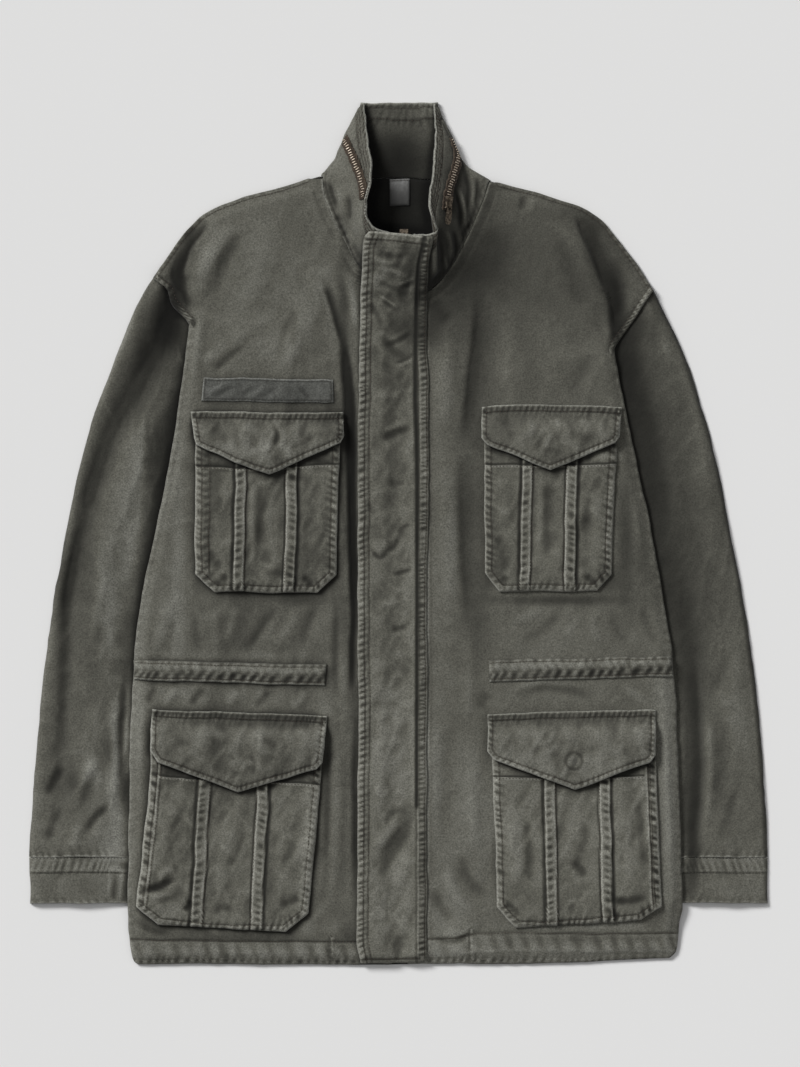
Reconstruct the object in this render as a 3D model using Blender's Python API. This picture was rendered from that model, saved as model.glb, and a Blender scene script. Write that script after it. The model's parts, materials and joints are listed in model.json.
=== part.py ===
"""Field jacket laid out flat with its front up, as closed cloth solids in Blender.

The layout sheet is 800 mm wide and 1067 mm tall. A place on it is given in millimetres as
(across, down): across from the sheet's left border and down from its top border. The jacket
lies in the middle, its centre front near 400 mm across. Heights are millimetres above the
surface that it lies on. Meshes are made in metres, with the middle of the jacket's outline
at the origin. The wearer's right side is at the left of the sheet.
"""

import math

import bmesh
import bpy
import numpy as np
from mathutils import Matrix, Vector

MM = 0.001
SHEET_WIDTH, SHEET_HEIGHT = 800.0, 1067.0
# The middle of the jacket's outline on the sheet, which is the origin.
MIDDLE_ACROSS, MIDDLE_DOWN = 399.0, 533.0
SEAM_GAP = 0.3
PLAN_GAP = 0.6
# Shares of the missing height that each round of resting adds, gentle first and full at the end.
RESTING_PACE = (0.5,) * 30 + (1.0,) * 4

# Cloth walls, in millimetres.
BODY_WALL = 2.0
SLEEVE_WALL = 1.5
CUFF_WALL = 2.0
COLLAR_WALL = 2.8
POCKET_WALL = 1.8
FLAP_WALL = 2.2
PLACKET_WALL = 3.0
CASING_WALL = 1.8
PATCH_WALL = 1.0
LABEL_WALL = 0.8
TAPE_WALL = 1.0

# Heights of the laid cloth.
BODY_LOFT = 1.8
MOST_LOFT = 3.7
BODY_EDGE_FADE = 12.0
# The fronts rise to the collar in a band along the neck seam.
NECK_RISE, NECK_BAND = 3.6, 16.0
NECK_RISE_END_DOWN = 312.0
HEM_TURN = 0.9
HEM_TOP_DOWN = 940.0

# Centre front edges of the two fronts, and the zip between them.
RIGHT_CENTRE, LEFT_CENTRE = 392.0, 408.0
HEM_DOWN = 962.0

# Edges as rows of (down, across).
RIGHT_SILHOUETTE = (
    (177, 314), (183, 288), (190, 268), (205, 221), (220, 197), (250, 172), (278, 153),
)
RIGHT_ARMHOLE = ((278, 153), (291, 168), (303, 171), (322.5, 190))
RIGHT_SIDE = (
    (322.5, 190), (339, 188), (392, 181), (476, 167), (538, 154), (582, 144), (660, 134),
    (700, 132), (800, 129), (905, 128), (925, 128), (940, 130), (954, 132), (963, 141),
)
LEFT_SILHOUETTE = (
    (177, 485), (183, 506), (190, 529), (205, 574), (220, 600), (235, 614), (265, 637), (291, 654),
)
LEFT_ARMHOLE = ((291, 654), (349, 614))
LEFT_SIDE = (
    (349, 614), (392, 622.5), (480, 640), (530, 651.5), (572, 659), (626, 668), (668, 673.5),
    (700, 676), (800, 680), (910, 683), (925, 682), (950, 679), (963, 669),
)
RIGHT_NECK = ((176, 321.5), (190, 323), (213, 331), (231.5, 340), (251, 350.5), (271, 362), (292, 391))
LEFT_NECK = ((180, 491), (199, 485), (221, 476), (250, 462), (273, 447), (290, 432), (301, 409))
# The back panel's edge lies inside the front's, more so beside the armhole seams.
BACK_INSET, BACK_ARMHOLE_INSET = 0.8, 4.5
BACK_NECK_ENDS = ((319.0, 179.0), (490.0, 184.0))
RIGHT_SLEEVE_OUTER = (
    (278, 153), (295, 142), (325, 128), (370, 111), (430, 90), (490, 75), (550, 63), (610, 52),
    (670, 44), (730, 38), (790, 33), (850, 30), (907, 30),
)
LEFT_SLEEVE_OUTER = (
    (291, 654), (310, 663), (355, 684), (400, 699), (460, 716), (520, 728), (580, 740), (640, 749),
    (700, 757), (760, 762), (820, 766), (907, 768),
)
RIGHT_SLEEVE_HIDDEN = ((340, 292), (400, 285), (500, 255), (600, 228), (700, 203), (800, 180), (907, 164))
LEFT_SLEEVE_HIDDEN = ((360, 506), (400, 513), (500, 545), (600, 571), (700, 596), (800, 617), (907, 634))

# Long soft folds of the two fronts: from, to, half width, height (a trough is negative) and the
# sideways bow of the middle.
BODY_FOLDS = (
    # across, down, across, down, half width, height, bow
    (215, 235, 176, 290, 9, -2.4, -6),
    (236, 262, 205, 322, 16, 1.6, 4),
    (300, 230, 262, 380, 18, 1.2, 6),
    (350, 330, 350, 620, 9, -2.2, -3),
    (318, 300, 330, 420, 14, 1.6, 5),
    (205, 350, 250, 400, 12, -1.2, 0),
    (232, 500, 200, 640, 15, 1.0, 4),
    (300, 600, 210, 655, 12, -1.3, 6),
    (170, 600, 300, 640, 10, 1.2, -5),
    (150, 690, 200, 700, 9, 1.2, 0),
    (340, 640, 344, 900, 10, -1.4, 2),
    (180, 800, 250, 905, 24, 0.9, 0),
    (572, 214, 618, 322, 9, -2.4, 5),
    (548, 240, 580, 330, 17, 1.6, -4),
    (500, 205, 520, 380, 18, 1.1, -5),
    (468, 350, 474, 620, 11, -1.8, 3),
    (446, 320, 440, 560, 10, 1.3, 0),
    (600, 360, 560, 400, 12, -1.2, 0),
    (610, 480, 640, 640, 14, 1.0, -4),
    (500, 640, 620, 600, 11, -1.2, 4),
    (520, 625, 650, 640, 10, 1.2, 5),
    (455, 700, 448, 900, 14, -1.2, 4),
    (560, 800, 600, 900, 22, 0.9, 0),
)

# Height of the visible sleeve from its outer edge (0) to the body's edge (1).
SLEEVE_CROWN = (
    (0.0, 2.4), (0.06, 5.0), (0.2, 4.6), (0.5, 7.0), (0.72, 6.2), (1.0, 4.4), (1.25, 3.8), (3.0, 3.8),
)
SLEEVE_LEAST_HEIGHT, SLEEVE_LEAST_WIDTH = 2.2, 24.0
# Where the sleeve's armhole seam ends under the body, and the first level row below it.
SLEEVE_CAPS = {"right": ((292, 352), 372), "left": ((508, 372), 392)}
SLEEVE_DOWNS = tuple(range(405, 840, 31)) + (857,)
CUFF_DOWNS = (857.6, 862, 873, 890, 906)
CUFF_MOST_HEIGHT, CUFF_PROUD = 5.6, 0.5
TUBE_ROOM = 0.3
SLEEVE_FOLDS = (
    (120, 400, 150, 330, 9, 0.8, 3),
    (100, 470, 165, 440, 8, -0.9, 3),
    (85, 560, 150, 520, 9, 0.9, -4),
    (75, 640, 140, 600, 8, -0.9, 3),
    (55, 720, 120, 700, 9, 0.8, -3),
    (50, 800, 110, 830, 9, -0.8, 3),
    (680, 400, 640, 350, 9, 0.8, -3),
    (705, 480, 645, 450, 8, -0.9, 3),
    (725, 570, 655, 530, 9, 0.9, 4),
    (740, 650, 670, 610, 8, -0.9, -3),
    (752, 730, 685, 700, 9, 0.8, 3),
    (755, 800, 690, 830, 9, -0.8, -3),
)

# The collar band lies flat across the back of the neck, turns over at each side and comes
# forward to the centre front. Rows are (across, down, height) of its middle surface.
COLLAR_RIGHT_SEAM = (
    (391, 291.5, 8), (362, 270, 8), (347, 244, 8.5), (334, 218, 8), (325, 197, 7.5), (322.2, 184, 7),
    (323, 176, 6),
)
COLLAR_RIGHT_TOP = (
    (390, 233, 32), (376, 228.5, 36), (367, 217, 37), (366, 200, 36), (370.5, 179, 32), (371.5, 160, 26),
    (367, 133, 15), (363, 104, 6.2),
)
COLLAR_LEFT_SEAM = (
    (409.6, 299.5, 8), (423.5, 294.2, 8), (432, 288.4, 8), (447, 271.5, 8.5), (461.5, 248.5, 8),
    (475.5, 220, 7.5), (484, 199, 7), (489, 181, 6),
)
COLLAR_LEFT_TOP = (
    (414, 234, 32), (426, 232.5, 35), (432.5, 224, 37), (430.5, 207, 36), (431, 187, 32), (433.5, 166, 26),
    (436, 140, 16), (438.5, 104, 6.2),
)
COLLAR_TURN_RADIUS = 2.4
COLLAR_FLANK_STATIONS = 13
COLLAR_BACK_STATIONS = 9
COLLAR_ROWS = 7
COLLAR_BULGE = 5.0

# Rows of a flat piece: (left across, left down, right across, right down).
PLACKET_ROWS = (
    (369, 231.5, 424, 236), (364, 238, 423, 243), (362, 270, 418.5, 270), (360, 300, 418, 300),
    (360, 330, 418, 330), (358, 436, 420, 436), (358, 550, 418.5, 550), (357.5, 629, 418, 629),
    (358.5, 693, 418, 693), (357, 879, 418, 879), (357, 941, 418, 941), (361, 963, 418, 962),
)
PLACKET_STRIP, PLACKET_GROOVE = 8.0, 1.2
PLACKET_GROOVE_WALL, PLACKET_STRIP_WALL = 1.2, 1.6
PLACKET_BEND_DOWN = 320.0
PLACKET_ROW_COUNT = 27
PLACKET_BUMPS = ((382, 321), (380, 545), (379, 666), (381.6, 790), (377.5, 913))
SNAP_RADIUS, SNAP_SWELL = 7.5, 1.1

# A front pocket: its bag's rows, its pleats as fractions across, and its flap's rows.
POCKETS = {
    "chest_pocket_right": dict(
        bag=((195, 424, 341, 424), (195, 574, 336, 575), (215, 592, 317, 593)),
        pleats=(0.285, 0.36, 0.64, 0.71), gussets=(0, 0),
    ),
    "chest_pocket_left": dict(
        bag=((484, 424, 617, 424), (485, 574, 612, 574), (500, 592, 597, 591)),
        pleats=(0.285, 0.36, 0.64, 0.70), gussets=(0, 0),
    ),
    "lower_pocket_right": dict(
        bag=((151, 728, 325, 731), (151, 770, 321, 770), (136, 907, 309, 913), (158, 925, 286, 932)),
        pleats=(0.31, 0.37, 0.64, 0.70), gussets=(0.055, 0),
    ),
    "lower_pocket_left": dict(
        bag=((491, 731, 656, 728), (492.5, 766, 656, 766), (497, 907, 662, 907), (516, 928.5, 640, 920)),
        pleats=(0.32, 0.385, 0.64, 0.70), gussets=(0, 0.06),
    ),
}
SIDE_STRIP_SHARE, PLEAT_STEP_SHARE = 0.055, 0.012
PLEAT_LIFT_SHARE = 0.8
POCKET_LOFT, POCKET_EDGE_FADE, POCKET_EDGE_RISE = 1.4, 12.0, 0.25

# Flaps: rows from the top edge to the corners, and the drop of the point below them.
FLAPS = {
    "chest_flap_right": (((191, 411.5, 343, 412.5), (192, 418, 344, 418), (194, 443, 344, 438)), 33),
    "chest_flap_left": (((482, 407, 623, 408), (482, 412.5, 623, 413), (481, 441, 619, 440)), 30),
    "lower_flap_right": (((152, 709.5, 327, 715.5), (151.5, 716, 327, 721), (151, 757, 323, 762)), 32),
    "lower_flap_left": (((488, 714, 656, 710), (488, 720, 656, 716), (487, 757, 655, 757)), 33),
}
FLAP_LOFT, FLAP_EDGE_FADE, FLAP_CORNER_DROP, FLAP_BAND_RISE = 0.8, 10.0, 4.0, 0.6
FLAP_SNAPS = {
    "chest_flap_right": (265, 445), "chest_flap_left": (550, 442), "lower_flap_right": (239, 765),
}
SNAP_CAP_PLACE = (574, 761)
SNAP_CAP_RADIUS, SNAP_CAP_SIDES = 6.8, 20
# Rows of (share of the radius, height).
SNAP_CAP_PROFILE = ((0.0, 0.0), (1.0, 0.0), (1.0, 0.9), (0.8, 1.7), (0.45, 2.0), (0.0, 2.1))
CASINGS = {
    "waist_casing_right": ((133.5, 660, 327, 664.5), (133.5, 680, 325, 685.5)),
    "waist_casing_left": ((489, 660, 671, 656), (489, 682, 674, 677)),
}
CASING_PUCKERS, CASING_SWELL, CASING_PUCKER_HEIGHT = 14, 0.8, 0.9
NAME_PATCH = ((204, 377.5, 334, 379.5), (202, 401.5, 333, 403))
NECK_LABEL = ((389, 180, 410, 180), (389, 206, 410, 206))

# The front zip: rows of (down, across) of its middle and (down, height) of its underside.
FRONT_ZIP_MIDDLE = ((233, 404), (268, 401.5), (300, 400), (935, 400))
FRONT_ZIP_HEIGHT = (
    (233, 27), (250, 22), (270, 13), (290, 7.5), (305, 5.0), (340, 3.2), (420, 2.6), (935, 2.6),
)
FRONT_ZIP_HALF, FRONT_TEETH_HALF = 6.6, 2.4
FRONT_SLIDER_PLACE, FRONT_SLIDER_SIZE, FRONT_SLIDER_CLEAR = (404, 234.5), (9.0, 11.0, 2.2), 2.6

# Collar zip stretches as (across, down) along the flank, and the slider's place on the left one.
COLLAR_ZIP_RIGHT = ((346, 143), (353, 160), (361, 179), (364.5, 195), (363.5, 207))
COLLAR_ZIP_LEFT = ((454, 144), (456.5, 160), (452, 179), (448, 195), (446, 214))
ZIP_WIDTH_IN_PLAN = 9.0
ZIP_STATIONS = 9
ZIP_CLEAR = 0.7
ZIP_TEETH_RISE = 0.6
SLIDER_PLACE = (447, 203)
SLIDER_LENGTH, SLIDER_WIDTH, SLIDER_THICK = 12.0, 9.0, 1.8
SLIDER_CLEAR = 2.9
SLIDER_FRONT_END = -5.0
SLIDER_NECK_SHARE = 0.75
PULL_LENGTH, PULL_WIDTH, PULL_THICK = 19.0, 6.4, 1.1
PULL_REST_LEAN = 5.0
BRIDGE_CLEAR, BRIDGE_THICK, BRIDGE_WIDTH = 2.1, 1.0, 2.2
PIN_ALONG, PIN_RISE = -2.4, 1.05

# Cloth and metal finishes: colour, roughness, metallic.
OLIVE = ((0.105, 0.103, 0.082, 1), 0.85, 0.0)
OLIVE_WORN = ((0.125, 0.123, 0.098, 1), 0.88, 0.0)
OLIVE_PATCH = ((0.078, 0.080, 0.072, 1), 0.85, 0.0)
LABEL_CLOTH = ((0.035, 0.033, 0.030, 1), 0.8, 0.0)
ZIP_TAPE = ((0.060, 0.050, 0.032, 1), 0.7, 0.0)
OLD_BRASS = ((0.32, 0.27, 0.17, 1), 0.45, 0.9)
DARK_SNAP = ((0.045, 0.045, 0.036, 1), 0.45, 0.7)


def clear_scene():
    for item in list(bpy.data.objects):
        bpy.data.objects.remove(item, do_unlink=True)


def finish_of(name, finish):
    colour, roughness, metallic = finish
    material = bpy.data.materials.new(name + "_finish")
    material.use_nodes = True
    shader = material.node_tree.nodes["Principled BSDF"]
    shader.inputs["Base Color"].default_value = colour
    shader.inputs["Roughness"].default_value = roughness
    shader.inputs["Metallic"].default_value = metallic
    material.diffuse_color = colour
    return material


def smooth(rows, at):
    """Values at the places 'at' on the smooth, never overshooting curve through (place, value) rows."""
    place, value = np.array(rows, float).T
    step = np.diff(place)
    slope = np.diff(value) / step
    tangent = np.zeros_like(value)
    tangent[0], tangent[-1] = slope[0], slope[-1]
    for k in range(1, len(place) - 1):
        if slope[k - 1] * slope[k] > 0:
            tangent[k] = 2 * slope[k - 1] * slope[k] / (slope[k - 1] + slope[k])
    at = np.clip(np.asarray(at, float), place[0], place[-1])
    k = np.clip(np.searchsorted(place, at, side="right") - 1, 0, len(step) - 1)
    t = (at - place[k]) / step[k]
    rise = (1 + 2 * t) * (1 - t) ** 2 * value[k] + t * t * (3 - 2 * t) * value[k + 1]
    lean = t * (1 - t) ** 2 * tangent[k] - t * t * (1 - t) * tangent[k + 1]
    return rise + step[k] * lean


def joined_edge(*parts):
    """One edge, across as a function of down, made of smooth parts that may meet in a corner."""
    ends = [part[-1][0] for part in parts]

    def across(down):
        down = np.asarray(down, float)
        found = smooth(parts[-1], down)
        for part, end in reversed(list(zip(parts[:-1], ends))):
            found = np.where(down <= end, smooth(part, down), found)
        return found

    return across


def even_curve(points, count):
    """count points, evenly spaced, on a Catmull-Rom curve through the points."""
    points = np.array(points, float)
    ends = np.vstack([2 * points[0] - points[1], points, 2 * points[-1] - points[-2]])
    t = np.linspace(0, 1, 16, endpoint=False)[:, None]
    dense = []
    for a, b, c, d in zip(ends, ends[1:], ends[2:], ends[3:]):
        dense.append(
            0.5 * (2 * b + (c - a) * t + (2 * a - 5 * b + 4 * c - d) * t**2 + (3 * b - a - 3 * c + d) * t**3)
        )
    dense = np.vstack(dense + [points[-1:]])
    run = np.concatenate([[0], np.cumsum(np.linalg.norm(np.diff(dense, axis=0), axis=1))])
    at = np.linspace(0, run[-1], count)
    return np.stack([np.interp(at, run, dense[:, k]) for k in range(points.shape[1])], axis=1)


def fold_relief(plan, folds):
    """Sum of the soft ridges and troughs of a fold table at each place of the plan."""
    relief = np.zeros(plan.shape[:-1])
    for x0, y0, x1, y1, half_width, height, bow in folds:
        start, run = np.array((x0, y0), float), np.array((x1 - x0, y1 - y0), float)
        length = np.linalg.norm(run)
        along = run / length
        away = plan - start
        s = away @ along / length
        inside = np.clip(s, 0, 1)
        aside = away @ np.array((-along[1], along[0])) - bow * 4 * inside * (1 - inside)
        beyond = (s - inside) * length
        relief += height * np.exp(-(aside**2 + beyond**2) / half_width**2)
    return relief


def fractions(count):
    return np.linspace(0, 1, count)


def plan_of_rows(left, right, across):
    """Plan (rows, columns, 2) with straight rows from the left points to the right points."""
    left, right = np.array(left, float), np.array(right, float)
    share = np.asarray(across)[None, :, None]
    return left[:, None] * (1 - share) + right[:, None] * share


def plan_of_stations(stations, between, across):
    """Plan through rows of (left across, left down, right across, right down), with rows added between."""
    stations = np.array(stations, float)
    rows = [stations[0]]
    for first, last, count in zip(stations, stations[1:], between):
        rows += [first + (last - first) * k / (count + 1) for k in range(1, count + 2)]
    rows = np.array(rows)
    return plan_of_rows(rows[:, :2], rows[:, 2:], across)


class Layers:
    """Height of the top of what is laid out so far, on a raster of the layout sheet."""

    PITCH = 1.0

    def __init__(self):
        self.top = np.full((int(SHEET_HEIGHT), int(SHEET_WIDTH)), -SEAM_GAP)
        self.last_cell = (int(SHEET_WIDTH) - 1, int(SHEET_HEIGHT) - 1)

    def _samples(self, plan, height):
        """Raster cells, corner weights and corner numbers of points spread over every facet."""
        rows, columns = height.shape
        number = np.arange(rows * columns).reshape(rows, columns)
        corners = np.stack(
            [number[:-1, :-1], number[:-1, 1:], number[1:, 1:], number[1:, :-1]], axis=-1
        ).reshape(-1, 4)
        flat = plan.reshape(-1, 2)
        quads = flat[corners]
        longest = np.linalg.norm(quads - np.roll(quads, 1, axis=1), axis=2).max()
        steps = int(min(longest, 60) / self.PITCH) + 2
        u, v = np.meshgrid(fractions(steps), fractions(steps))
        zero = np.zeros_like(u)
        first = np.stack([1 - u, u - v, v, zero], axis=-1)
        second = np.stack([1 - v, zero, u, v - u], axis=-1)
        weights = np.where((u >= v)[..., None], first, second).reshape(-1, 4)
        places = np.einsum("qcd,nc->qnd", quads, weights)
        return self._cells(places), weights, corners

    def _cells(self, places):
        return np.clip(np.round(places / self.PITCH).astype(int), 0, self.last_cell)

    def lay(self, plan, height):
        """Adds a piece's top."""
        cells, weights, corners = self._samples(plan, height)
        heights = height.reshape(-1)[corners] @ weights.T
        np.maximum.at(self.top, (cells[..., 1], cells[..., 0]), heights)

    def ground(self):
        """Lowest height for the next piece: a gap above the highest of each cell and its neighbours."""
        padded = np.pad(self.top, 1, mode="edge")
        shape = self.top.shape
        near = [padded[i : i + shape[0], j : j + shape[1]] for i in range(3) for j in range(3)]
        return np.max(near, axis=0) + SEAM_GAP

    def rest(self, plan):
        """Underside heights at which a piece of this plan lies on the layers, with a gap and no overlap."""
        ground = self.ground()
        cells, weights, corners = self._samples(plan, np.zeros(plan.shape[:-1]))
        needed = ground[cells[..., 1], cells[..., 0]]
        spot = self._cells(plan)
        lift = ground[spot[..., 1], spot[..., 0]].reshape(-1)
        share = np.minimum(weights / (weights**2).sum(axis=1, keepdims=True), 1.0)
        for pace in RESTING_PACE:
            short = np.clip(needed - lift[corners] @ weights.T, 0, None)
            if short.max() < 1e-4:
                break
            gain = (short[..., None] * share).max(axis=1) * pace
            total = np.zeros_like(lift)
            np.maximum.at(total, corners, gain)
            lift = lift + total
        return lift.reshape(plan.shape[:-1])


def at_height(plan, height):
    return np.concatenate([plan, np.broadcast_to(height, plan.shape[:-1])[..., None]], axis=-1)


def to_world(points):
    """Layout millimetres to metres, with the jacket's middle at the origin and up the sheet as +Y."""
    points = np.asarray(points, float)
    return np.stack(
        [
            (points[..., 0] - MIDDLE_ACROSS) * MM,
            (MIDDLE_DOWN - points[..., 1]) * MM,
            points[..., 2] * MM,
        ],
        axis=-1,
    )


def quad_strip(first, second, closed):
    """Triangles between two rows of vertex numbers."""
    count = len(first) if closed else len(first) - 1
    faces = []
    for k in range(count):
        a, b, c, d = first[k], first[(k + 1) % len(first)], second[(k + 1) % len(second)], second[k]
        faces += [(a, c, b), (a, d, c)]
    return faces


def mesh_object(name, points, faces, finish):
    mesh = bpy.data.meshes.new(name)
    mesh.from_pydata([tuple(p) for p in points], [], faces)
    shaper = bmesh.new()
    shaper.from_mesh(mesh)
    bmesh.ops.recalc_face_normals(shaper, faces=shaper.faces)
    shaper.to_mesh(mesh)
    shaper.free()
    mesh.materials.append(finish_of(name, finish))
    mesh.shade_smooth()
    mesh.set_sharp_from_angle(angle=math.radians(40))
    made = bpy.data.objects.new(name, mesh)
    bpy.context.scene.collection.objects.link(made)
    return made


def slab(name, under, over, finish):
    """A closed wall between two surfaces of points (rows, columns, 3) in layout millimetres."""
    rows, columns = under.shape[:2]
    count = rows * columns
    number = np.arange(count).reshape(rows, columns)
    faces = []
    for k in range(rows - 1):
        faces += quad_strip(number[k] + count, number[k + 1] + count, False)
        faces += [(a, c, b) for a, b, c in quad_strip(number[k], number[k + 1], False)]
    rim = np.concatenate([number[0, :-1], number[:-1, -1], number[-1, :0:-1], number[:0:-1, 0]])
    faces += quad_strip(list(rim), list(rim + count), True)
    points = np.concatenate([under.reshape(-1, 3), over.reshape(-1, 3)])
    return mesh_object(name, to_world(points), faces, finish)


def tube(name, outer, inner, finish):
    """An open-ended tube between an outer and an inner set of closed rings (rings, points, 3)."""
    rings, around = outer.shape[:2]
    count = rings * around
    number = np.arange(count).reshape(rings, around)
    faces = []
    for k in range(rings - 1):
        faces += quad_strip(number[k], number[k + 1], True)
        faces += [(a, c, b) for a, b, c in quad_strip(number[k] + count, number[k + 1] + count, True)]
    for end in (0, -1):
        faces += quad_strip(number[end], number[end] + count, True)
    points = np.concatenate([outer.reshape(-1, 3), inner.reshape(-1, 3)])
    return mesh_object(name, to_world(points), faces, finish)


def lay_sheet(layers, name, plan, loft, wall, finish):
    """Lays a flat piece on the layers, loft above its rest, and adds it to them."""
    under = layers.rest(plan) + loft
    over = under + wall
    layers.lay(plan, over)
    return slab(name, at_height(plan, under), at_height(plan, over), finish)


def edge_fade(plan, margin):
    """0 on the plan's border and 1 from margin inwards, by distance to the border's points."""
    border = np.concatenate([plan[0], plan[-1], plan[:, 0], plan[:, -1]])
    gap = np.linalg.norm(plan[:, :, None] - border[None, None], axis=-1).min(axis=-1)
    share = np.clip(gap / margin, 0, 1)
    return share * share * (3 - 2 * share)


def body_outer(side):
    if side == "right":
        return joined_edge(RIGHT_SILHOUETTE, RIGHT_ARMHOLE, RIGHT_SIDE)
    return joined_edge(LEFT_SILHOUETTE, LEFT_ARMHOLE, LEFT_SIDE)


def sleeve_edges(side):
    """The outer edge and the hidden inner edge of a sleeve."""
    if side == "right":
        return RIGHT_SLEEVE_OUTER, RIGHT_SLEEVE_HIDDEN
    return LEFT_SLEEVE_OUTER, LEFT_SLEEVE_HIDDEN


def sleeve_row(side, down, shares):
    """A level row across a sleeve, from its outer edge (share 0) to its hidden one (share 1)."""
    outer, hidden = sleeve_edges(side)
    across = smooth(outer, down) * (1 - shares) + smooth(hidden, down) * shares
    return np.stack([across, np.full_like(shares, down)], axis=1)


def sleeve_plan(side, downs, shares):
    """Plan of a sleeve: the first row is its armhole seam, and the rows level out below it."""
    outer, _ = sleeve_edges(side)
    seam = RIGHT_ARMHOLE if side == "right" else LEFT_ARMHOLE
    corner, cap_down = SLEEVE_CAPS[side]
    inward = 1 if side == "right" else -1
    seam_points = [(across - inward * PLAN_GAP * 0.7, down + PLAN_GAP) for down, across in seam]
    path = np.array(seam_points + [(seam[-1][1] + inward * 2, seam[-1][0] + 2.5), corner])
    run = np.concatenate([[0], np.cumsum(np.linalg.norm(np.diff(path, axis=0), axis=1))])
    top = np.stack([np.interp(shares * run[-1], run, path[:, k]) for k in (0, 1)], axis=1)
    rows = [top]
    level = sleeve_row(side, cap_down, shares)
    for share in (0.25, 0.5, 0.75):
        row = top * (1 - share) + level * share
        true_edge = smooth(outer, row[0, 1])
        row[:, 0] += (1 - shares) ** 2 * (true_edge - row[0, 0])
        rows.append(row)
    rows += [sleeve_row(side, down, shares) for down in [cap_down] + [d for d in downs if d > cap_down + 5]]
    return np.array(rows)


def sleeve_height(side, plan):
    """Top height of a sleeve or cuff, crowned where it shows and flat under the body."""
    outer, _ = sleeve_edges(side)
    body = (RIGHT_ARMHOLE, RIGHT_SIDE) if side == "right" else (LEFT_ARMHOLE, LEFT_SIDE)
    edge = smooth(outer, plan[..., 1])
    visible = np.abs(joined_edge(*body)(plan[..., 1]) - edge)
    share = np.abs(plan[..., 0] - edge) / np.maximum(visible, SLEEVE_LEAST_WIDTH)
    fold = fold_relief(plan, SLEEVE_FOLDS) * np.clip(1.15 - share, 0, 1)
    return np.maximum(smooth(SLEEVE_CROWN, share) + fold * np.clip(share * 6, 0, 1), SLEEVE_LEAST_HEIGHT)


def flat_tube(layers, name, plan, top, wall, finish):
    """A flattened tube whose upper wall follows 'top' over the plan, and whose lower wall is flat."""
    columns = plan.shape[1]
    below = [columns - 2, columns // 2, 1]
    outward = plan[:, :1] - plan[:, 1:2]
    outward /= np.linalg.norm(outward, axis=-1, keepdims=True)
    inward = plan[:, -1:] - plan[:, -2:-1]
    inward /= np.linalg.norm(inward, axis=-1, keepdims=True)
    inner_plan = plan.copy()
    inner_plan[:, :1] -= outward * wall
    inner_plan[:, -1:] -= inward * wall
    upper_in = np.maximum(top - wall, wall + TUBE_ROOM)
    edge = top[:, [0, -1]] * 0.5
    outer_top, inner_top = top.copy(), upper_in.copy()
    outer_top[:, [0, -1]] = edge
    inner_top[:, [0, -1]] = wall + TUBE_ROOM / 2
    outer_low = at_height(plan[:, below], 0.0)
    inner_low = at_height(plan[:, below], wall)
    outer = np.concatenate([at_height(plan, outer_top), outer_low], axis=1)
    inner = np.concatenate([at_height(inner_plan, inner_top), inner_low], axis=1)
    layers.lay(plan, outer_top)
    return tube(name, outer, inner, finish)


def build_sleeves(layers):
    shares = np.array([0, 0.03, 0.1, 0.2, 0.3, 0.4, 0.5, 0.62, 0.78, 0.97, 1.0])
    for side in ("right", "left"):
        plan = sleeve_plan(side, SLEEVE_DOWNS, shares)
        flat_tube(layers, "sleeve_" + side, plan, sleeve_height(side, plan), SLEEVE_WALL, OLIVE)


def build_cuffs(layers):
    shares = np.array([0, 0.04, 0.14, 0.26, 0.38, 0.5, 0.62, 0.75, 0.96, 1.0])
    for side in ("right", "left"):
        plan = np.array([sleeve_row(side, down, shares) for down in CUFF_DOWNS])
        top = np.minimum(sleeve_height(side, plan), CUFF_MOST_HEIGHT) + CUFF_PROUD
        flat_tube(layers, "cuff_" + side, plan, top, CUFF_WALL, OLIVE_WORN)


def build_back(layers):
    """The back panel, which rests on the surface in the middle and on the tucked sleeves at its sides."""
    upper = [178.6, 190, 205, 230, 278, 291, 303, 322.5, 349]
    downs = np.concatenate([upper, np.linspace(390, 915, 11), [950, HEM_DOWN]])
    right, left = body_outer("right"), body_outer("left")
    shares = np.array([0, 0.06, 0.16, 0.25, 0.36, 0.5, 0.64, 0.75, 0.84, 0.94, 1.0])
    inset = np.where((downs > 270) & (downs < 360), BACK_ARMHOLE_INSET, BACK_INSET)
    start = np.stack([right(downs) + inset, downs], axis=1)
    end = np.stack([left(downs) - inset, downs], axis=1)
    start[0], end[0] = BACK_NECK_ENDS
    lay_sheet(layers, "back_panel", plan_of_rows(start, end, shares), 0.0, BODY_WALL, OLIVE)


def body_loft(plan, folds):
    relief = np.clip(BODY_LOFT + fold_relief(plan, folds), 0.0, MOST_LOFT)
    return relief * edge_fade(plan, BODY_EDGE_FADE)


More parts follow.
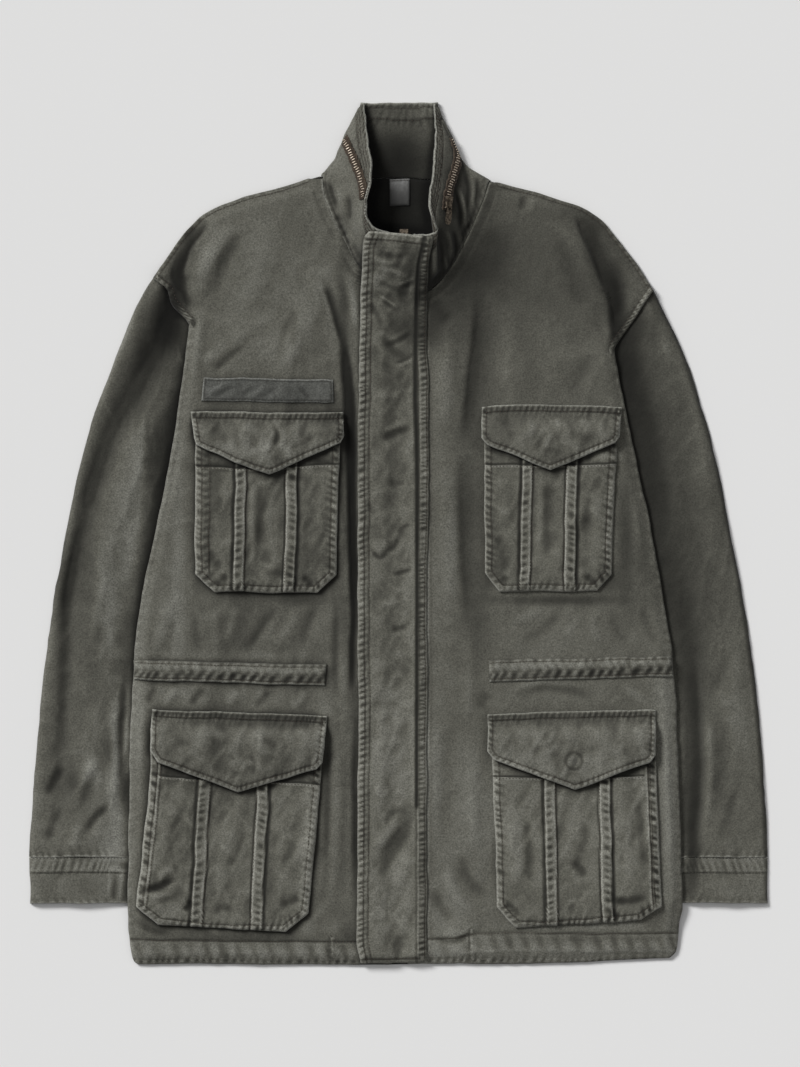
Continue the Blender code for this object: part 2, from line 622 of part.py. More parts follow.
def build_fronts(layers):
    """The two fronts, from the shoulder and neck seam down to the turned hem."""
    upper = [178, 190, 205, 220, 235, 250, 264, 278, 290, 296, 303, 322.5, 336, 349]
    lower = list(np.linspace(374, 926, 20)) + [HEM_TOP_DOWN - 2, HEM_TOP_DOWN, 953, HEM_DOWN]
    for side, neck, centre in (("right", RIGHT_NECK, RIGHT_CENTRE), ("left", LEFT_NECK, LEFT_CENTRE)):
        start = 178.5 if side == "right" else 182.5
        downs = np.array([start] + [d for d in upper + lower if d > start + 2])
        outer = body_outer(side)(downs)
        inner = np.where(downs < neck[-1][0], smooth(neck, downs), centre)
        inward = 1 if side == "right" else -1
        inner = inner - inward * PLAN_GAP * (downs < neck[-1][0])
        shares = np.array([0, 0.045, 0.13, 0.22, 0.31, 0.4, 0.49, 0.58, 0.67, 0.76, 0.84, 0.92, 1.0])
        plan = plan_of_rows(np.stack([outer, downs], axis=1), np.stack([inner, downs], axis=1), shares)
        loft = body_loft(plan, BODY_FOLDS)
        beside = np.exp(-(((plan[..., 0] - inner[:, None]) / NECK_BAND) ** 2))
        above = np.clip((NECK_RISE_END_DOWN - plan[..., 1]) / 20, 0, 1)
        loft = np.clip(loft + NECK_RISE * beside * above, 0, MOST_LOFT)
        loft[0] = loft[0].min()
        under = layers.rest(plan) + loft
        turn = HEM_TURN * (plan[..., 1] >= HEM_TOP_DOWN)
        over = under + BODY_WALL + turn
        layers.lay(plan, over)
        slab("front_" + side, at_height(plan, under), at_height(plan, over), OLIVE)


def collar_grid():
    """Middle surface of the collar band, from the right front end round the back to the left one."""
    rows = fractions(COLLAR_ROWS)

    def flank(seam_path, top_path):
        seam = even_curve(seam_path, COLLAR_FLANK_STATIONS)
        top = even_curve(top_path, COLLAR_FLANK_STATIONS)
        lines = seam[:, None] * (1 - rows[None, :, None]) + top[:, None] * rows[None, :, None]
        share = fractions(COLLAR_FLANK_STATIONS)[:, None]
        lines[..., 2] += COLLAR_BULGE * np.sin(math.pi * rows) * np.sin(math.pi * share) ** 0.7
        return lines

    right = flank(COLLAR_RIGHT_SEAM, COLLAR_RIGHT_TOP)
    left = flank(COLLAR_LEFT_SEAM, COLLAR_LEFT_TOP)
    turn_right, turn_left = right[-1].copy(), left[-1].copy()
    low = COLLAR_WALL / 2
    for turn, outward in ((turn_right, -1), (turn_left, 1)):
        turn[:, 2] = (turn[:, 2] + low) / 2
        turn[:, 0] += outward * COLLAR_TURN_RADIUS
    back_right, back_left = right[-1].copy(), left[-1].copy()
    back_right[:, 2] = back_left[:, 2] = low
    share = fractions(COLLAR_BACK_STATIONS)[:, None, None]
    back = back_right[None] * (1 - share) + back_left[None] * share
    return np.concatenate([right, turn_right[None], back, turn_left[None], left[::-1]])


def surface_normals(grid):
    """Unit normals of a grid of points, towards the side that faces up on the flanks."""
    along, upward = np.gradient(grid, axis=0), np.gradient(grid, axis=1)
    normal = np.cross(along, upward)
    return normal / np.linalg.norm(normal, axis=-1, keepdims=True)


def collar_faces():
    """Inner and outer faces of the collar band and the outer face's normals."""
    grid = collar_grid()
    normal = surface_normals(grid)
    if normal[2, 3, 2] < 0:
        normal = -normal
    upright = normal.copy()
    upright[:, 0] = (0, 0, 1) * np.sign(normal[:, 0, 2:3])
    half = COLLAR_WALL / 2
    return grid - upright * half, grid + upright * half, normal


def build_collar(layers):
    inner, outer, _ = collar_faces()
    for face in (outer, inner):
        layers.lay(face[..., :2], face[..., 2])
    return slab("collar", inner, outer, OLIVE)


class CollarFlanks:
    """The outer face of the collar's two flanks, for what is sewn on them."""

    def __init__(self):
        _, outer, normal = collar_faces()
        count = COLLAR_FLANK_STATIONS
        parts = [(outer[:count], normal[:count]), (outer[-count:], normal[-count:])]
        points, normals = [], []
        for face, lean in parts:
            s, t = np.meshgrid(np.linspace(0, count - 1.001, 120), np.linspace(0, COLLAR_ROWS - 1.001, 60))
            i, j = s.astype(int), t.astype(int)
            u, v = (s - i)[..., None], (t - j)[..., None]
            for source, target in ((face, points), (lean, normals)):
                near = source[i, j] * (1 - v) + source[i, j + 1] * v
                far = source[i + 1, j] * (1 - v) + source[i + 1, j + 1] * v
                target.append((near * (1 - u) + far * u).reshape(-1, 3))
        self.points, self.normals = np.concatenate(points), np.concatenate(normals)

    def at(self, places):
        """Points and unit normals of the outer face over places on the sheet."""
        flat = np.asarray(places, float).reshape(-1, 2)
        near = np.argmin(((self.points[None, :, :2] - flat[:, None]) ** 2).sum(axis=-1), axis=1)
        shape = np.shape(places)[:-1] + (3,)
        normal = self.normals[near]
        normal /= np.linalg.norm(normal, axis=1, keepdims=True)
        return self.points[near].reshape(shape), normal.reshape(shape)


def build_collar_zips(layers):
    """The two stretches of the hood zip that show, sewn on the outer face of the collar's flanks."""
    flanks = CollarFlanks()
    for name, path in (("collar_zip_right", COLLAR_ZIP_RIGHT), ("collar_zip_left", COLLAR_ZIP_LEFT)):
        line = even_curve(path, ZIP_STATIONS)
        run = np.gradient(line, axis=0)
        side = np.stack([-run[:, 1], run[:, 0]], axis=1)
        side /= np.linalg.norm(side, axis=1, keepdims=True)
        across = np.array([-0.5, -0.16, 0.16, 0.5]) * ZIP_WIDTH_IN_PLAN
        points, normals = flanks.at(line[:, None] + side[:, None] * across[None, :, None])
        wall = np.array([TAPE_WALL, TAPE_WALL + ZIP_TEETH_RISE, TAPE_WALL + ZIP_TEETH_RISE, TAPE_WALL])
        under = points + normals * ZIP_CLEAR
        over = under + normals * wall[None, :, None]
        layers.lay(over[..., :2], over[..., 2])
        slab(name, under, over, ZIP_TAPE)


def build_front_zip(layers):
    """The front zip, between the fronts and up between the collar's ends, under the placket."""
    downs = np.concatenate([[233, 250, 268, 288, 305, 326, 350], np.linspace(420, 935, 8)])
    middle = smooth(FRONT_ZIP_MIDDLE, downs)
    height = smooth(FRONT_ZIP_HEIGHT, downs)
    offsets = np.array([-FRONT_ZIP_HALF, -FRONT_TEETH_HALF, FRONT_TEETH_HALF, FRONT_ZIP_HALF])
    plan = np.stack([middle[:, None] + offsets, np.repeat(downs[:, None], 4, axis=1)], axis=-1)
    under = np.repeat(height[:, None], 4, axis=1)
    over = under + TAPE_WALL + np.array([0, ZIP_TEETH_RISE, ZIP_TEETH_RISE, 0])
    layers.lay(plan, over)
    slab("front_zip", at_height(plan, under), at_height(plan, over), ZIP_TAPE)
    across, down = FRONT_SLIDER_PLACE
    half_width, half_length = FRONT_SLIDER_SIZE[0] / 2, FRONT_SLIDER_SIZE[1] / 2
    base = smooth(FRONT_ZIP_HEIGHT, down + half_length) + TAPE_WALL + ZIP_TEETH_RISE + FRONT_SLIDER_CLEAR
    shaper = bmesh.new()
    made = bmesh.ops.create_cube(shaper, size=1.0)
    bmesh.ops.scale(shaper, vec=Vector(FRONT_SLIDER_SIZE) * MM, verts=made["verts"])
    bmesh.ops.bevel(shaper, geom=shaper.edges[:], offset=0.6 * MM, segments=1, affect="EDGES")
    place = Vector(to_world(np.array([across, down, base + FRONT_SLIDER_SIZE[2] / 2])))
    metal_object("front_zip_slider", shaper, Matrix.Translation(place), OLD_BRASS)
    rim = np.array([[[-1, -1], [1, -1]], [[-1, 1], [1, 1]]]) * (half_width, half_length) + (across, down)
    layers.lay(rim, np.full((2, 2), base + FRONT_SLIDER_SIZE[2]))


def metal_object(name, shaper, frame, finish):
    mesh = bpy.data.meshes.new(name)
    bmesh.ops.recalc_face_normals(shaper, faces=shaper.faces)
    shaper.to_mesh(mesh)
    shaper.free()
    mesh.transform(frame)
    mesh.materials.append(finish_of(name, finish))
    mesh.shade_smooth()
    mesh.set_sharp_from_angle(angle=math.radians(35))
    made = bpy.data.objects.new(name, mesh)
    bpy.context.scene.collection.objects.link(made)
    return made


def bumps(plan, places, radius, height):
    """Round swellings over covered snaps."""
    relief = np.zeros(plan.shape[:-1])
    for place in places:
        away = np.linalg.norm(plan - np.array(place, float), axis=-1)
        relief = np.maximum(relief, height * np.clip(1.25 - away / radius, 0, 1))
    return relief


def build_placket(layers):
    """The placket from the hem up over the collar's ends, with its seam strip on the right."""
    stations = np.array(PLACKET_ROWS, float)
    downs = np.concatenate([stations[:3, 1], np.linspace(288, 940, PLACKET_ROW_COUNT), stations[-1:, 1]])
    left = np.stack([smooth(stations[:, [1, 0]], downs), downs], axis=1)
    right = np.stack([smooth(stations[:, [3, 2]], np.maximum(downs, stations[0, 3])), downs], axis=1)
    right[:3, 1] = stations[:3, 3]
    right[-1, 1] = stations[-1, 3]
    plan = plan_of_rows(left, right, np.array([0, 0.14, 0.4, 0.7, 1.0]))
    strip = plan[:, -1:] + np.array([[PLACKET_GROOVE, 0], [PLACKET_STRIP, 0]])
    plan = np.concatenate([plan, strip], axis=1)
    under = layers.rest(plan)
    level = np.clip((PLACKET_BEND_DOWN - plan[..., 1]) / 30, 0, 1)
    under = under * (1 - level) + under.max(axis=1, keepdims=True) * level
    wall = np.full(plan.shape[:-1], PLACKET_WALL)
    wall[:, -2] = PLACKET_GROOVE_WALL
    wall[:, -1] = PLACKET_STRIP_WALL
    wall += bumps(plan, PLACKET_BUMPS, SNAP_RADIUS, SNAP_SWELL) * (plan[..., 0] < 415)
    over = under + wall
    layers.lay(plan, over)
    return slab("placket", at_height(plan, under), at_height(plan, over), OLIVE)


def pocket_profile(pleats, gussets):
    """Rows of (share across, rise) of a pocket bag: low sides, two proud pleats, a proud middle."""
    left_free, left_stitched, right_stitched, right_free = pleats
    step = PLEAT_STEP_SHARE
    left = [(0.0, 0.0), (SIDE_STRIP_SHARE, 0.8), (left_free - step, 0.9), (left_free, 2.6)]
    left += [(left_stitched, 2.5), (left_stitched + step, 1.6), (0.5, 2.2)]
    right = [(1.0, 0.0), (1 - SIDE_STRIP_SHARE, 0.8), (right_free + step, 0.9), (right_free, 2.6)]
    right += [(right_stitched, 2.5), (right_stitched - step, 1.6)]
    if gussets[0]:
        left[1:2] = [(gussets[0] - step, 0.0), (gussets[0], 1.4)]
    if gussets[1]:
        right[1:2] = [(1 - gussets[1] + step, 0.0), (1 - gussets[1], 1.4)]
    return np.array(left + right[::-1]).T


def build_pockets(layers):
    """Pocket bags with two pleats each, whose free edges face outward."""
    for name, pocket in POCKETS.items():
        across, rise = pocket_profile(pocket["pleats"], pocket["gussets"])
        bag = pocket["bag"]
        between = (4, 0) if len(bag) == 3 else (0, 4, 0)
        plan = plan_of_stations(bag, between, across)
        fade = edge_fade(plan, POCKET_EDGE_FADE)
        rise = rise[None] * np.clip(fade * 1.5, POCKET_EDGE_RISE, 1)
        under = layers.rest(plan) + POCKET_LOFT * fade + rise * PLEAT_LIFT_SHARE
        over = under + POCKET_WALL + rise * (1.1 - PLEAT_LIFT_SHARE)
        layers.lay(plan, over)
        slab(name, at_height(plan, under), at_height(plan, over), OLIVE)


def build_flaps(layers):
    """Pointed pocket flaps, held by the stitched band along their top edge."""
    across = np.array([0, 0.04, 0.15, 0.3, 0.42, 0.5, 0.58, 0.7, 0.85, 0.96, 1.0])
    tent = 1 - np.abs(2 * across - 1)
    corner = np.array([0.0, 0.5] + [1.0] * 7 + [0.5, 0.0])
    for name, (rows, drop) in FLAPS.items():
        plan = plan_of_stations(rows, (0, 1), across)
        middle, last = plan[-1].copy(), plan[-1].copy()
        middle[:, 1] += FLAP_CORNER_DROP / 2 + drop * 0.5 * tent * corner
        last[:, 1] += FLAP_CORNER_DROP / 2 + drop * tent * corner + FLAP_CORNER_DROP * corner
        plan = np.concatenate([plan, middle[None], last[None]])
        under = layers.rest(plan) + FLAP_LOFT * edge_fade(plan, FLAP_EDGE_FADE)
        wall = np.full(plan.shape[:-1], FLAP_WALL)
        wall[:2] += FLAP_BAND_RISE
        if name in FLAP_SNAPS:
            wall += bumps(plan, (FLAP_SNAPS[name],), SNAP_RADIUS, SNAP_SWELL)
        over = under + wall
        layers.lay(plan, over)
        slab(name, at_height(plan, under), at_height(plan, over), OLIVE)


def build_casings(layers):
    """Drawcord casings across the waist, gathered into small puckers."""
    columns = 2 * CASING_PUCKERS + 1
    wave = np.arange(columns) % 2 == 0
    swell = np.array([0.3, 1.0, 0.3])[:, None]
    for name, rows in CASINGS.items():
        plan = plan_of_stations(rows, (1,), fractions(columns))
        under = layers.rest(plan)
        over = under + CASING_WALL + swell * (CASING_SWELL + CASING_PUCKER_HEIGHT * wave[None])
        layers.lay(plan, over)
        slab(name, at_height(plan, under), at_height(plan, over), OLIVE_WORN)


def build_name_patch(layers):
    plan = plan_of_stations(NAME_PATCH, (1,), fractions(9))
    lay_sheet(layers, "name_patch", plan, 0.0, PATCH_WALL, OLIVE_PATCH)


def build_neck_label(layers):
    plan = plan_of_stations(NECK_LABEL, (1,), fractions(3))
    lay_sheet(layers, "neck_label", plan, 0.0, LABEL_WALL, LABEL_CLOTH)


def build_snap_cap(layers):
    """The snap cap that shows on the left lower flap, a low dome turned about its middle."""
    corners = np.array([[[-1, -1], [1, -1]], [[-1, 1], [1, 1]]]) * SNAP_CAP_RADIUS
    base = layers.rest(corners + np.array(SNAP_CAP_PLACE)).max()
    shaper = bmesh.new()
    points = [shaper.verts.new((r * SNAP_CAP_RADIUS * MM, 0, h * MM)) for r, h in SNAP_CAP_PROFILE]
    edges = [shaper.edges.new(pair) for pair in zip(points, points[1:])]
    turn = dict(cent=(0, 0, 0), axis=(0, 0, 1), angle=2 * math.pi, steps=SNAP_CAP_SIDES)
    bmesh.ops.spin(shaper, geom=points + edges, use_merge=True, **turn)
    bmesh.ops.remove_doubles(shaper, verts=shaper.verts, dist=1e-6)
    place = Vector(to_world(np.array([*SNAP_CAP_PLACE, base])))
    metal_object("snap_cap", shaper, Matrix.Translation(place), DARK_SNAP)


def ring_plate(name, outer, inner, thick, frame, finish):
    """A flat ring, extruded to both sides of its plane: an outline with a hole, point for point."""
    count = len(outer)
    loops = [(loop, side * thick / 2) for side in (-1, 1) for loop in (outer, inner)]
    points = [(x * MM, y * MM, z * MM) for loop, z in loops for x, y in loop]
    loops = [list(range(k * count, (k + 1) * count)) for k in range(4)]
    outer_low, inner_low, outer_high, inner_high = loops
    faces = quad_strip(outer_low, outer_high, True) + quad_strip(inner_high, inner_low, True)
    faces += quad_strip(outer_high, inner_high, True) + quad_strip(inner_low, outer_low, True)
    mesh = bpy.data.meshes.new(name)
    mesh.from_pydata(points, [], faces)
    shaper = bmesh.new()
    shaper.from_mesh(mesh)
    bmesh.ops.recalc_face_normals(shaper, faces=shaper.faces)
    bpy.data.meshes.remove(mesh)
    return metal_object(name, shaper, frame, finish)


def build_collar_slider():
    """The collar zip's slider, with a bridge over the pin of its pull tab."""
    flanks = CollarFlanks()
    point, normal = flanks.at(SLIDER_PLACE)
    line = even_curve(COLLAR_ZIP_LEFT, 41)
    near = int(np.argmin(np.linalg.norm(line - np.array(SLIDER_PLACE), axis=1)))
    run = line[near - 3] - line[near + 3]
    outward = Vector((normal[0], -normal[1], normal[2])).normalized()
    along = Vector((run[0], -run[1], 0))
    along = (along - outward * along.dot(outward)).normalized()
    side = along.cross(outward)
    origin = Vector(to_world(point)) + outward * SLIDER_CLEAR * MM
    frame = Matrix.Translation(origin) @ Matrix((side, along, outward)).transposed().to_4x4()

    body = bmesh.new()
    made = bmesh.ops.create_cube(body, size=1.0)
    bmesh.ops.scale(body, vec=Vector((SLIDER_WIDTH, SLIDER_LENGTH, SLIDER_THICK)) * MM, verts=made["verts"])
    middle = SLIDER_FRONT_END + SLIDER_LENGTH / 2
    bmesh.ops.translate(body, vec=Vector((0, middle, SLIDER_THICK / 2)) * MM, verts=made["verts"])
    for vert in body.verts:
        if vert.co.y < 0:
            vert.co.x *= SLIDER_NECK_SHARE
    bmesh.ops.bevel(body, geom=body.edges[:], offset=0.5 * MM, segments=1, affect="EDGES")
    slider = metal_object("collar_zip_slider", body, frame, OLD_BRASS)

    # The bridge is drawn in the plane along the zip, as (along, out) from the slider's underside.
    low, clear = SLIDER_THICK - 0.6, SLIDER_THICK + BRIDGE_CLEAR
    top = clear + BRIDGE_THICK
    outer = ((-4.8, low), (-4.5, clear), (-3.2, top), (3.4, top), (4.8, clear), (5.2, low))
    foot, bend = low + 0.3, clear - 0.5
    inner = ((-3.8, foot), (-3.7, bend), (-2.9, clear), (2.8, clear), (4.0, bend), (4.1, foot))
    upright = frame @ Matrix(((0, 0, 1, 0), (1, 0, 0, 0), (0, 1, 0, 0), (0, 0, 0, 1)))
    bridge = ring_plate("bridge", outer, inner, BRIDGE_WIDTH, upright, OLD_BRASS)
    bridge.hide_render = True
    bridge.display_type = "WIRE"
    union = slider.modifiers.new("bridge", "BOOLEAN")
    union.operation = "UNION"
    union.object = bridge

    # The pull tab lies towards the front end of the zip and swings up about its pin.
    half = PULL_WIDTH / 2
    outer = (
        (2.6, 0.55), (2.6, -4.2), (half, -8.0), (half, -15.0), (2.2, -18.2), (0, -PULL_LENGTH),
        (-2.2, -18.2), (-half, -15.0), (-half, -8.0), (-2.6, -4.2), (-2.6, 0.55), (0, 0.55),
    )
    inner = (
        (1.6, -0.55), (1.6, -2.0), (1.6, -3.0), (1.6, -3.8), (0.8, -4.2), (0, -4.2),
        (-0.8, -4.2), (-1.6, -3.8), (-1.6, -3.0), (-1.6, -2.0), (-1.6, -0.55), (0, -0.55),
    )
    pin = Matrix.Translation(Vector((0, PIN_ALONG, SLIDER_THICK + PIN_RISE)) * MM)
    lean = Matrix.Rotation(math.radians(PULL_REST_LEAN), 4, "X")
    pull = ring_plate("collar_zip_pull", outer, inner, PULL_THICK, Matrix.Identity(4), OLD_BRASS)
    pull.matrix_world = frame @ pin @ lean


def main():
    clear_scene()
    layers = Layers()
    build_sleeves(layers)
    build_cuffs(layers)
    build_back(layers)
    build_neck_label(layers)
    build_fronts(layers)
    build_collar(layers)
    build_front_zip(layers)
    build_collar_zips(layers)
    build_placket(layers)
    build_casings(layers)
    build_name_patch(layers)
    build_pockets(layers)
    build_flaps(layers)
    build_snap_cap(layers)
    build_collar_slider()


main()
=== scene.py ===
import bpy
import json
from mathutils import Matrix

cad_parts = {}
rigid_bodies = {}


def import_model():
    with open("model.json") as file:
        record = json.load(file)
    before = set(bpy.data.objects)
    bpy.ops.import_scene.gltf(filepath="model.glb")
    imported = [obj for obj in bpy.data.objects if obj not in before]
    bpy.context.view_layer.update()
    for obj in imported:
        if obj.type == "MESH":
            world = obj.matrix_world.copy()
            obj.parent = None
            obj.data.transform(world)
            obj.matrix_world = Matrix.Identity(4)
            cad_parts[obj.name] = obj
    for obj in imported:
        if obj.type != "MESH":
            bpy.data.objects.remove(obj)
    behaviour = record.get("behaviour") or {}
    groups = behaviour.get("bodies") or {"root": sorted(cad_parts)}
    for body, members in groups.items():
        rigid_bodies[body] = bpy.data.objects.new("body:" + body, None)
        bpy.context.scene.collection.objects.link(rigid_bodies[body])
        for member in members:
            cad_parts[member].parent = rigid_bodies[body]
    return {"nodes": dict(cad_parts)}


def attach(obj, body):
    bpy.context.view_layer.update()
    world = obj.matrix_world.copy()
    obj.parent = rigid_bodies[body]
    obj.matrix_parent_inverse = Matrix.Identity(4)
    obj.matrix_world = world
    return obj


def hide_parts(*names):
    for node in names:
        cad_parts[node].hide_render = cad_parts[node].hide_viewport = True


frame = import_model()

# Places on the layout sheet are (across, down) in millimetres, as in the part's source, and heights are
# millimetres above the surface. Each cloth piece is a thin shell on a fine grid, laid on the pieces under it,
# with creases, seams and puckers in its own sizes. The number kept for each vertex of a shell is above 0
# where washing has paled the cloth or light is painted on it, and below 0 where the dye stayed dark or shade
# is painted on it: in creases, pucker dips, hollows, beside raised edges and in broad painted patches.
"""Looks of a field jacket laid out flat, front up, over its packed cloth solids.

Places on the layout sheet are (across, down) in millimetres, as in the part's source, and
heights are millimetres above the surface. Each cloth piece is a thin shell on a fine grid,
laid on the pieces under it, with creases, seams and puckers in its own sizes. The number
kept in each shell's "wear" attribute is above 0 where washing has paled the cloth and below
0 where it stayed dark.
"""

import json
import logging
import math
from dataclasses import dataclass, field
from enum import Enum

import bmesh
import bpy
import numpy as np
from mathutils import Vector
from mathutils.bvhtree import BVHTree

LOG = logging.getLogger("jacket")

MM = 0.001
SHEET_WIDTH, SHEET_HEIGHT = 800, 1067
MIDDLE_ACROSS, MIDDLE_DOWN = 399.0, 533.0
SEAM_GAP = 0.3
# Half width of the groove that a stitch row presses, and spacing of the points of a seam.
ROW_HALF, PATH_STEP = 0.9, 3.5
COARSE_STEP = 3


class Side(Enum):
    """The wearer's side; the wearer's right lies at the left of the sheet."""

    RIGHT = "right"
    LEFT = "left"

    @property
    def inward(self) -> int:
        """Direction across the sheet from this side towards the middle."""
        return 1 if self is Side.RIGHT else -1


class Thread(Enum):
    """Sewing threads of the jacket."""

    TONAL = "thread_tonal"
    BROWN = "thread_brown"


# Edges of the laid-out body and sleeves, as rows of (down, across).
SHOULDER = {
    Side.RIGHT: (
        (177, 312), (184, 291), (192, 261), (200, 236.5), (208, 216), (216, 202.5), (224, 193.5), (232, 186),
        (250, 172), (278, 152.5),
    ),
    Side.LEFT: (
        (177, 482), (184, 503.5), (192, 533.5), (200, 559.5), (208, 582), (220, 601), (235, 614.5),
        (265, 637), (291, 654),
    ),
}
ARMHOLE = {
    Side.RIGHT: ((278, 153), (291, 168), (303, 171), (322.5, 190)),
    Side.LEFT: ((291, 654), (349, 614)),
}
SIDE_SEAM = {
    Side.RIGHT: (
        (322.5, 190), (339, 188), (392, 181), (476, 167), (538, 154), (582, 144), (660, 134), (700, 132),
        (800, 129), (905, 128), (925, 128), (940, 130), (954, 132), (960, 134.5), (963, 140),
    ),
    Side.LEFT: (
        (349, 614), (392, 622.5), (480, 640), (530, 651.5), (572, 659), (626, 668), (668, 673.5), (700, 676),
        (800, 680), (910, 682.5), (925, 680), (945, 678), (955, 676), (963, 668),
    ),
}
NECK = {
    Side.RIGHT: ((176, 321.5), (190, 323), (213, 331), (231.5, 340), (251, 350.5), (271, 362), (292, 391)),
    Side.LEFT: ((180, 491), (199, 485), (221, 476), (250, 462), (273, 447), (290, 432), (301, 409)),
}
SLEEVE_OUTER = {
    Side.RIGHT: (
        (278, 153), (295, 142), (325, 128), (370, 111), (430, 90), (490, 75), (550, 63), (610, 52),
        (670, 44), (730, 38), (790, 33), (850, 30), (907, 30),
    ),
    Side.LEFT: (
        (291, 654), (310, 663), (355, 684), (400, 699), (460, 716), (520, 728), (580, 740), (640, 749),
        (700, 757), (760, 762), (820, 766), (907, 768),
    ),
}
SLEEVE_HIDDEN = {
    Side.RIGHT: ((340, 292), (400, 285), (500, 255), (600, 228), (700, 203), (800, 180), (907, 164)),
    Side.LEFT: ((360, 506), (400, 513), (500, 545), (600, 571), (700, 596), (800, 617), (907, 634)),
}


# Drafting


def smooth(rows: tuple, at: np.ndarray) -> np.ndarray:
    """Reads a smooth curve that never overshoots its table.

    Args:
        rows: rows of (place, value), places rising.
        at: places to read.

    Returns:
        The values there.
    """
    place, value = np.array(rows, float).T
    step = np.diff(place)
    slope = np.diff(value) / step
    tangent = np.zeros_like(value)
    tangent[0], tangent[-1] = slope[0], slope[-1]
    for k in range(1, len(place) - 1):
        if slope[k - 1] * slope[k] > 0:
            tangent[k] = 2 * slope[k - 1] * slope[k] / (slope[k - 1] + slope[k])
    at = np.clip(np.asarray(at, float), place[0], place[-1])
    k = np.clip(np.searchsorted(place, at, side="right") - 1, 0, len(step) - 1)
    t = (at - place[k]) / step[k]
    rise = (1 + 2 * t) * (1 - t) ** 2 * value[k] + t * t * (3 - 2 * t) * value[k + 1]
    lean = t * (1 - t) ** 2 * tangent[k] - t * t * (1 - t) * tangent[k + 1]
    return rise + step[k] * lean


def joined(parts: tuple, at: np.ndarray) -> np.ndarray:
    """Reads an edge made of smooth parts that may meet in a corner.

    Args:
        parts: tables of (down, across), one after the other.
        at: places down the sheet.

    Returns:
        The places across.
    """
    at = np.asarray(at, float)
    found = smooth(parts[-1], at)
    for part in reversed(parts[:-1]):
        found = np.where(at <= part[-1][0], smooth(part, at), found)
    return found


def body_edge(side: Side) -> tuple:
    """The outer edge tables of one front, from shoulder to hem."""
    return SHOULDER[side], ARMHOLE[side], SIDE_SEAM[side]


def ease(share: np.ndarray) -> np.ndarray:
    """A smooth step from 0 to 1 of a share, clipped at both ends."""
    share = np.clip(share, 0, 1)
    return share * share * (3 - 2 * share)


def bell(offset: np.ndarray, width: float) -> np.ndarray:
    """A bell curve, 1 at no offset and about a third at one width."""
    return np.exp(-((offset / width) ** 2))


def even_curve(points: tuple, count: int) -> np.ndarray:
    """Spaces points evenly on a Catmull-Rom curve.

    Args:
        points: places that the curve passes through.
        count: how many points to return.

    Returns:
        The points as an array.
    """
    points = np.array(points, float)
    ends = np.vstack([2 * points[0] - points[1], points, 2 * points[-1] - points[-2]])
    t = np.linspace(0, 1, 16, endpoint=False)[:, None]
    dense = []
    for a, b, c, d in zip(ends, ends[1:], ends[2:], ends[3:]):
        square, cube = 2 * a - 5 * b + 4 * c - d, 3 * b - a - 3 * c + d
        dense.append(0.5 * (2 * b + (c - a) * t + square * t**2 + cube * t**3))
    return even_line(np.vstack(dense + [points[-1:]]), count)


def even_line(points: np.ndarray, count: int) -> np.ndarray:
    """Spaces points evenly along straight stretches.

    Args:
        points: corners of the line.
        count: how many points to return.

    Returns:
        The points as an array.
    """
    points = np.array(points, float)
    run = run_along(points)
    at = np.linspace(0, run[-1], count)
    return np.stack([np.interp(at, run, points[:, k]) for k in range(points.shape[1])], axis=1)


def line_length(points: np.ndarray) -> float:
    """Length of a line through points."""
    return float(np.linalg.norm(np.diff(np.array(points, float), axis=0), axis=1).sum())


def run_along(points: np.ndarray) -> np.ndarray:
    """Distance of each point of a line from its start, along the line."""
    return np.concatenate([[0], np.cumsum(np.linalg.norm(np.diff(points, axis=0), axis=1))])


def inset(points: np.ndarray, distance: float) -> np.ndarray:
    """Moves an open line sideways.

    Args:
        points: corners of the line.
        distance: how far, to the right of its run as it looks on the sheet.

    Returns:
        The moved line.
    """
    points = np.array(points, float)
    run = np.diff(points, axis=0)
    run /= np.linalg.norm(run, axis=1, keepdims=True)
    aside = np.stack([-run[:, 1], run[:, 0]], axis=1)
    first, last = np.vstack([aside[:1], aside]), np.vstack([aside, aside[-1:]])
    mitre = first + last
    mitre /= np.maximum((mitre * first).sum(axis=1, keepdims=True), 0.4)
    return points + mitre * distance


def axis(length: float, zones: tuple, coarse: float) -> np.ndarray:
    """Spaces grid lines, closer together in some zones.

    Args:
        length: total length in millimetres.
        zones: rows of (centre, reach, spacing).
        coarse: spacing elsewhere.

    Returns:
        Places from 0 to the length, a multiple of COARSE_STEP stretches.
    """
    at = np.linspace(0, length, max(int(length * 8), 20))
    density = np.full_like(at, 1 / coarse)
    for centre, reach, spacing in zones:
        density = np.where(np.abs(at - centre) <= reach, np.maximum(density, 1 / spacing), density)
    total = np.concatenate([[0], np.cumsum((density[1:] + density[:-1]) / 2 * np.diff(at))])
    cells = COARSE_STEP * max(1, int(math.ceil(total[-1] / COARSE_STEP)))
    return np.interp(np.linspace(0, total[-1], cells + 1), total, at)


def lumps(at: np.ndarray, seed: int) -> np.ndarray:
    """Smooth seeded noise from 0 to 1 along a line, with one lump a unit.

    Args:
        at: places along the line.
        seed: seed of the noise.

    Returns:
        The noise at each place.
    """
    table = np.random.default_rng(seed).random(1024)
    low = np.floor(at).astype(int)
    t = ease(at - low)
    return table[low % 1024] * (1 - t) + table[(low + 1) % 1024] * t


def ladder_wave(run: np.ndarray, pitch: float, seed: int) -> np.ndarray:
    """Uneven puckers along a seam, from 0 between them to 1 in their dips.

    Args:
        run: distances along the seam.
        pitch: mean spacing of the puckers.
        seed: seed of their unevenness.

    Returns:
        The depth of the puckers at each distance.
    """
    phase = run / pitch + 1.1 * lumps(run / (2.7 * pitch), seed)
    size = 0.4 + 0.6 * lumps(run / (1.7 * pitch) + 40, seed + 1)
    return (0.5 - 0.5 * np.cos(2 * math.pi * phase)) ** 1.4 * size


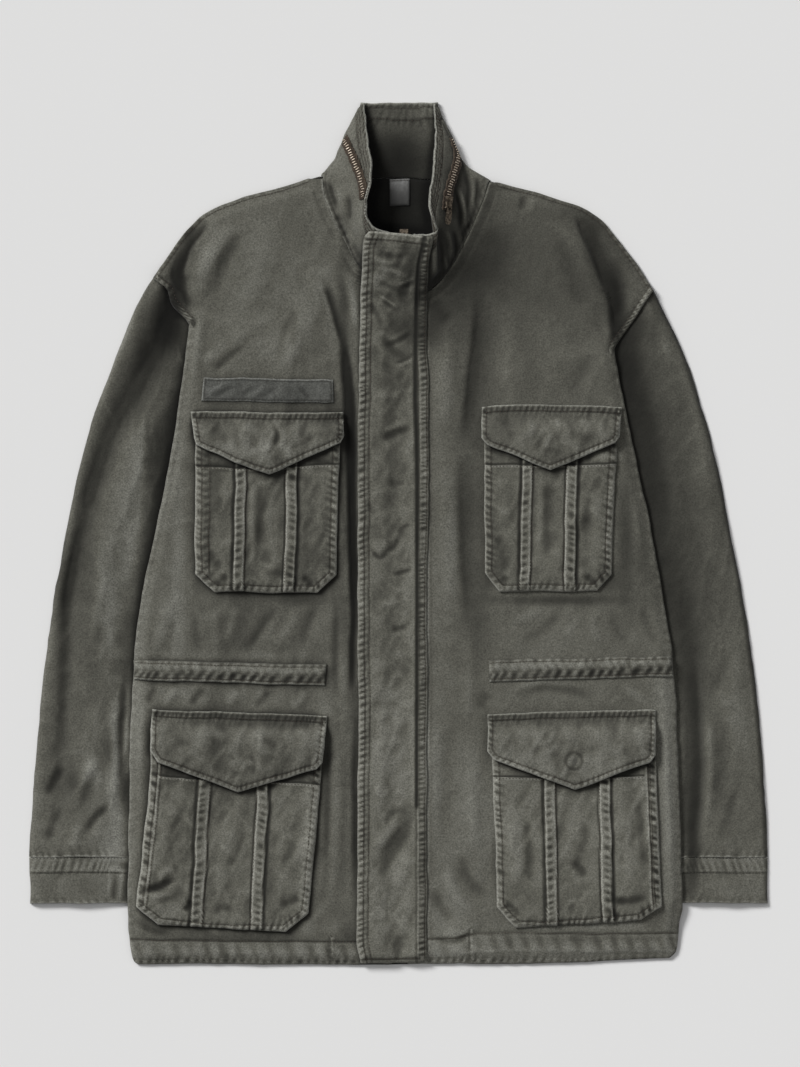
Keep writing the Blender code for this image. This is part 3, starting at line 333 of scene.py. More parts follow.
class Grain:
    """Smooth seeded noise over the sheet, about 0 to 1."""

    def __init__(self, pitch: float, seed: int) -> None:
        """Makes the table for a lump size in millimetres."""
        self.pitch = pitch
        self.table = np.random.default_rng(seed).random((256, 256))

    def at(self, places: np.ndarray) -> np.ndarray:
        """Noise at places (..., 2) of the sheet.

        Args:
            places: places (..., 2).

        Returns:
            The noise at each place.
        """
        spot = np.asarray(places, float) / self.pitch + 64
        low = np.floor(spot).astype(int)
        t = ease(spot - low)
        x, y = low[..., 0] % 255, low[..., 1] % 255
        near = self.table[x, y] * (1 - t[..., 0]) + self.table[x + 1, y] * t[..., 0]
        far = self.table[x, y + 1] * (1 - t[..., 0]) + self.table[x + 1, y + 1] * t[..., 0]
        return near * (1 - t[..., 1]) + far * t[..., 1]


DRIFT = (Grain(27.0, 5), Grain(27.0, 6), Grain(9.0, 7), Grain(9.0, 8))


def drifted(places: np.ndarray) -> np.ndarray:
    """Moves places a little, as cut and washed cloth is never quite straight.

    Args:
        places: places (..., 2).

    Returns:
        The moved places.
    """
    places = np.asarray(places, float)
    across = (DRIFT[0].at(places) - 0.5) * 1.7 + (DRIFT[2].at(places) - 0.5) * 0.7
    down = (DRIFT[1].at(places) - 0.5) * 1.7 + (DRIFT[3].at(places) - 0.5) * 0.7
    return places + np.stack([across, down], axis=-1)


def measure(path: np.ndarray, places: np.ndarray, reach: float) -> tuple:
    """Distance of places to a line.

    Args:
        path: points of the line.
        places: places (n, 2).
        reach: distances beyond this aren't worked out.

    Returns:
        Indices of the near places, their signed distance (positive to the right of the
        line's run as it looks on the sheet) and how far along the line they are.
    """
    low, high = path.min(axis=0) - reach, path.max(axis=0) + reach
    near = np.flatnonzero(((places >= low) & (places <= high)).all(axis=1))
    spots = places[near]
    best = np.full(len(near), 1e9)
    signed, along = np.zeros(len(near)), np.zeros(len(near))
    start = 0.0
    for a, b in zip(path[:-1], path[1:]):
        run = b - a
        length = max(float(np.hypot(*run)), 1e-9)
        run = run / length
        away = spots - a
        t = np.clip(away @ run, 0, length)
        gap = np.hypot(away[:, 0] - t * run[0], away[:, 1] - t * run[1])
        side = run[0] * away[:, 1] - run[1] * away[:, 0]
        closer = gap < best
        best = np.where(closer, gap, best)
        signed = np.where(closer, np.where(side >= 0, gap, -gap), signed)
        along = np.where(closer, start + t, along)
        start += length
    keep = best <= reach
    return near[keep], signed[keep], along[keep]


@dataclass(frozen=True)
class Seam:
    """A finished edge or sewn line: a welt, its stitch rows, and puckers between them.

    The band runs from the path to the stitch row, on the path's right as its run looks on
    the sheet, or on its left where inside is -1.
    """

    path: tuple
    band: float = 6.0
    inside: int = 1
    rise: float = 0.6
    ladder: float = 0.7
    pitch: float = 6.0
    groove: float = 0.5
    second: float = 0.0
    edge: float = 1.0
    slant: float = 0.35
    tail: float = 4.0
    ink: float = 0.6
    seed: int = 1
    thread: Thread = Thread.BROWN
    sewn: bool = True

    def line(self) -> np.ndarray:
        """The path as close points, drifted as its cloth is."""
        return drifted(even_line(self.path, self.count()))

    def count(self) -> int:
        """How many points the line has."""
        return max(int(line_length(self.path) / PATH_STEP), 2) + 1

    def relief(self, plan: np.ndarray) -> tuple:
        """Height, paled edges and painted shade in the pucker dips that the seam adds at the places of a
        plan.

        Args:
            plan: places (..., 2).

        Returns:
            The height and the wear at each place.
        """
        places = plan.reshape(-1, 2)
        height, wear = np.zeros(len(places)), np.zeros(len(places))
        reach = self.band + max(self.second, self.tail) + 3
        near, signed, along = measure(self.line(), places, reach)
        d = signed * self.inside
        inner = np.maximum(d, -1.2)
        within = ease((self.band + 0.4 - inner) / 1.0) * ease((inner + 1.2) / 1.2)
        wave = ladder_wave(along + self.slant * d, self.pitch, self.seed)
        dip = bell(inner - 0.62 * self.band, 0.42 * self.band)
        after = bell(inner - self.band, self.tail) * (inner > self.band)
        welt = self.rise * within * (1 - 0.25 * np.cos(math.pi * np.clip(inner / self.band, 0, 1)))
        dips = wave * (dip * within + 0.45 * after)
        row = bell(d - self.band, ROW_HALF) * self.sewn
        value = welt - self.ladder * dips - self.groove * row
        tone = 1.35 * self.edge * bell(d, 1.1) + 0.25 * self.rise * within
        # Painted shade in the dips of the puckers and painted light on the cloth between them.
        tone += -1.35 * self.ladder * dips + 0.4 * self.ladder * within * (1 - wave) - self.ink * row
        if self.second:
            extra = bell(d - self.band - self.second, ROW_HALF)
            value -= self.groove * extra * 0.8
            tone -= 0.7 * self.ink * extra
        value *= d > -1.3
        tone *= d > -1.3
        height[near], wear[near] = value, tone
        return height.reshape(plan.shape[:-1]), wear.reshape(plan.shape[:-1])

    def rows(self) -> list:
        """The stitch rows as drifted lines on the sheet.

        Returns:
            One line (n, 2) for each row.
        """
        if not self.sewn:
            return []
        offsets = [self.band] + ([self.band + self.second] if self.second else [])
        return [drifted(even_line(inset(self.path, o * self.inside), self.count())) for o in offsets]


def puckers(path: tuple, **sizes: object) -> Seam:
    """Puckers along a line that has no stitch row of its own."""
    return Seam(path, groove=0.0, sewn=False, **sizes)


def fold_relief(table: tuple, plan: np.ndarray) -> tuple:
    """Height of a table of creases, with painted shade in their dips and paler ridges.

    Args:
        table: rows of (across, down) of start, middle and end, half width, height and, where
            one side is steeper, lean.
        plan: places (..., 2).

    Returns:
        The height and the wear at each place.
    """
    places = plan.reshape(-1, 2)
    height, wear = np.zeros(len(places)), np.zeros(len(places))
    for x0, y0, x1, y1, x2, y2, half_width, rise, *rest in table:
        lean = rest[0] if rest else 0.0
        line = drifted(even_curve(((x0, y0), (x1, y1), (x2, y2)), 13))
        near, d, along = measure(line, places, 3.4 * half_width)
        total = line_length(line)
        taper = ease(along / (0.34 * total)) * ease((total - along) / (0.34 * total))
        width = half_width * np.maximum(1 + 0.45 * lean * np.sign(d), 0.22)
        bump = bell(d, width) * taper
        height[near] += rise * bump
        # Painted shade along the dip of a crease, paler along a ridge.
        tone = max(-1.0, 0.17 * rise) if rise < 0 else min(0.3, 0.07 * rise)
        wear[near] += tone * bell(d, 1.45 * width) * taper
    return height.reshape(plan.shape[:-1]), wear.reshape(plan.shape[:-1])


def soften(values: np.ndarray, rounds: int) -> np.ndarray:
    """Averages a grid of values with its neighbours, a number of rounds.

    Args:
        values: the grid.
        rounds: how many rounds.

    Returns:
        The averaged grid.
    """
    for _ in range(rounds):
        padded = np.pad(values, 1, mode="edge")
        near = padded[:-2, 1:-1] + padded[2:, 1:-1] + padded[1:-1, :-2] + padded[1:-1, 2:]
        values = 0.5 * values + 0.125 * near
    return values


class Bench:
    """Height of the top of what is laid out so far, on a raster of the layout sheet."""

    spacing = 0.8
    most_steps = 12

    def __init__(self) -> None:
        """Starts with the bare surface."""
        self.top = np.full((SHEET_HEIGHT, SHEET_WIDTH), -SEAM_GAP)

    def lay(self, plan: np.ndarray, over: np.ndarray) -> None:
        """Adds a piece's top.

        Args:
            plan: places (rows, columns, 2).
            over: heights of the top at those places.
        """
        spots, heights = [], []
        longest = np.linalg.norm(np.diff(plan, axis=0), axis=-1).max()
        longest = max(longest, np.linalg.norm(np.diff(plan, axis=1), axis=-1).max())
        steps = min(int(longest / self.spacing) + 1, self.most_steps)
        for i in range(steps):
            for j in range(steps):
                u, v = i / steps, j / steps
                for source, target in ((plan, spots), (over[..., None], heights)):
                    near = source[:-1, :-1] * (1 - u) + source[1:, :-1] * u
                    far = source[:-1, 1:] * (1 - u) + source[1:, 1:] * u
                    target.append((near * (1 - v) + far * v).reshape(-1, source.shape[-1]))
        spots, heights = np.concatenate(spots), np.concatenate(heights)[:, 0]
        x = np.clip(np.round(spots[:, 0]).astype(int), 0, SHEET_WIDTH - 1)
        y = np.clip(np.round(spots[:, 1]).astype(int), 0, SHEET_HEIGHT - 1)
        np.maximum.at(self.top, (y, x), heights)

    def ground(self, plan: np.ndarray) -> np.ndarray:
        """Lowest heights for the next piece at the places of its plan.

        Args:
            plan: places (..., 2).

        Returns:
            The height at each place.
        """
        padded = np.pad(self.top, 1, mode="edge")
        near = [padded[i : i + SHEET_HEIGHT, j : j + SHEET_WIDTH] for i in range(3) for j in range(3)]
        return self.read(np.max(near, axis=0) + SEAM_GAP, plan)

    def read(self, raster: np.ndarray, plan: np.ndarray) -> np.ndarray:
        """Values of a raster of the sheet at the places of a plan.

        Args:
            raster: values of the sheet.
            plan: places (..., 2).

        Returns:
            The value at each place.
        """
        x = np.clip(plan[..., 0], 0, SHEET_WIDTH - 1.001)
        y = np.clip(plan[..., 1], 0, SHEET_HEIGHT - 1.001)
        i, j = x.astype(int), y.astype(int)
        u, v = x - i, y - j
        high = raster[j, i] * (1 - u) * (1 - v) + raster[j, i + 1] * u * (1 - v)
        return high + raster[j + 1, i] * (1 - u) * v + raster[j + 1, i + 1] * u * v

    def around(self) -> np.ndarray:
        """Mean height near each place of the finished layout.

        Returns:
            The heights as a raster of the sheet.
        """
        top = np.maximum(self.top, 0)
        close = soften(top, 18)
        return 0.6 * close + 0.4 * soften(close, 90)

    def drape(self, plan: np.ndarray, rounds: int) -> np.ndarray:
        """Underside of a piece that bridges the steps under it, at the places of its plan.

        Args:
            plan: places (..., 2).
            rounds: rounds of softening.

        Returns:
            The height at each place.
        """
        ground = self.ground(plan)
        height = ground
        for _ in range(rounds):
            height = np.maximum(ground, soften(height, 2))
        return height


def to_world(points: np.ndarray) -> np.ndarray:
    """Sheet millimetres (across, down, height) to metres in the jacket's own frame.

    Args:
        points: sheet points (..., 3).

    Returns:
        The points in metres.
    """
    points = np.asarray(points, float)
    across, down, height = points[..., 0], points[..., 1], points[..., 2]
    return np.stack([(across - MIDDLE_ACROSS) * MM, (MIDDLE_DOWN - down) * MM, height * MM], axis=-1)


def raised(plan: np.ndarray, height: np.ndarray) -> np.ndarray:
    """Places with a height joined to them."""
    return np.concatenate([plan, np.broadcast_to(height, plan.shape[:-1])[..., None]], axis=-1)


def station_plan(stations: tuple, down_zones: tuple, across_zones: tuple, coarse: float) -> np.ndarray:
    """Plans a piece through rows of (left across, left down, right across, right down).

    Args:
        stations: the rows.
        down_zones: zones of closer rows, from the first row down.
        across_zones: zones of closer columns; a negative centre counts from the right end.
        coarse: spacing elsewhere.

    Returns:
        Drifted places (rows, columns, 2).
    """
    stations = np.array(stations, float)
    middles = (stations[:, :2] + stations[:, 2:]) / 2
    run = run_along(middles)
    width = float(np.linalg.norm(stations[:, 2:] - stations[:, :2], axis=1).max())
    downs = axis(run[-1], tuple((run[-1] + c if c < 0 else c, r, s) for c, r, s in down_zones), coarse)
    across = axis(width, tuple((width + c if c < 0 else c, r, s) for c, r, s in across_zones), coarse) / width
    rows = np.stack([np.interp(downs, run, stations[:, k]) for k in range(4)], axis=1)
    plan = rows[:, None, :2] * (1 - across[None, :, None]) + rows[:, None, 2:] * across[None, :, None]
    return drifted(plan)


@dataclass
class Shell:
    """A laid piece of cloth: its places, its two faces, and its paling by washing with its painted light and
    shade.
    """

    name: str
    plan: np.ndarray
    under: np.ndarray
    over: np.ndarray
    wear: np.ndarray


def worn_and_shaded_by_form(over: np.ndarray, gain: float = 0.5, rounds: int = 9) -> np.ndarray:
    """Paling of ridges from washing and painted light, and painted shade in dips, from the heights of a fine
    grid.
    """
    return np.clip((over - soften(over, rounds)) * gain, -0.45, 0.4)


def soft_wear_and_shade(wear: np.ndarray) -> np.ndarray:
    """Keeps the paling and painted shade in range, softly towards the dark end."""
    return np.where(wear < 0, -3.0 * (1 - np.exp(np.minimum(wear, 0) * 0.35)), np.minimum(wear, 1.5))


def rounded(over: np.ndarray, under: np.ndarray, sides: str = "tblr") -> np.ndarray:
    """Lowers a top towards its underside at the named sides, as a turned edge is round.

    Args:
        over: heights of the top.
        under: heights of the underside.
        sides: any of t, b, l and r, for the first and last row and column.

    Returns:
        The rounded top.
    """
    share = np.ones_like(over)
    for rank, amount in ((0, 0.35), (1, 0.86)):
        if "t" in sides:
            share[rank] = np.minimum(share[rank], amount)
        if "b" in sides:
            share[-1 - rank] = np.minimum(share[-1 - rank], amount)
        if "l" in sides:
            share[:, rank] = np.minimum(share[:, rank], amount)
        if "r" in sides:
            share[:, -1 - rank] = np.minimum(share[:, -1 - rank], amount)
    return under + (over - under) * share


# Meshes


def make_object(
    name: str, points: np.ndarray, faces: np.ndarray, wear: np.ndarray | None = None
) -> bpy.types.Object:
    """Makes a smooth triangle mesh object.

    Args:
        name: name of the piece.
        points: places in metres (n, 3).
        faces: vertex numbers (m, 3).
        wear: the wear of each vertex.

    Returns:
        The object, linked to the scene.
    """
    mesh = bpy.data.meshes.new(name)
    mesh.vertices.add(len(points))
    mesh.vertices.foreach_set("co", np.ascontiguousarray(points, dtype=np.float32).ravel())
    mesh.loops.add(len(faces) * 3)
    mesh.loops.foreach_set("vertex_index", np.ascontiguousarray(faces, dtype=np.int32).ravel())
    mesh.polygons.add(len(faces))
    mesh.polygons.foreach_set("loop_start", np.arange(0, len(faces) * 3, 3, dtype=np.int32))
    mesh.update(calc_edges=True)
    if wear is not None:
        layer = mesh.attributes.new("wear", "FLOAT", "POINT")
        layer.data.foreach_set("value", np.ascontiguousarray(wear, dtype=np.float32))
    mesh.shade_smooth()
    made = bpy.data.objects.new(name, mesh)
    bpy.context.scene.collection.objects.link(made)
    return made


def turn_outward(made: bpy.types.Object) -> None:
    """Turns the faces of a closed mesh outwards.

    Args:
        made: the object.
    """
    bm = bmesh.new()
    bm.from_mesh(made.data)
    bmesh.ops.recalc_face_normals(bm, faces=bm.faces)
    bm.to_mesh(made.data)
    bm.free()


def grid_faces(rows: int, columns: int, start: int, flip: bool) -> np.ndarray:
    """Triangles of a grid of vertices numbered row by row from start.

    Args:
        rows: rows of the grid.
        columns: its columns.
        start: number of its first vertex.
        flip: whether the triangles face the other way.

    Returns:
        Vertex numbers (n, 3).
    """
    number = start + np.arange(rows * columns).reshape(rows, columns)
    a, b = number[:-1, :-1].ravel(), number[:-1, 1:].ravel()
    c, d = number[1:, 1:].ravel(), number[1:, :-1].ravel()
    if flip:
        return np.concatenate([np.stack([a, b, c], 1), np.stack([a, c, d], 1)])
    return np.concatenate([np.stack([a, c, b], 1), np.stack([a, d, c], 1)])


def border(number: np.ndarray) -> np.ndarray:
    """Vertex numbers round a grid, in order."""
    return np.concatenate([number[0, :-1], number[:-1, -1], number[-1, :0:-1], number[:0:-1, 0]])


def rim_faces(fine: np.ndarray, coarse: np.ndarray, step: int) -> np.ndarray:
    """Triangles between a fine closed loop and one with every step-th of its points.

    Args:
        fine: vertex numbers of the fine loop.
        coarse: vertex numbers of the coarse loop.
        step: how many fine points there are for each coarse one.

    Returns:
        Vertex numbers (n, 3).
    """
    faces = []
    count = len(fine)
    for k in range(len(coarse)):
        here, after = coarse[k], coarse[(k + 1) % len(coarse)]
        loop = [fine[(k * step + j) % count] for j in range(step + 1)]
        half = step // 2
        faces += [(here, loop[j + 1], loop[j]) for j in range(half + 1)]
        faces.append((here, after, loop[half + 1]))
        faces += [(after, loop[j + 1], loop[j]) for j in range(half + 1, step)]
    return np.array(faces)


def shell_object(shell: Shell) -> bpy.types.Object:
    """Makes a closed thin shell: a fine top, a coarser underside and a rim.

    Args:
        shell: the laid cloth.

    Returns:
        The object.
    """
    rows, columns = shell.over.shape
    low_plan = shell.plan[::COARSE_STEP, ::COARSE_STEP]
    low = shell.under[::COARSE_STEP, ::COARSE_STEP]
    top = raised(shell.plan, shell.over).reshape(-1, 3)
    bottom = raised(low_plan, low).reshape(-1, 3)
    top_number = np.arange(rows * columns).reshape(rows, columns)
    low_number = rows * columns + np.arange(low.size).reshape(low.shape)
    faces = np.concatenate([
        grid_faces(rows, columns, 0, False),
        grid_faces(*low.shape, rows * columns, True),
        rim_faces(border(top_number), border(low_number), COARSE_STEP)[:, ::-1],
    ])
    wear = np.concatenate([soft_wear_and_shade(shell.wear).ravel(), np.full(low.size, -0.25)])
    return make_object(shell.name, to_world(np.concatenate([top, bottom])), faces, wear)


def tube_object(
    name: str, outer: np.ndarray, inner: np.ndarray, wear: np.ndarray, step: int
) -> bpy.types.Object:
    """Makes an open-ended tube with a fine outer face and an inner face of fewer rings.

    Args:
        name: name of the piece.
        outer: rings of sheet points (rings, around, 3).
        inner: the inner face's rings at the same places.
        wear: wear of the outer points.
        step: the inner face keeps every step-th ring and the last.

    Returns:
        The object.
    """
    rings, around = outer.shape[:2]
    keep = sorted(set(list(range(0, rings, step)) + [rings - 1]))
    inner = inner[keep]
    first = np.arange(rings * around).reshape(rings, around)
    second = rings * around + np.arange(inner.shape[0] * around).reshape(-1, around)
    faces = []
    for number, flip in ((first, False), (second, True)):
        closed = np.concatenate([number, number[:, :1]], axis=1)
        a, b = closed[:-1, :-1].ravel(), closed[:-1, 1:].ravel()
        c, d = closed[1:, 1:].ravel(), closed[1:, :-1].ravel()
        halves = [np.stack([a, c, b], 1), np.stack([a, d, c], 1)]
        faces += [h[:, ::-1] for h in halves] if flip else halves
    for one, two, flip in ((first[0], second[0], True), (first[-1], second[-1], False)):
        one, two = np.append(one, one[0]), np.append(two, two[0])
        halves = [
            np.stack([one[:-1], two[1:], one[1:]], 1),
            np.stack([one[:-1], two[:-1], two[1:]], 1),
        ]
        faces += [h[:, ::-1] for h in halves] if flip else halves
    points = np.concatenate([outer.reshape(-1, 3), inner.reshape(-1, 3)])
    worn_and_shade = np.concatenate([soft_wear_and_shade(wear).ravel(), np.full(inner.shape[0] * around, -0.4)])
    return make_object(name, to_world(points), np.concatenate(faces), worn_and_shade)


@dataclass
class Needle:
    """Sews rows of single stitches on finished pieces and keeps them by thread."""

    length: float = 2.5
    pitch: float = 3.3
    width: float = 0.72
    proud: float = 0.16
    # Height that the needle starts from, and the longest stitch as a multiple of its length.
    above: float = 60.0
    longest: float = 2.2
    points: dict = field(default_factory=dict)
    faces: dict = field(default_factory=dict)

    def sew(self, owner: str, tree: BVHTree, line: np.ndarray, thread: Thread) -> None:
        """Sews along a line on the sheet, on the top of a piece.

        Args:
            owner: name of the sub-assembly that the stitches belong to.
            tree: the piece's faces.
            line: places (n, 2) on the sheet.
            thread: which thread.
        """
        total = line_length(line)
        count = int(total / self.pitch)
        if count < 1:
            return
        dense = even_line(line, count * 4 + 1)
        key = (owner, thread)
        points, faces = self.points.setdefault(key, []), self.faces.setdefault(key, [])
        for k in range(count):
            ends = []
            for spot in (dense[4 * k], dense[min(4 * k + 3, len(dense) - 1)]):
                place = to_world(np.array([spot[0], spot[1], self.above]))
                hit, normal, _, _ = tree.ray_cast(Vector(place), Vector((0, 0, -1)))
                if hit is None:
                    break
                ends.append((hit, normal))
            if len(ends) < 2 or (ends[0][0] - ends[1][0]).length > self.longest * self.length * MM:
                continue
            self._stitch(points, faces, ends)

    def _stitch(self, points: list, faces: list, ends: list) -> None:
        """Adds one stitch, pointed at both ends, between two places on the cloth.

        Args:
            points: the vertices so far.
            faces: the faces so far.
            ends: place and normal of each end.
        """
        (a, up_a), (b, up_b) = ends
        up = (up_a + up_b).normalized()
        if up.z < 0:
            up = -up
        run = (b - a).normalized()
        aside = run.cross(up).normalized() * self.width * MM / 2
        lift = up * self.proud * MM
        middle = (a + b) / 2 + lift
        base = len(points)
        points += [a - lift * 0.4, b - lift * 0.4, middle + aside, middle - aside]
        points += [middle + up * self.width * MM / 2, middle - up * self.width * MM]
        for p, q in ((2, 4), (4, 3), (3, 5), (5, 2)):
            faces += [(base, base + p, base + q), (base + 1, base + q, base + p)]

    def finish(self, finishes: dict) -> list:
        """Makes one mesh for each owner and thread.

        Args:
            finishes: materials by thread.

        Returns:
            The stitch objects.
        """
        made = []
        for (owner, thread), points in self.points.items():
            if not points:
                continue
            places = np.array([tuple(p) for p in points])
            made.append(make_object(f"{owner}_{thread.value}", places, np.array(self.faces[(owner, thread)])))
            made[-1].data.materials.append(finishes[thread])
        return made


def tree_of(made: bpy.types.Object) -> BVHTree:
    """The faces of an object for ray casts.

    Args:
        made: the object.

    Returns:
        Its faces as a tree.
    """
    mesh = made.data
    points = np.empty(len(mesh.vertices) * 3, np.float32)
    mesh.vertices.foreach_get("co", points)
    corners = np.empty(len(mesh.loops), np.int32)
    mesh.loops.foreach_get("vertex_index", corners)
    return BVHTree.FromPolygons(points.reshape(-1, 3).tolist(), corners.reshape(-1, 3).tolist())


# Finishes


def start_material(name: str) -> tuple:
    """Starts a material.

    Args:
        name: name of the material.

    Returns:
        The material, the short calls for its tree and its Principled BSDF.
    """
    made = bpy.data.materials.new(name)
    made.use_nodes = True
    return made, Nodes(made.node_tree), made.node_tree.nodes["Principled BSDF"]


class Nodes:
    """Short calls for making and joining the nodes of one tree."""

    def __init__(self, tree: bpy.types.NodeTree) -> None:
        """Keeps the tree."""
        self.tree = tree

    def add(self, kind: str, **settings: object) -> bpy.types.Node:
        """Adds a node of a ShaderNode kind with its settings.

        Args:
            kind: the kind, without its prefix.
            settings: the node's settings.

        Returns:
            The node.
        """
        node = self.tree.nodes.new(f"ShaderNode{kind}")
        for name, value in settings.items():
            setattr(node, name, value)
        return node

    def join(self, source: object, target: object) -> None:
        """Joins an output socket to an input socket."""
        self.tree.links.new(source, target)

    def fill(self, target: object, value: object) -> None:
        """Joins a socket, or sets a plain value, on an input.

        Args:
            target: the input.
            value: a socket or a plain value.
        """
        if isinstance(value, bpy.types.NodeSocket):
            self.join(value, target)
        else:
            target.default_value = value

    def math(self, operation: str, *values: object) -> object:
        """Adds a Math node and returns its output.

        Args:
            operation: what it does.
            values: its inputs.

        Returns:
            Its output.
        """
        node = self.add("Math", operation=operation)
        for k, value in enumerate(values):
            self.fill(node.inputs[k], value)
        return node.outputs[0]

    def fill_all(self, node: bpy.types.Node, values: dict) -> None:
        """Joins or sets several inputs of a node."""
        for name, value in values.items():
            self.fill(node.inputs[name], value)

    def group(self, tree: bpy.types.NodeTree, values: dict) -> bpy.types.NodeOutputs:
        """Places a shared group with its values and returns its outputs.

        Args:
            tree: the group.
            values: its inputs by name.

        Returns:
            Its outputs by name.
        """
        node = self.add("Group", node_tree=tree)
        self.fill_all(node, values)
        return node.outputs

    def bump(self, height: object, strength: float, distance: float, under: object = None) -> object:
        """Adds a Bump node, over the normal of another one, and returns its normal.

        Args:
            height: the height.
            strength: its strength.
            distance: its size in metres.
            under: the normal that it adds to.

        Returns:
            The normal.
        """
        node = self.add("Bump")
        self.fill_all(node, {"Height": height, "Strength": strength, "Distance": distance})
        if under is not None:
            self.join(under, node.inputs["Normal"])
        return node.outputs["Normal"]

    def spread(self, value: object, low: float, high: float, to_low: object, to_high: object) -> object:
        """Adds a clamped Map Range node and returns its output.

        Args:
            value: the value.
            low: start of its range.
            high: end of its range.
            to_low: result at the start.
            to_high: result at the end.

        Returns:
            Its output.
        """
        node = self.add("MapRange")
        self.fill_all(node, {
            "Value": value, "From Min": low, "From Max": high, "To Min": to_low, "To Max": to_high,
        })
        return node.outputs["Result"]

    def blend(self, share: object, first: object, second: object, way: str = "MIX") -> object:
        """Adds a colour Mix node and returns its output.

        Args:
            share: share of the second colour.
            first: the first colour.
            second: the second colour.
            way: how they blend.

        Returns:
            Its output.
        """
        node = self.add("Mix", data_type="RGBA", blend_type=way)
        self.fill(node.inputs[0], share)
        self.fill(node.inputs[6], first)
        self.fill(node.inputs[7], second)
        return node.outputs[2]

    def noise(self, place: object, scale: object, detail: float = 2.0, rough: float = 0.5) -> object:
        """Adds a Noise Texture and returns its value.

        Args:
            place: the coordinates.
            scale: lumps a metre.
            detail: octaves of detail.
            rough: strength of the detail.

        Returns:
            Its value.
        """
        node = self.add("TexNoise")
        self.fill_all(node, {"Vector": place, "Scale": scale, "Detail": detail, "Roughness": rough})
        return node.outputs["Fac"]


def start_group(name: str, inputs: dict, outputs: dict) -> tuple:
    """Starts a node group with named sockets.

    Args:
        name: name of the group.
        inputs: kind and default value, or None, of each input by name.
        outputs: kind of each output by name.

    Returns:
        The short calls for its tree, its inputs by name and its outputs by name.
    """
    group = bpy.data.node_groups.new(name, "ShaderNodeTree")
    for title, (kind, value) in inputs.items():
        made = group.interface.new_socket(name=title, in_out="INPUT", socket_type=f"NodeSocket{kind}")
        if value is not None:
            made.default_value = value
    for title, kind in outputs.items():
        group.interface.new_socket(name=title, in_out="OUTPUT", socket_type=f"NodeSocket{kind}")
    given, output = group.nodes.new("NodeGroupInput"), group.nodes.new("NodeGroupOutput")
    return Nodes(group), given.outputs, output.inputs


def twill_group() -> bpy.types.NodeTree:
    """Builds the diagonal ribs of twill, with threads that vary a little.

    Returns:
        A group from Place, Turns a metre and Slub to Height.
    """
    n, given, output = start_group(
        "twill_weave",
        {"Place": ("Vector", None), "Turns": ("Float", 1100.0), "Slub": ("Float", 0.5)},
        {"Height": "Float"},
    )
    place, turns = given["Place"], given["Turns"]
    parts = n.add("SeparateXYZ")
    n.join(place, parts.inputs[0])
    across, up = parts.outputs[0], parts.outputs[1]
    wander = n.math("MULTIPLY", n.noise(place, 90.0), 7.0)
    lean = n.math("ADD", n.math("MULTIPLY", across, 0.82), n.math("MULTIPLY", up, -0.57))
    rib = n.math("SINE", n.math("MULTIPLY_ADD", lean, n.math("MULTIPLY", turns, 6.2832), wander))
    pick = n.math("SINE", n.math("MULTIPLY", up, n.math("MULTIPLY", turns, 9.0)))
    slub = n.noise(place, 1400.0, 1.0)
    weave = n.math("ADD", n.math("MULTIPLY", rib, 0.42), n.math("MULTIPLY", pick, 0.14))
    n.join(n.math("MULTIPLY_ADD", slub, given["Slub"], weave), output["Height"])
    return n.tree


def wash_group() -> bpy.types.NodeTree:
    """Builds the colour of dyed cloth after washing, paler where washing paled it or light is painted, and
    darker towards the deep colour where the dye stayed dark or shade is painted.

    Returns:
        A group from Place, Wear, Base, Pale, Deep and Fleck to Color and Worn.
    """
    n, given, output = start_group(
        "garment_wash",
        {"Place": ("Vector", None), "WearShade": ("Float", 0.0), "Base": ("Color", None), "Pale": ("Color", None),
         "Deep": ("Color", None), "Fleck": ("Float", 1.0)},
        {"Color": "Color", "Worn": "Float"},
    )
    place = given["Place"]
    broad, patchy = n.noise(place, 9.0, 2.0), n.noise(place, 60.0, 3.0, 0.65)
    fine = n.noise(place, 640.0, 3.0, 0.7)
    drift = n.math("ADD", n.spread(broad, 0.3, 0.7, -0.10, 0.10), n.spread(patchy, 0.25, 0.75, -0.13, 0.13))
    torn = n.math("MULTIPLY", given["WearShade"], n.spread(fine, 0.2, 0.8, 0.72, 1.22))
    total = n.math("ADD", torn, drift)
    pale = n.spread(total, 0.0, 1.25, 0.0, 1.0)
    # Below 0 the colour goes towards the deep colour: darker dye and painted shade.
    fade = n.math("EXPONENT", n.math("MULTIPLY", n.math("MINIMUM", total, 0.0), 1.2))
    colour = n.blend(pale, given["Base"], given["Pale"])
    colour = n.blend(n.math("SUBTRACT", 1.0, fade), colour, given["Deep"])
    speck = n.math("MULTIPLY_ADD", n.spread(fine, 0.25, 0.75, -0.50, 0.60), given["Fleck"], 1.0)
    shade = n.add("CombineColor")
    for k in range(3):
        n.join(speck, shade.inputs[k])
    n.join(n.blend(1.0, colour, shade.outputs[0], "MULTIPLY"), output["Color"])
    n.join(pale, output["Worn"])
    return n.tree


def crumple_group() -> bpy.types.NodeTree:
    """Builds the small soft unevenness of washed cloth.

    Returns:
        A group from Place to Height.
    """
    n, given, output = start_group("washed_crumple", {"Place": ("Vector", None)}, {"Height": "Float"})
    wide, tight = n.noise(given["Place"], 34.0, 3.0, 0.55), n.noise(given["Place"], 150.0, 2.0, 0.5)
    n.join(n.math("MULTIPLY_ADD", tight, 0.22, wide), output["Height"])
    return n.tree


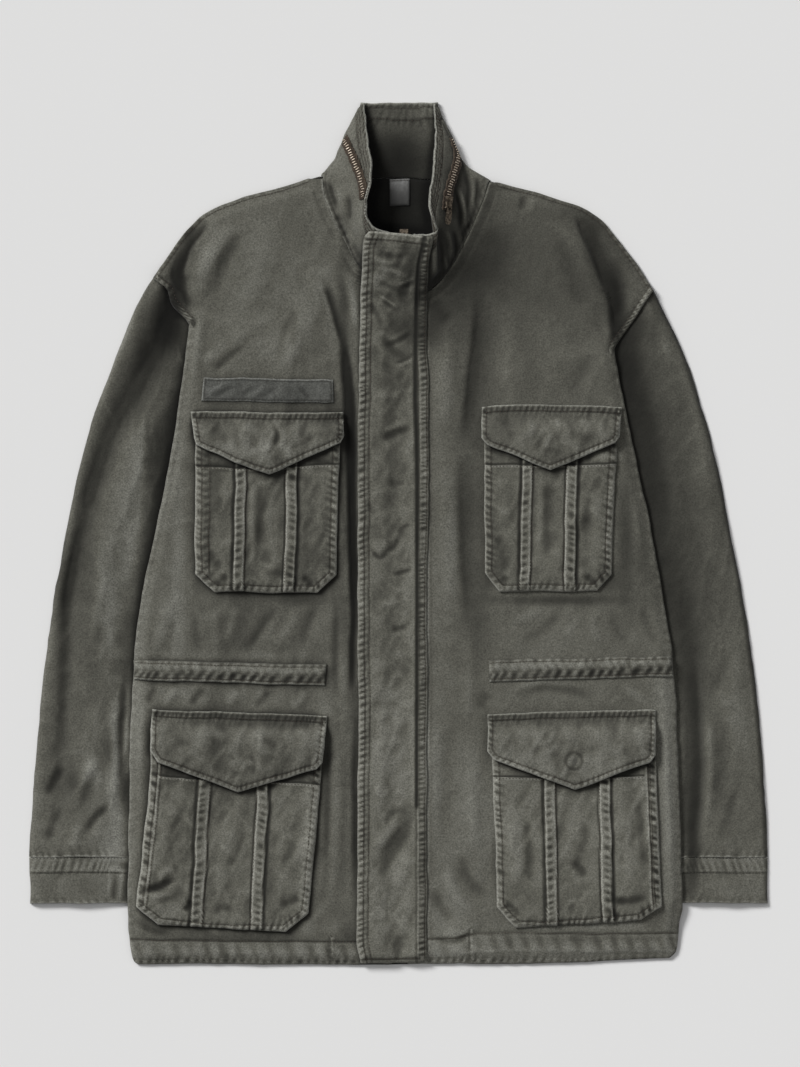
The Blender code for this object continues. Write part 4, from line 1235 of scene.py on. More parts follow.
def patina_group() -> bpy.types.NodeTree:
    """Builds the clouding of rubbed metal and lacquer, duller in patches of noise.

    Returns:
        A group from Place, Scale, Base, Dull and Rough to Color, Roughness and Height.
    """
    n, given, output = start_group(
        "rubbed_patina",
        {"Place": ("Vector", None), "Scale": ("Float", 420.0), "Base": ("Color", None),
         "Dull": ("Color", None), "Rough": ("Float", 0.4)},
        {"Color": "Color", "Roughness": "Float", "Height": "Float"},
    )
    place, scale, rough = given["Place"], given["Scale"], given["Rough"]
    cloud = n.noise(place, scale, 4.0, 0.6)
    n.join(n.blend(n.spread(cloud, 0.35, 0.65, 0.0, 1.0), given["Base"], given["Dull"]), output["Color"])
    n.join(n.spread(cloud, 0.3, 0.7, rough, n.math("ADD", rough, 0.22)), output["Roughness"])
    n.join(n.noise(place, n.math("MULTIPLY", scale, 3.0), 2.0), output["Height"])
    return n.tree


@dataclass(frozen=True)
class ClothFinish:
    """A washed twill: its colours, whose deep one is near black for the painted shade, roughness, sheen and
    how strong its weave is.
    """

    name: str
    base: tuple
    pale: tuple
    deep: tuple
    roughness: float = 0.9
    worn_roughness: float = 0.93
    sheen: float = 0.1
    weave: float = 0.00016
    crumple: float = 0.0016
    turns: float = 1050.0
    fleck: float = 1.0

    def material(self, groups: dict) -> bpy.types.Material:
        """Builds the material from the shared groups.

        Args:
            groups: node groups by name.

        Returns:
            The material.
        """
        made, n, shader = start_material(self.name)
        place = n.add("TexCoord").outputs["Object"]
        wear = n.add("Attribute", attribute_type="GEOMETRY", attribute_name="wear").outputs["Fac"]
        wash = n.group(groups["wash"], {
            "Place": place, "WearShade": wear, "Fleck": self.fleck,
            "Base": (*self.base, 1), "Pale": (*self.pale, 1), "Deep": (*self.deep, 1),
        })
        weave = n.group(groups["twill"], {"Place": place, "Turns": self.turns})
        crumple = n.group(groups["crumple"], {"Place": place})
        soft = n.bump(crumple["Height"], 1.0, self.crumple)
        n.fill_all(shader, {
            "Base Color": wash["Color"],
            "Roughness": n.spread(wash["Worn"], 0.0, 1.0, self.roughness, self.worn_roughness),
            "Normal": n.bump(weave["Height"], 0.6, self.weave, soft),
            "Specular IOR Level": 0.12,
            "Sheen Weight": self.sheen,
            "Sheen Roughness": 0.55,
        })
        return made


@dataclass(frozen=True)
class HardFinish:
    """A metal or lacquer: its colours, roughness and metallic share."""

    name: str
    base: tuple
    dull: tuple
    roughness: float
    metallic: float
    scale: float = 420.0
    grain: float = 0.00006

    def material(self, groups: dict) -> bpy.types.Material:
        """Builds the material from the shared groups.

        Args:
            groups: node groups by name.

        Returns:
            The material.
        """
        made, n, shader = start_material(self.name)
        patina = n.group(groups["patina"], {
            "Place": n.add("TexCoord").outputs["Object"], "Scale": self.scale, "Rough": self.roughness,
            "Base": (*self.base, 1), "Dull": (*self.dull, 1),
        })
        n.fill_all(shader, {
            "Base Color": patina["Color"],
            "Roughness": patina["Roughness"],
            "Metallic": self.metallic,
            "Normal": n.bump(patina["Height"], 0.5, self.grain),
        })
        return made


# Each cloth's deep colour is near black: its painted shade goes towards it.
OLIVE = ClothFinish("olive_twill", (0.100, 0.098, 0.082), (0.25, 0.25, 0.222), (0.0025, 0.0024, 0.002))
OLIVE_POCKET = ClothFinish(
    "olive_twill_pocket", (0.110, 0.108, 0.090), (0.24, 0.238, 0.21), (0.004, 0.0038, 0.0032)
)
PATCH_TWILL = ClothFinish(
    "patch_twill", (0.078, 0.0795, 0.0725), (0.19, 0.193, 0.18), (0.012, 0.012, 0.011),
    weave=0.0001, turns=1500.0,
)
# The back panel's cloth: the olive with a darker deep colour, for the painted shade inside the neck.
INNER_TWILL_PAINTED_SHADE = ClothFinish("inner_twill_painted_shade", (0.100, 0.098, 0.082), (0.25, 0.25, 0.222), (0.0018, 0.0018, 0.0017))
LABEL_SATIN = ClothFinish(
    "label_satin", (0.09, 0.0895, 0.087), (0.34, 0.34, 0.335), (0.03, 0.03, 0.029),
    roughness=0.6, weave=0.00004, crumple=0.0003, turns=2400.0, fleck=0.25,
)
ZIP_TAPE = ClothFinish(
    "zip_tape_brown", (0.045, 0.033, 0.024), (0.10, 0.08, 0.06), (0.012, 0.009, 0.007),
    weave=0.00022, turns=1400.0, crumple=0.0003,
)
THREAD_BROWN = ClothFinish(
    "thread_brown", (0.050, 0.036, 0.026), (0.09, 0.075, 0.06), (0.010, 0.008, 0.006),
    roughness=0.6, turns=2600.0,
)
THREAD_TONAL = ClothFinish(
    "thread_tonal", (0.052, 0.050, 0.041), (0.13, 0.13, 0.115), (0.012, 0.012, 0.010),
    roughness=0.6, turns=2600.0,
)
TEETH_BRASS = HardFinish("teeth_brass", (0.78, 0.68, 0.56), (0.34, 0.27, 0.20), 0.4, 0.35, 900.0)
OLD_BRASS = HardFinish("old_brass", (0.25, 0.205, 0.155), (0.030, 0.023, 0.018), 0.34, 0.85, 520.0)
SNAP_LACQUER = HardFinish("snap_lacquer", (0.085, 0.084, 0.070), (0.06, 0.059, 0.05), 0.5, 0.3)


class Wardrobe:
    """All finishes of the jacket, each built once."""

    def __init__(self) -> None:
        """Builds the groups, the cloth materials and the hard ones."""
        groups = {
            "twill": twill_group(), "wash": wash_group(),
            "crumple": crumple_group(), "patina": patina_group(),
        }
        finishes = (
            OLIVE, OLIVE_POCKET, PATCH_TWILL, INNER_TWILL_PAINTED_SHADE, LABEL_SATIN, ZIP_TAPE, THREAD_BROWN, THREAD_TONAL,
            TEETH_BRASS, OLD_BRASS, SNAP_LACQUER,
        )
        self.by_name = {finish.name: finish.material(groups) for finish in finishes}

    def dress(self, made: bpy.types.Object, finish: ClothFinish | HardFinish) -> None:
        """Gives an object one finish in every material slot.

        Args:
            made: the object.
            finish: its finish.
        """
        material = self.by_name[finish.name]
        if not made.data.materials:
            made.data.materials.append(material)
        for slot in made.material_slots:
            slot.material = material


@dataclass
class Workroom:
    """What every sub-assembly shares: the bench, the needle and the finishes."""

    bench: Bench
    needle: Needle
    wardrobe: Wardrobe
    # Strength of the painted shade in hollows and of the painted light on what stands proud, and the offset
    # towards the light from which the painted cast shadow is read.
    hollow_shade: float = 0.62
    proud: float = 0.12
    lean: tuple = (3.0, 2.2)
    # Greatest depth and height that count, and the range of the paling and painted shade that is left.
    most_hollow: float = 2.6
    most_proud: float = 1.0
    wear_and_shade_range: tuple = (-3.4, 1.5)

    def place(
        self, shell: Shell, node: str, slot: str, finish: ClothFinish, seams: tuple, owner: str
    ) -> bpy.types.Object:
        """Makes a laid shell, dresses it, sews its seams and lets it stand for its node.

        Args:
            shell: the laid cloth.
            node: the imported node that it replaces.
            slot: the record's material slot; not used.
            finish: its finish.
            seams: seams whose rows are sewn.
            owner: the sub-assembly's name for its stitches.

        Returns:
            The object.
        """
        made = shell_object(shell)
        self.adopt(made, node, finish)
        self.sew(made, seams, owner)
        return made

    def adopt(self, made: bpy.types.Object, node: str, finish: ClothFinish) -> None:
        """Dresses a piece and lets it ride on the jacket in the place of a node.

        Args:
            made: the object.
            node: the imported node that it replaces.
            finish: its finish.
        """
        self.wardrobe.dress(made, finish)
        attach(made, "jacket")
        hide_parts(node)
        LOG.info("%s: %d faces", made.name, len(made.data.polygons))

    def paint_hollow_shade(self, names: list) -> None:
        """Paints shade into the hollows between pieces, as a painted cast shadow below and right of raised
        edges, and paints light on what stands proud.

        Args:
            names: names of the cloth objects.
        """
        around = self.bench.around()
        for name in names:
            mesh = bpy.data.objects[name].data
            count = len(mesh.vertices)
            places, normals, wear = np.empty(count * 3), np.empty(count * 3), np.empty(count)
            mesh.vertices.foreach_get("co", places)
            mesh.vertices.foreach_get("normal", normals)
            layer = mesh.attributes["wear"]
            layer.data.foreach_get("value", wear)
            places, normals = places.reshape(-1, 3) / MM, normals.reshape(-1, 3)
            plan = np.stack([places[:, 0] + MIDDLE_ACROSS, MIDDLE_DOWN - places[:, 1]], axis=1)
            # Heights are read here and a little towards the light, so the painted shade falls like a cast
            # shadow.
            low = 0.5 * (self.bench.read(around, plan) + self.bench.read(around, plan - np.array(self.lean)))
            low = low - places[:, 2]
            tone = -self.hollow_shade * np.clip(low, 0, self.most_hollow)
            tone = tone + self.proud * np.clip(-low, 0, self.most_proud)
            wear = np.clip(wear + tone * (normals[:, 2] > 0.05), *self.wear_and_shade_range)
            layer.data.foreach_set("value", wear.astype(np.float32))

    def sew(self, made: bpy.types.Object, seams: tuple, owner: str) -> None:
        """Sews the rows of seams on a piece.

        Args:
            made: the piece.
            seams: its seams.
            owner: the sub-assembly's name for its stitches.
        """
        tree = tree_of(made)
        for seam in seams:
            for row in seam.rows():
                self.needle.sew(owner, tree, row, seam.thread)


# Broad patches of painted shade and painted light: across, down, reach across, reach down, and amount, darker
# below 0 and paler above.
BROAD_PAINTED_LIGHT_AND_SHADE = (
    (545, 268, 84, 92, -0.38), (592, 256, 9, 40, -0.6), (616, 314, 8, 32, -1.8), (610, 302, 14, 26, -0.5),
    (646, 308, 9, 16, 0.5), (181, 268, 7, 24, -0.45), (175, 301, 7, 15, -3.0), (168, 328, 11, 18, -1.9),
    (162, 322, 17, 32, -0.5), (190, 244, 5, 18, -0.8), (175, 243, 7, 14, 0.6), (142, 344, 8, 14, -0.6),
    (142, 362, 17, 12, -0.35), (130, 550, 12, 52, 0.35), (110, 612, 9, 50, 0.35), (140, 482, 8, 40, 0.3),
    (62, 584, 7, 76, -0.4), (86, 560, 14, 90, -0.25), (121, 780, 9, 66, 0.75), (114, 852, 16, 26, 0.45),
    (109, 748, 5, 22, -0.5), (74, 782, 8, 15, -0.4), (95, 776, 7, 14, 0.4), (178, 560, 7, 100, 0.4),
    (136, 690, 9, 60, 0.35), (632, 372, 10, 28, -0.5), (690, 560, 26, 190, -0.12), (664, 700, 13, 60, 0.4),
    (670, 830, 9, 110, 0.4), (626, 545, 9, 56, -0.8), (560, 600, 56, 4.5, -1.0), (486, 520, 6, 70, -0.45),
    (488, 752, 7, 30, -0.5), (608, 580, 10, 12, -0.7), (492, 576, 10, 12, -0.5), (558, 530, 48, 56, -0.3),
    (641, 565, 6, 30, -0.6), (693, 852, 6, 34, -1.0), (716, 560, 26, 80, -0.15), (609, 515, 5, 54, 0.5),
    (455, 530, 6, 56, 0.4), (462, 200, 22, 40, -0.25), (474, 182, 14, 9, -0.8), (484, 204, 10, 22, -0.5),
    (568, 212, 10, 7, -0.5), (367, 150, 6, 70, 0.5), (438, 232, 7, 15, 1.2), (480, 272, 32, 36, -0.5),
    (448, 292, 30, 28, -0.85), (412, 330, 17, 16, -1.2), (438, 328, 14, 20, -0.7),
    (398, 374, 15, 22, -0.45), (382, 280, 18, 10, 0.8), (330, 292, 6, 20, 0.5), (322, 176, 15, 5, -0.7),
    (350, 205, 6, 22, -0.35), (340, 200, 14, 30, -0.1), (356, 288, 5, 46, 0.5), (344, 302, 5, 44, -0.6),
    (294, 334, 4, 16, -0.5), (280, 352, 54, 22, 0.22), (336, 412, 11, 18, -0.35), (352, 445, 4.5, 72, -1.2),
    (354, 452, 4, 34, -1.3), (353.5, 610, 3.2, 90, -0.7), (344, 622, 6, 34, -0.5),
    (464, 480, 16, 170, -0.2), (426.5, 620, 2.6, 330, 1.0), (430.2, 620, 1.8, 330, -0.4),
    (405, 214, 14, 9, -0.6), (474, 650, 18, 54, -0.25), (455, 800, 60, 140, 0.24), (385, 752, 24, 72, 0.45),
    (384, 902, 20, 40, 0.35), (402, 812, 15, 8, -0.5), (388, 848, 10, 15, 0.4), (325, 738, 8, 30, 0.9),
    (318, 800, 9, 46, 0.6), (307, 866, 8, 52, 0.85), (270, 884, 7, 34, -0.6), (158, 890, 14, 4, -0.9),
    (172, 912, 13, 12, 0.6), (312, 520, 20, 50, -0.25), (298, 556, 13, 22, -0.5), (204, 520, 9, 60, -0.35),
    (215, 492, 7, 28, -0.6), (278, 573, 15, 5, -0.8), (322, 558, 8, 8, -0.5), (300, 600, 26, 5, -0.5),
    (500, 560, 13, 30, -0.2), (215, 690, 72, 15, 0.3), (272, 722, 46, 7, -0.6), (160, 778, 13, 10, -0.5),
    (215, 428, 16, 14, -0.3), (325, 425, 10, 12, -0.6), (500, 424, 34, 14, -0.4), (478, 443, 12, 10, -0.4),
    (600, 455, 17, 7, 1.0), (270, 449, 74, 8, 0.35), (225, 467, 26, 4, -0.9), (290, 478, 16, 5, -0.8),
    (320, 461, 14, 4, -0.8), (555, 718, 70, 8, -0.35), (240, 939, 76, 4, -0.45), (240, 928, 76, 4, 0.45),
    (585, 938, 70, 4, -0.3), (585, 926, 70, 5, 0.3), (140, 850, 6, 60, -0.35), (260, 955, 130, 8, 0.4),
    (560, 952, 120, 10, 0.35), (446, 915, 15, 18, 0.3), (350, 935, 7, 18, -0.4), (260, 320, 60, 60, 0.05),
    (210, 262, 8, 18, 0.3), (122, 800, 8, 26, -0.3), (640, 780, 10, 40, 0.15), (505, 770, 12, 16, 0.4),
    (575, 770, 60, 16, 0.2), (521, 850, 5, 26, 0.5), (498, 866, 6, 28, -0.4), (662, 664, 6, 14, -0.4),
    (390, 700, 14, 14, 0.3), (300, 372, 12, 26, 0.25), (230, 656, 80, 5, 0.25), (176, 622, 8, 30, 0.25),
)


def broad_painted_light_and_shade(plan: np.ndarray) -> np.ndarray:
    """Painted shade and painted light of broad patches on the sheet.

    Args:
        plan: places (..., 2).

    Returns:
        The painted light (above 0) and shade (below 0) at each place.
    """
    wear = np.zeros(plan.shape[:-1])
    for across, down, reach_across, reach_down, tone in BROAD_PAINTED_LIGHT_AND_SHADE:
        away = ((plan[..., 0] - across) / reach_across) ** 2 + ((plan[..., 1] - down) / reach_down) ** 2
        wear += tone * np.exp(-away)
    return wear


CREASES = ((Grain(46.0, 21), 1.5), (Grain(21.0, 22), 0.75), (Grain(10.0, 23), 0.3), (Grain(5.0, 24), 0.1))


def washed_creases(plan: np.ndarray) -> np.ndarray:
    """Height of the small uneven creases that washing leaves, about -1 to 1 mm.

    Args:
        plan: places (..., 2).

    Returns:
        The height at each place.
    """
    swirl = DRIFT[0].at(plan * 0.7) - 0.5
    across, down = plan[..., 0], plan[..., 1]
    lean = np.stack([across + 22 * swirl + 0.18 * down, down * 0.62 - 18 * swirl], axis=-1)
    height = np.zeros(plan.shape[:-1])
    for grain, size in CREASES:
        height += size * (0.5 - np.abs(2 * grain.at(lean) - 1) ** 0.8)
    return height * 0.62


def small_creases(plan: np.ndarray) -> np.ndarray:
    """Height of the tight slanting creases of small stitched pieces, about -1 to 1 mm.

    Args:
        plan: places (..., 2).

    Returns:
        The height at each place.
    """
    across, down = plan[..., 0], plan[..., 1]
    slant = np.stack([across * 0.9 + down * 0.5, down * 0.45 - across * 0.35], axis=-1)
    height = np.zeros(plan.shape[:-1])
    for grain, size in ((CREASES[1][0], 0.5), (CREASES[2][0], 0.62), (CREASES[3][0], 0.2)):
        height += size * (0.5 - np.abs(2 * grain.at(slant + 31.0) - 1) ** 0.9)
    return height


def relief_of(plan: np.ndarray, seams: tuple, folds: tuple, crease: float = 1.0) -> tuple:
    """Adds up the height of seams and creases at the places of a plan, with their paling and painted shade.

    Args:
        plan: places (..., 2).
        seams: the piece's seams.
        folds: its table of creases.
        crease: strength of its small creases, none at 1.

    Returns:
        The height and the wear at each place.
    """
    height, wear = fold_relief(folds, plan)
    small = small_creases(plan)
    height = height + washed_creases(plan) + (crease - 1.0) * small
    # Painted shade in the dips of the small creases and painted light on their ridges.
    wear = wear + (crease - 1.0) * 0.35 * small
    # Broad patches of painted light and shade.
    wear = wear + broad_painted_light_and_shade(plan)
    for seam in seams:
        rise, tone = seam.relief(plan)
        height, wear = height + rise, wear + tone
    return height, wear


def edge_distance(plan: np.ndarray, reach: float = 60.0) -> np.ndarray:
    """Distance of each place to the nearest side of its own grid.

    Args:
        plan: places (rows, columns, 2).
        reach: distances beyond this aren't worked out.

    Returns:
        The distance at each place.
    """
    sides = [plan[0], plan[-1], plan[:, 0], plan[:, -1]]
    places = plan.reshape(-1, 2)
    best = np.full(len(places), 1e9)
    for side in sides:
        line = side[:: max(1, len(side) // 60)]
        line = np.vstack([line, side[-1:]])
        near, d, _ = measure(line, places, reach)
        best[near] = np.minimum(best[near], np.abs(d))
    return best.reshape(plan.shape[:-1])


# Sleeves and cuffs

# Creases: start, middle and end as (across, down), half width, height and lean.
SLEEVE_FOLDS = (
    (182, 280, 154, 356, 106, 446, 13.5, -5.8), (128, 396, 98, 474, 77, 542, 10.5, -3.8, 0.1),
    (88, 506, 71, 570, 63, 642, 8.5, -3.6, -0.2), (68, 606, 64, 680, 60, 760, 8, -2.2, -0.2),
    (60, 720, 60, 772, 58, 832, 9, -1.8), (158, 390, 138, 450, 118, 530, 14, 2.4),
    (112, 500, 100, 590, 96, 690, 17, 2.0), (98, 690, 96, 740, 92, 800, 14, 1.6),
    (140, 300, 112, 360, 92, 420, 5.0, 2.2), (84, 440, 66, 540, 54, 640, 5.0, 1.8),
    (118, 690, 112, 760, 116, 830, 7.0, 2.2), (126, 660, 122, 740, 124, 820, 4.0, -2.2),
    (64, 764, 54, 782, 44, 798, 4.5, -1.6), (100, 752, 84, 778, 72, 812, 7.0, 2.4, 0.3),
    (112, 804, 96, 818, 84, 836, 4.0, -1.6), (60, 806, 52, 826, 46, 846, 5.0, -1.2),
    (80, 820, 76, 836, 70, 852, 5.0, 1.2), (636, 356, 656, 450, 670, 560, 10, -2.4, 0.5),
    (676, 540, 690, 640, 696, 760, 11, -3.2, 0.2), (692, 640, 696, 750, 692, 862, 7, -4.6, 0.3),
    (694, 720, 696, 790, 690, 846, 9.0, -2.4), (722, 700, 724, 760, 714, 830, 8.0, -1.6, 0.3),
    (708, 700, 710, 770, 704, 846, 6.0, 2.4), (690, 400, 708, 500, 722, 620, 15, 2.6),
    (722, 600, 736, 690, 742, 790, 13, 2.2), (676, 330, 700, 420, 716, 500, 7.0, 1.6),
    (654, 300, 664, 340, 676, 372, 6.0, 1.4), (732, 640, 722, 672, 712, 700, 6.0, -1.2),
    (738, 780, 730, 812, 722, 846, 6.0, -1.2),
)
# Painted shade on a sleeve in the strip beside the body, which shades it: places down, depths and reaches.
SLEEVE_SHADE = {
    Side.RIGHT: (
        (346, 400, 440, 480, 540, 600, 700, 740), (0, 2.8, 3.0, 2.8, 2.3, 1.8, 0.7, 0),
        (5, 6, 12, 11, 8, 6.5, 6, 6),
    ),
    Side.LEFT: (
        (280, 330, 360, 400, 450, 520, 620, 700), (0.4, 2.4, 3.1, 2.7, 2.0, 1.7, 1.3, 0.2),
        (16, 18, 21, 22, 26, 25, 19, 14),
    ),
}
# Inner corner of each sleeve's cap, and the place down where its rows are level.
SLEEVE_CAP = {Side.RIGHT: ((292, 352), 372), Side.LEFT: ((508, 372), 392)}
CUFF_FOLDS = {
    Side.RIGHT: (
        (119.5, 868, 116.2, 884, 114.2, 904, 1.5, -2.2, -0.5),
        (123.4, 866, 120.4, 884, 118.8, 904, 1.8, 1.2, 0.8),
        (126.6, 866, 125.2, 884, 124.0, 904, 1.3, -1.4), (109.6, 862, 109.4, 882, 109.2, 904, 1.4, 0.6, 0.3),
        (60, 876, 62, 888, 60, 900, 7, 0.5), (90, 874, 88, 888, 92, 902, 9, -0.5),
    ),
    Side.LEFT: ((690, 858, 688, 880, 690, 905, 6, -1.0), (720, 874, 724, 888, 720, 902, 9, 0.5)),
}


@dataclass
class Sleeves:
    """The two sleeves and their cuff bands, flattened tubes tucked under the body."""

    wall: float = 1.5
    cuff_wall: float = 2.0
    least: float = 2.3
    cuff_down: float = 857.3
    cuff_seam_down: float = 857
    end_down: float = 903.2
    under_columns: int = 9
    inner_step: int = 5
    # Shares of the visible width from the outer edge, and heights there.
    crown: tuple = (
        (0.0, 2.6), (0.05, 5.2), (0.2, 6.0), (0.5, 8.2), (0.75, 7.0), (1.0, 4.4), (1.3, 3.8), (4.0, 3.8),
    )
    # Darker rim of the left sleeve, which faces away from the light.
    away_dark: float = 0.7
    away_reach: float = 3.0

    def shares(self, fine: float) -> np.ndarray:
        """Columns from the outer edge (0) to the hidden one (1), close where they show."""
        return axis(100.0, ((0, 6, fine * 0.7), (0, 58, fine)), 5.0) / 100.0

    def row(self, side: Side, down: float, shares: np.ndarray) -> np.ndarray:
        """A level row across a sleeve."""
        across = smooth(SLEEVE_OUTER[side], down) * (1 - shares) + smooth(SLEEVE_HIDDEN[side], down) * shares
        return np.stack([across, np.full_like(shares, down)], axis=1)

    def sleeve_plan(self, side: Side) -> np.ndarray:
        """Places of a sleeve from its armhole seam down to the cuff seam.

        Args:
            side: which sleeve.

        Returns:
            Drifted places (rows, columns, 2).
        """
        seam = ARMHOLE[side]
        corner, cap_down = SLEEVE_CAP[side]
        shares = self.shares(1.15)
        points = [(across + side.inward * 0.5, down - 0.9) for down, across in seam]
        path = np.array(points + [(seam[-1][1] + side.inward * 2, seam[-1][0] + 2.5), corner], float)
        run = run_along(path)
        top = np.stack([np.interp(shares * run[-1], run, path[:, k]) for k in (0, 1)], axis=1)
        level = self.row(side, cap_down, shares)
        rows = [top]
        for share in axis(1.0, ((0.0, 0.05, 0.02),), 0.024)[1:-1]:
            row = top * (1 - share) + level * share
            row[:, 0] += (1 - shares) ** 2 * (smooth(SLEEVE_OUTER[side], row[0, 1]) - row[0, 0])
            rows.append(row)
        length = self.cuff_down - cap_down
        for step in axis(length, ((length, 12, 1.3),), 2.3):
            rows.append(self.row(side, cap_down + step, shares))
        return drifted(np.array(rows))

    def height(self, side: Side, plan: np.ndarray) -> tuple:
        """Height of the upper cloth, crowned where it shows, with its paling and painted shade.

        Args:
            side: which sleeve.
            plan: places (rows, columns, 2).

        Returns:
            The height and the wear at each place.
        """
        down = plan[..., 1]
        edge = smooth(SLEEVE_OUTER[side], down)
        visible = np.abs(joined((ARMHOLE[side], SIDE_SEAM[side]), down) - edge)
        from_edge = np.abs(plan[..., 0] - edge)
        share = from_edge / np.maximum(visible, 24)
        relief, wear = fold_relief(SLEEVE_FOLDS, plan)
        beside = np.maximum(visible - from_edge, 0)
        places, depths, reaches = SLEEVE_SHADE[side]
        depth, reach = np.interp(down, places, depths), np.interp(down, places, reaches)
        # Painted shade beside the body's edge, and along the rim of the left sleeve, which faces away from
        # the light.
        shade = depth * np.exp(-((beside / reach) ** 1.15))
        away = self.away_dark * (side is Side.LEFT) * bell(from_edge, self.away_reach)
        wear = wear - shade - away + broad_painted_light_and_shade(plan)
        relief = relief + 0.8 * washed_creases(plan)
        shown = ease((1.25 - share) / 0.3)
        rim = ease(share * 7)
        top = smooth(self.crown, share) + relief * shown * rim
        wear = wear + worn_and_shaded_by_form(relief)
        return np.maximum(top, self.least + 0.9 * (share < 0.98) * rim), wear * shown

    def tube(
        self, name: str, plan: np.ndarray, top: np.ndarray, wall: float, wear: np.ndarray
    ) -> bpy.types.Object:
        """Makes a flattened tube whose underside lies flat on the surface.

        Args:
            name: name of the piece.
            plan: places (rows, columns, 2) of the upper cloth.
            top: heights of its outer face.
            wall: thickness of the cloth.
            wear: wear of the upper cloth.

        Returns:
            The object.
        """
        columns = plan.shape[1]
        below = [int(k) for k in np.linspace(columns - 2, 1, self.under_columns)]
        outward = plan[:, :1] - plan[:, 1:2]
        outward /= np.linalg.norm(outward, axis=-1, keepdims=True)
        inward = plan[:, -1:] - plan[:, -2:-1]
        inward /= np.linalg.norm(inward, axis=-1, keepdims=True)
        inner_plan = plan.copy()
        inner_plan[:, :1] -= outward * wall
        inner_plan[:, -1:] -= inward * wall
        for k in (1, 2, 3):
            inner_plan[:, k] += (inner_plan[:, :1] - plan[:, :1])[:, 0] * (1 - k / 4)
        inner_top = np.maximum(soften(top, 3) - wall, wall + 0.3)
        outer_top = top.copy()
        outer_top[:, [0, -1]] *= 0.5
        inner_top[:, [0, -1]] = wall + 0.15
        outer = np.concatenate([raised(plan, outer_top), raised(plan[:, below], 0.0)], axis=1)
        inner = np.concatenate([raised(inner_plan, inner_top), raised(inner_plan[:, below], wall)], axis=1)
        worn_and_shade = np.concatenate([wear, np.full((len(plan), len(below)), -0.15)], axis=1)
        return tube_object(name, outer, inner, worn_and_shade, self.inner_step)

    def build(self, room: Workroom) -> None:
        """Builds both sleeves and both cuffs.

        Args:
            room: the shared bench, needle and finishes.
        """
        for side in Side:
            self.build_sleeve(room, side)
        for side in Side:
            self.build_cuff(room, side)

    def build_sleeve(self, room: Workroom, side: Side) -> None:
        """Builds one sleeve, all in one piece round the arm.

        Args:
            room: the shared bench, needle and finishes.
            side: which sleeve.
        """
        plan = self.sleeve_plan(side)
        top, wear = self.height(side, plan)
        line = tuple((across, down) for down, across in ARMHOLE[side])
        outside = -side.inward
        seams = (
            puckers(line, band=1.6, inside=outside, rise=0.2, ladder=0.9, pitch=7.0, tail=5.0, edge=-0.5,
                    seed=11),
            puckers(self.cuff_line(side), band=1.5, inside=outside, rise=0.1, pitch=8.5, tail=7.0, edge=0.7,
                    seed=12),
        )
        relief, tone = relief_of(plan, seams, ())
        top = np.maximum(top + relief, self.least)
        room.bench.lay(plan, top)
        wear = wear + tone + worn_and_shaded_by_form(relief)
        made = self.tube("cloth_sleeve_" + side.value, plan, top, self.wall, wear)
        room.adopt(made, "sleeve_" + side.value, OLIVE)

    def cuff_line(self, side: Side) -> tuple:
        """The seam between sleeve and cuff, from the outer edge inwards.

        Args:
            side: which sleeve.

        Returns:
            Its two ends as (across, down).
        """
        down = self.cuff_seam_down
        start, end = float(smooth(SLEEVE_OUTER[side], down)), float(smooth(SLEEVE_HIDDEN[side], down))
        return ((start, down), (start + (end - start) * 0.8, down))

    def build_cuff(self, room: Workroom, side: Side) -> None:
        """Builds one cuff band with its two stitch rows and its vent folds.

        Args:
            room: the shared bench, needle and finishes.
            side: which cuff.
        """
        shares = self.shares(1.1)
        start = self.cuff_down + 0.4
        downs = start + axis(self.end_down - self.cuff_down - 0.4, ((0, 20, 1.2), (46, 4, 1.2)), 2.2)
        plan = drifted(np.array([self.row(side, down, shares) for down in downs]))
        top, wear = self.height(side, plan)
        top = np.minimum(top * 0.8, 6.2) + 0.6
        line = self.cuff_line(side)
        end_line = tuple((across, self.end_down) for across, _ in line)
        seams = (
            Seam(line, band=15.5, inside=side.inward, rise=0.3, ladder=0.45, pitch=6.6, edge=0.3, ink=0.4,
                 seed=13, thread=Thread.TONAL),
            Seam(end_line, band=2.2, inside=-side.inward, rise=0.3, ladder=0.5, pitch=9, edge=0.3,
                 groove=0.1, sewn=False, seed=14),
        )
        relief, tone = relief_of(plan, seams, CUFF_FOLDS[side])
        top = np.maximum(top + relief, self.least + 0.6)
        wear = wear * 0.5 + tone + worn_and_shaded_by_form(relief) + 0.08
        room.bench.lay(plan, top)
        made = self.tube("cloth_cuff_" + side.value, plan, top, self.cuff_wall, wear)
        room.adopt(made, "cuff_" + side.value, OLIVE)
        first = Seam(line, band=1.4, inside=side.inward, thread=Thread.TONAL)
        room.sew(made, (seams[0], first), "sleeves")


# Back and fronts

BACK_FOLDS = (
    (330, 260, 360, 420, 350, 600, 18, 1.0), (460, 240, 440, 420, 452, 640, 20, 1.1),
    (250, 300, 300, 460, 290, 640, 14, 0.8, 0.3), (540, 320, 500, 480, 520, 660, 14, 0.8, -0.3),
    (220, 600, 330, 640, 420, 620, 10, 0.7), (560, 610, 480, 660, 400, 650, 10, 0.7),
    (300, 720, 320, 820, 310, 930, 16, 0.9), (480, 700, 470, 820, 486, 930, 16, 0.9),
)

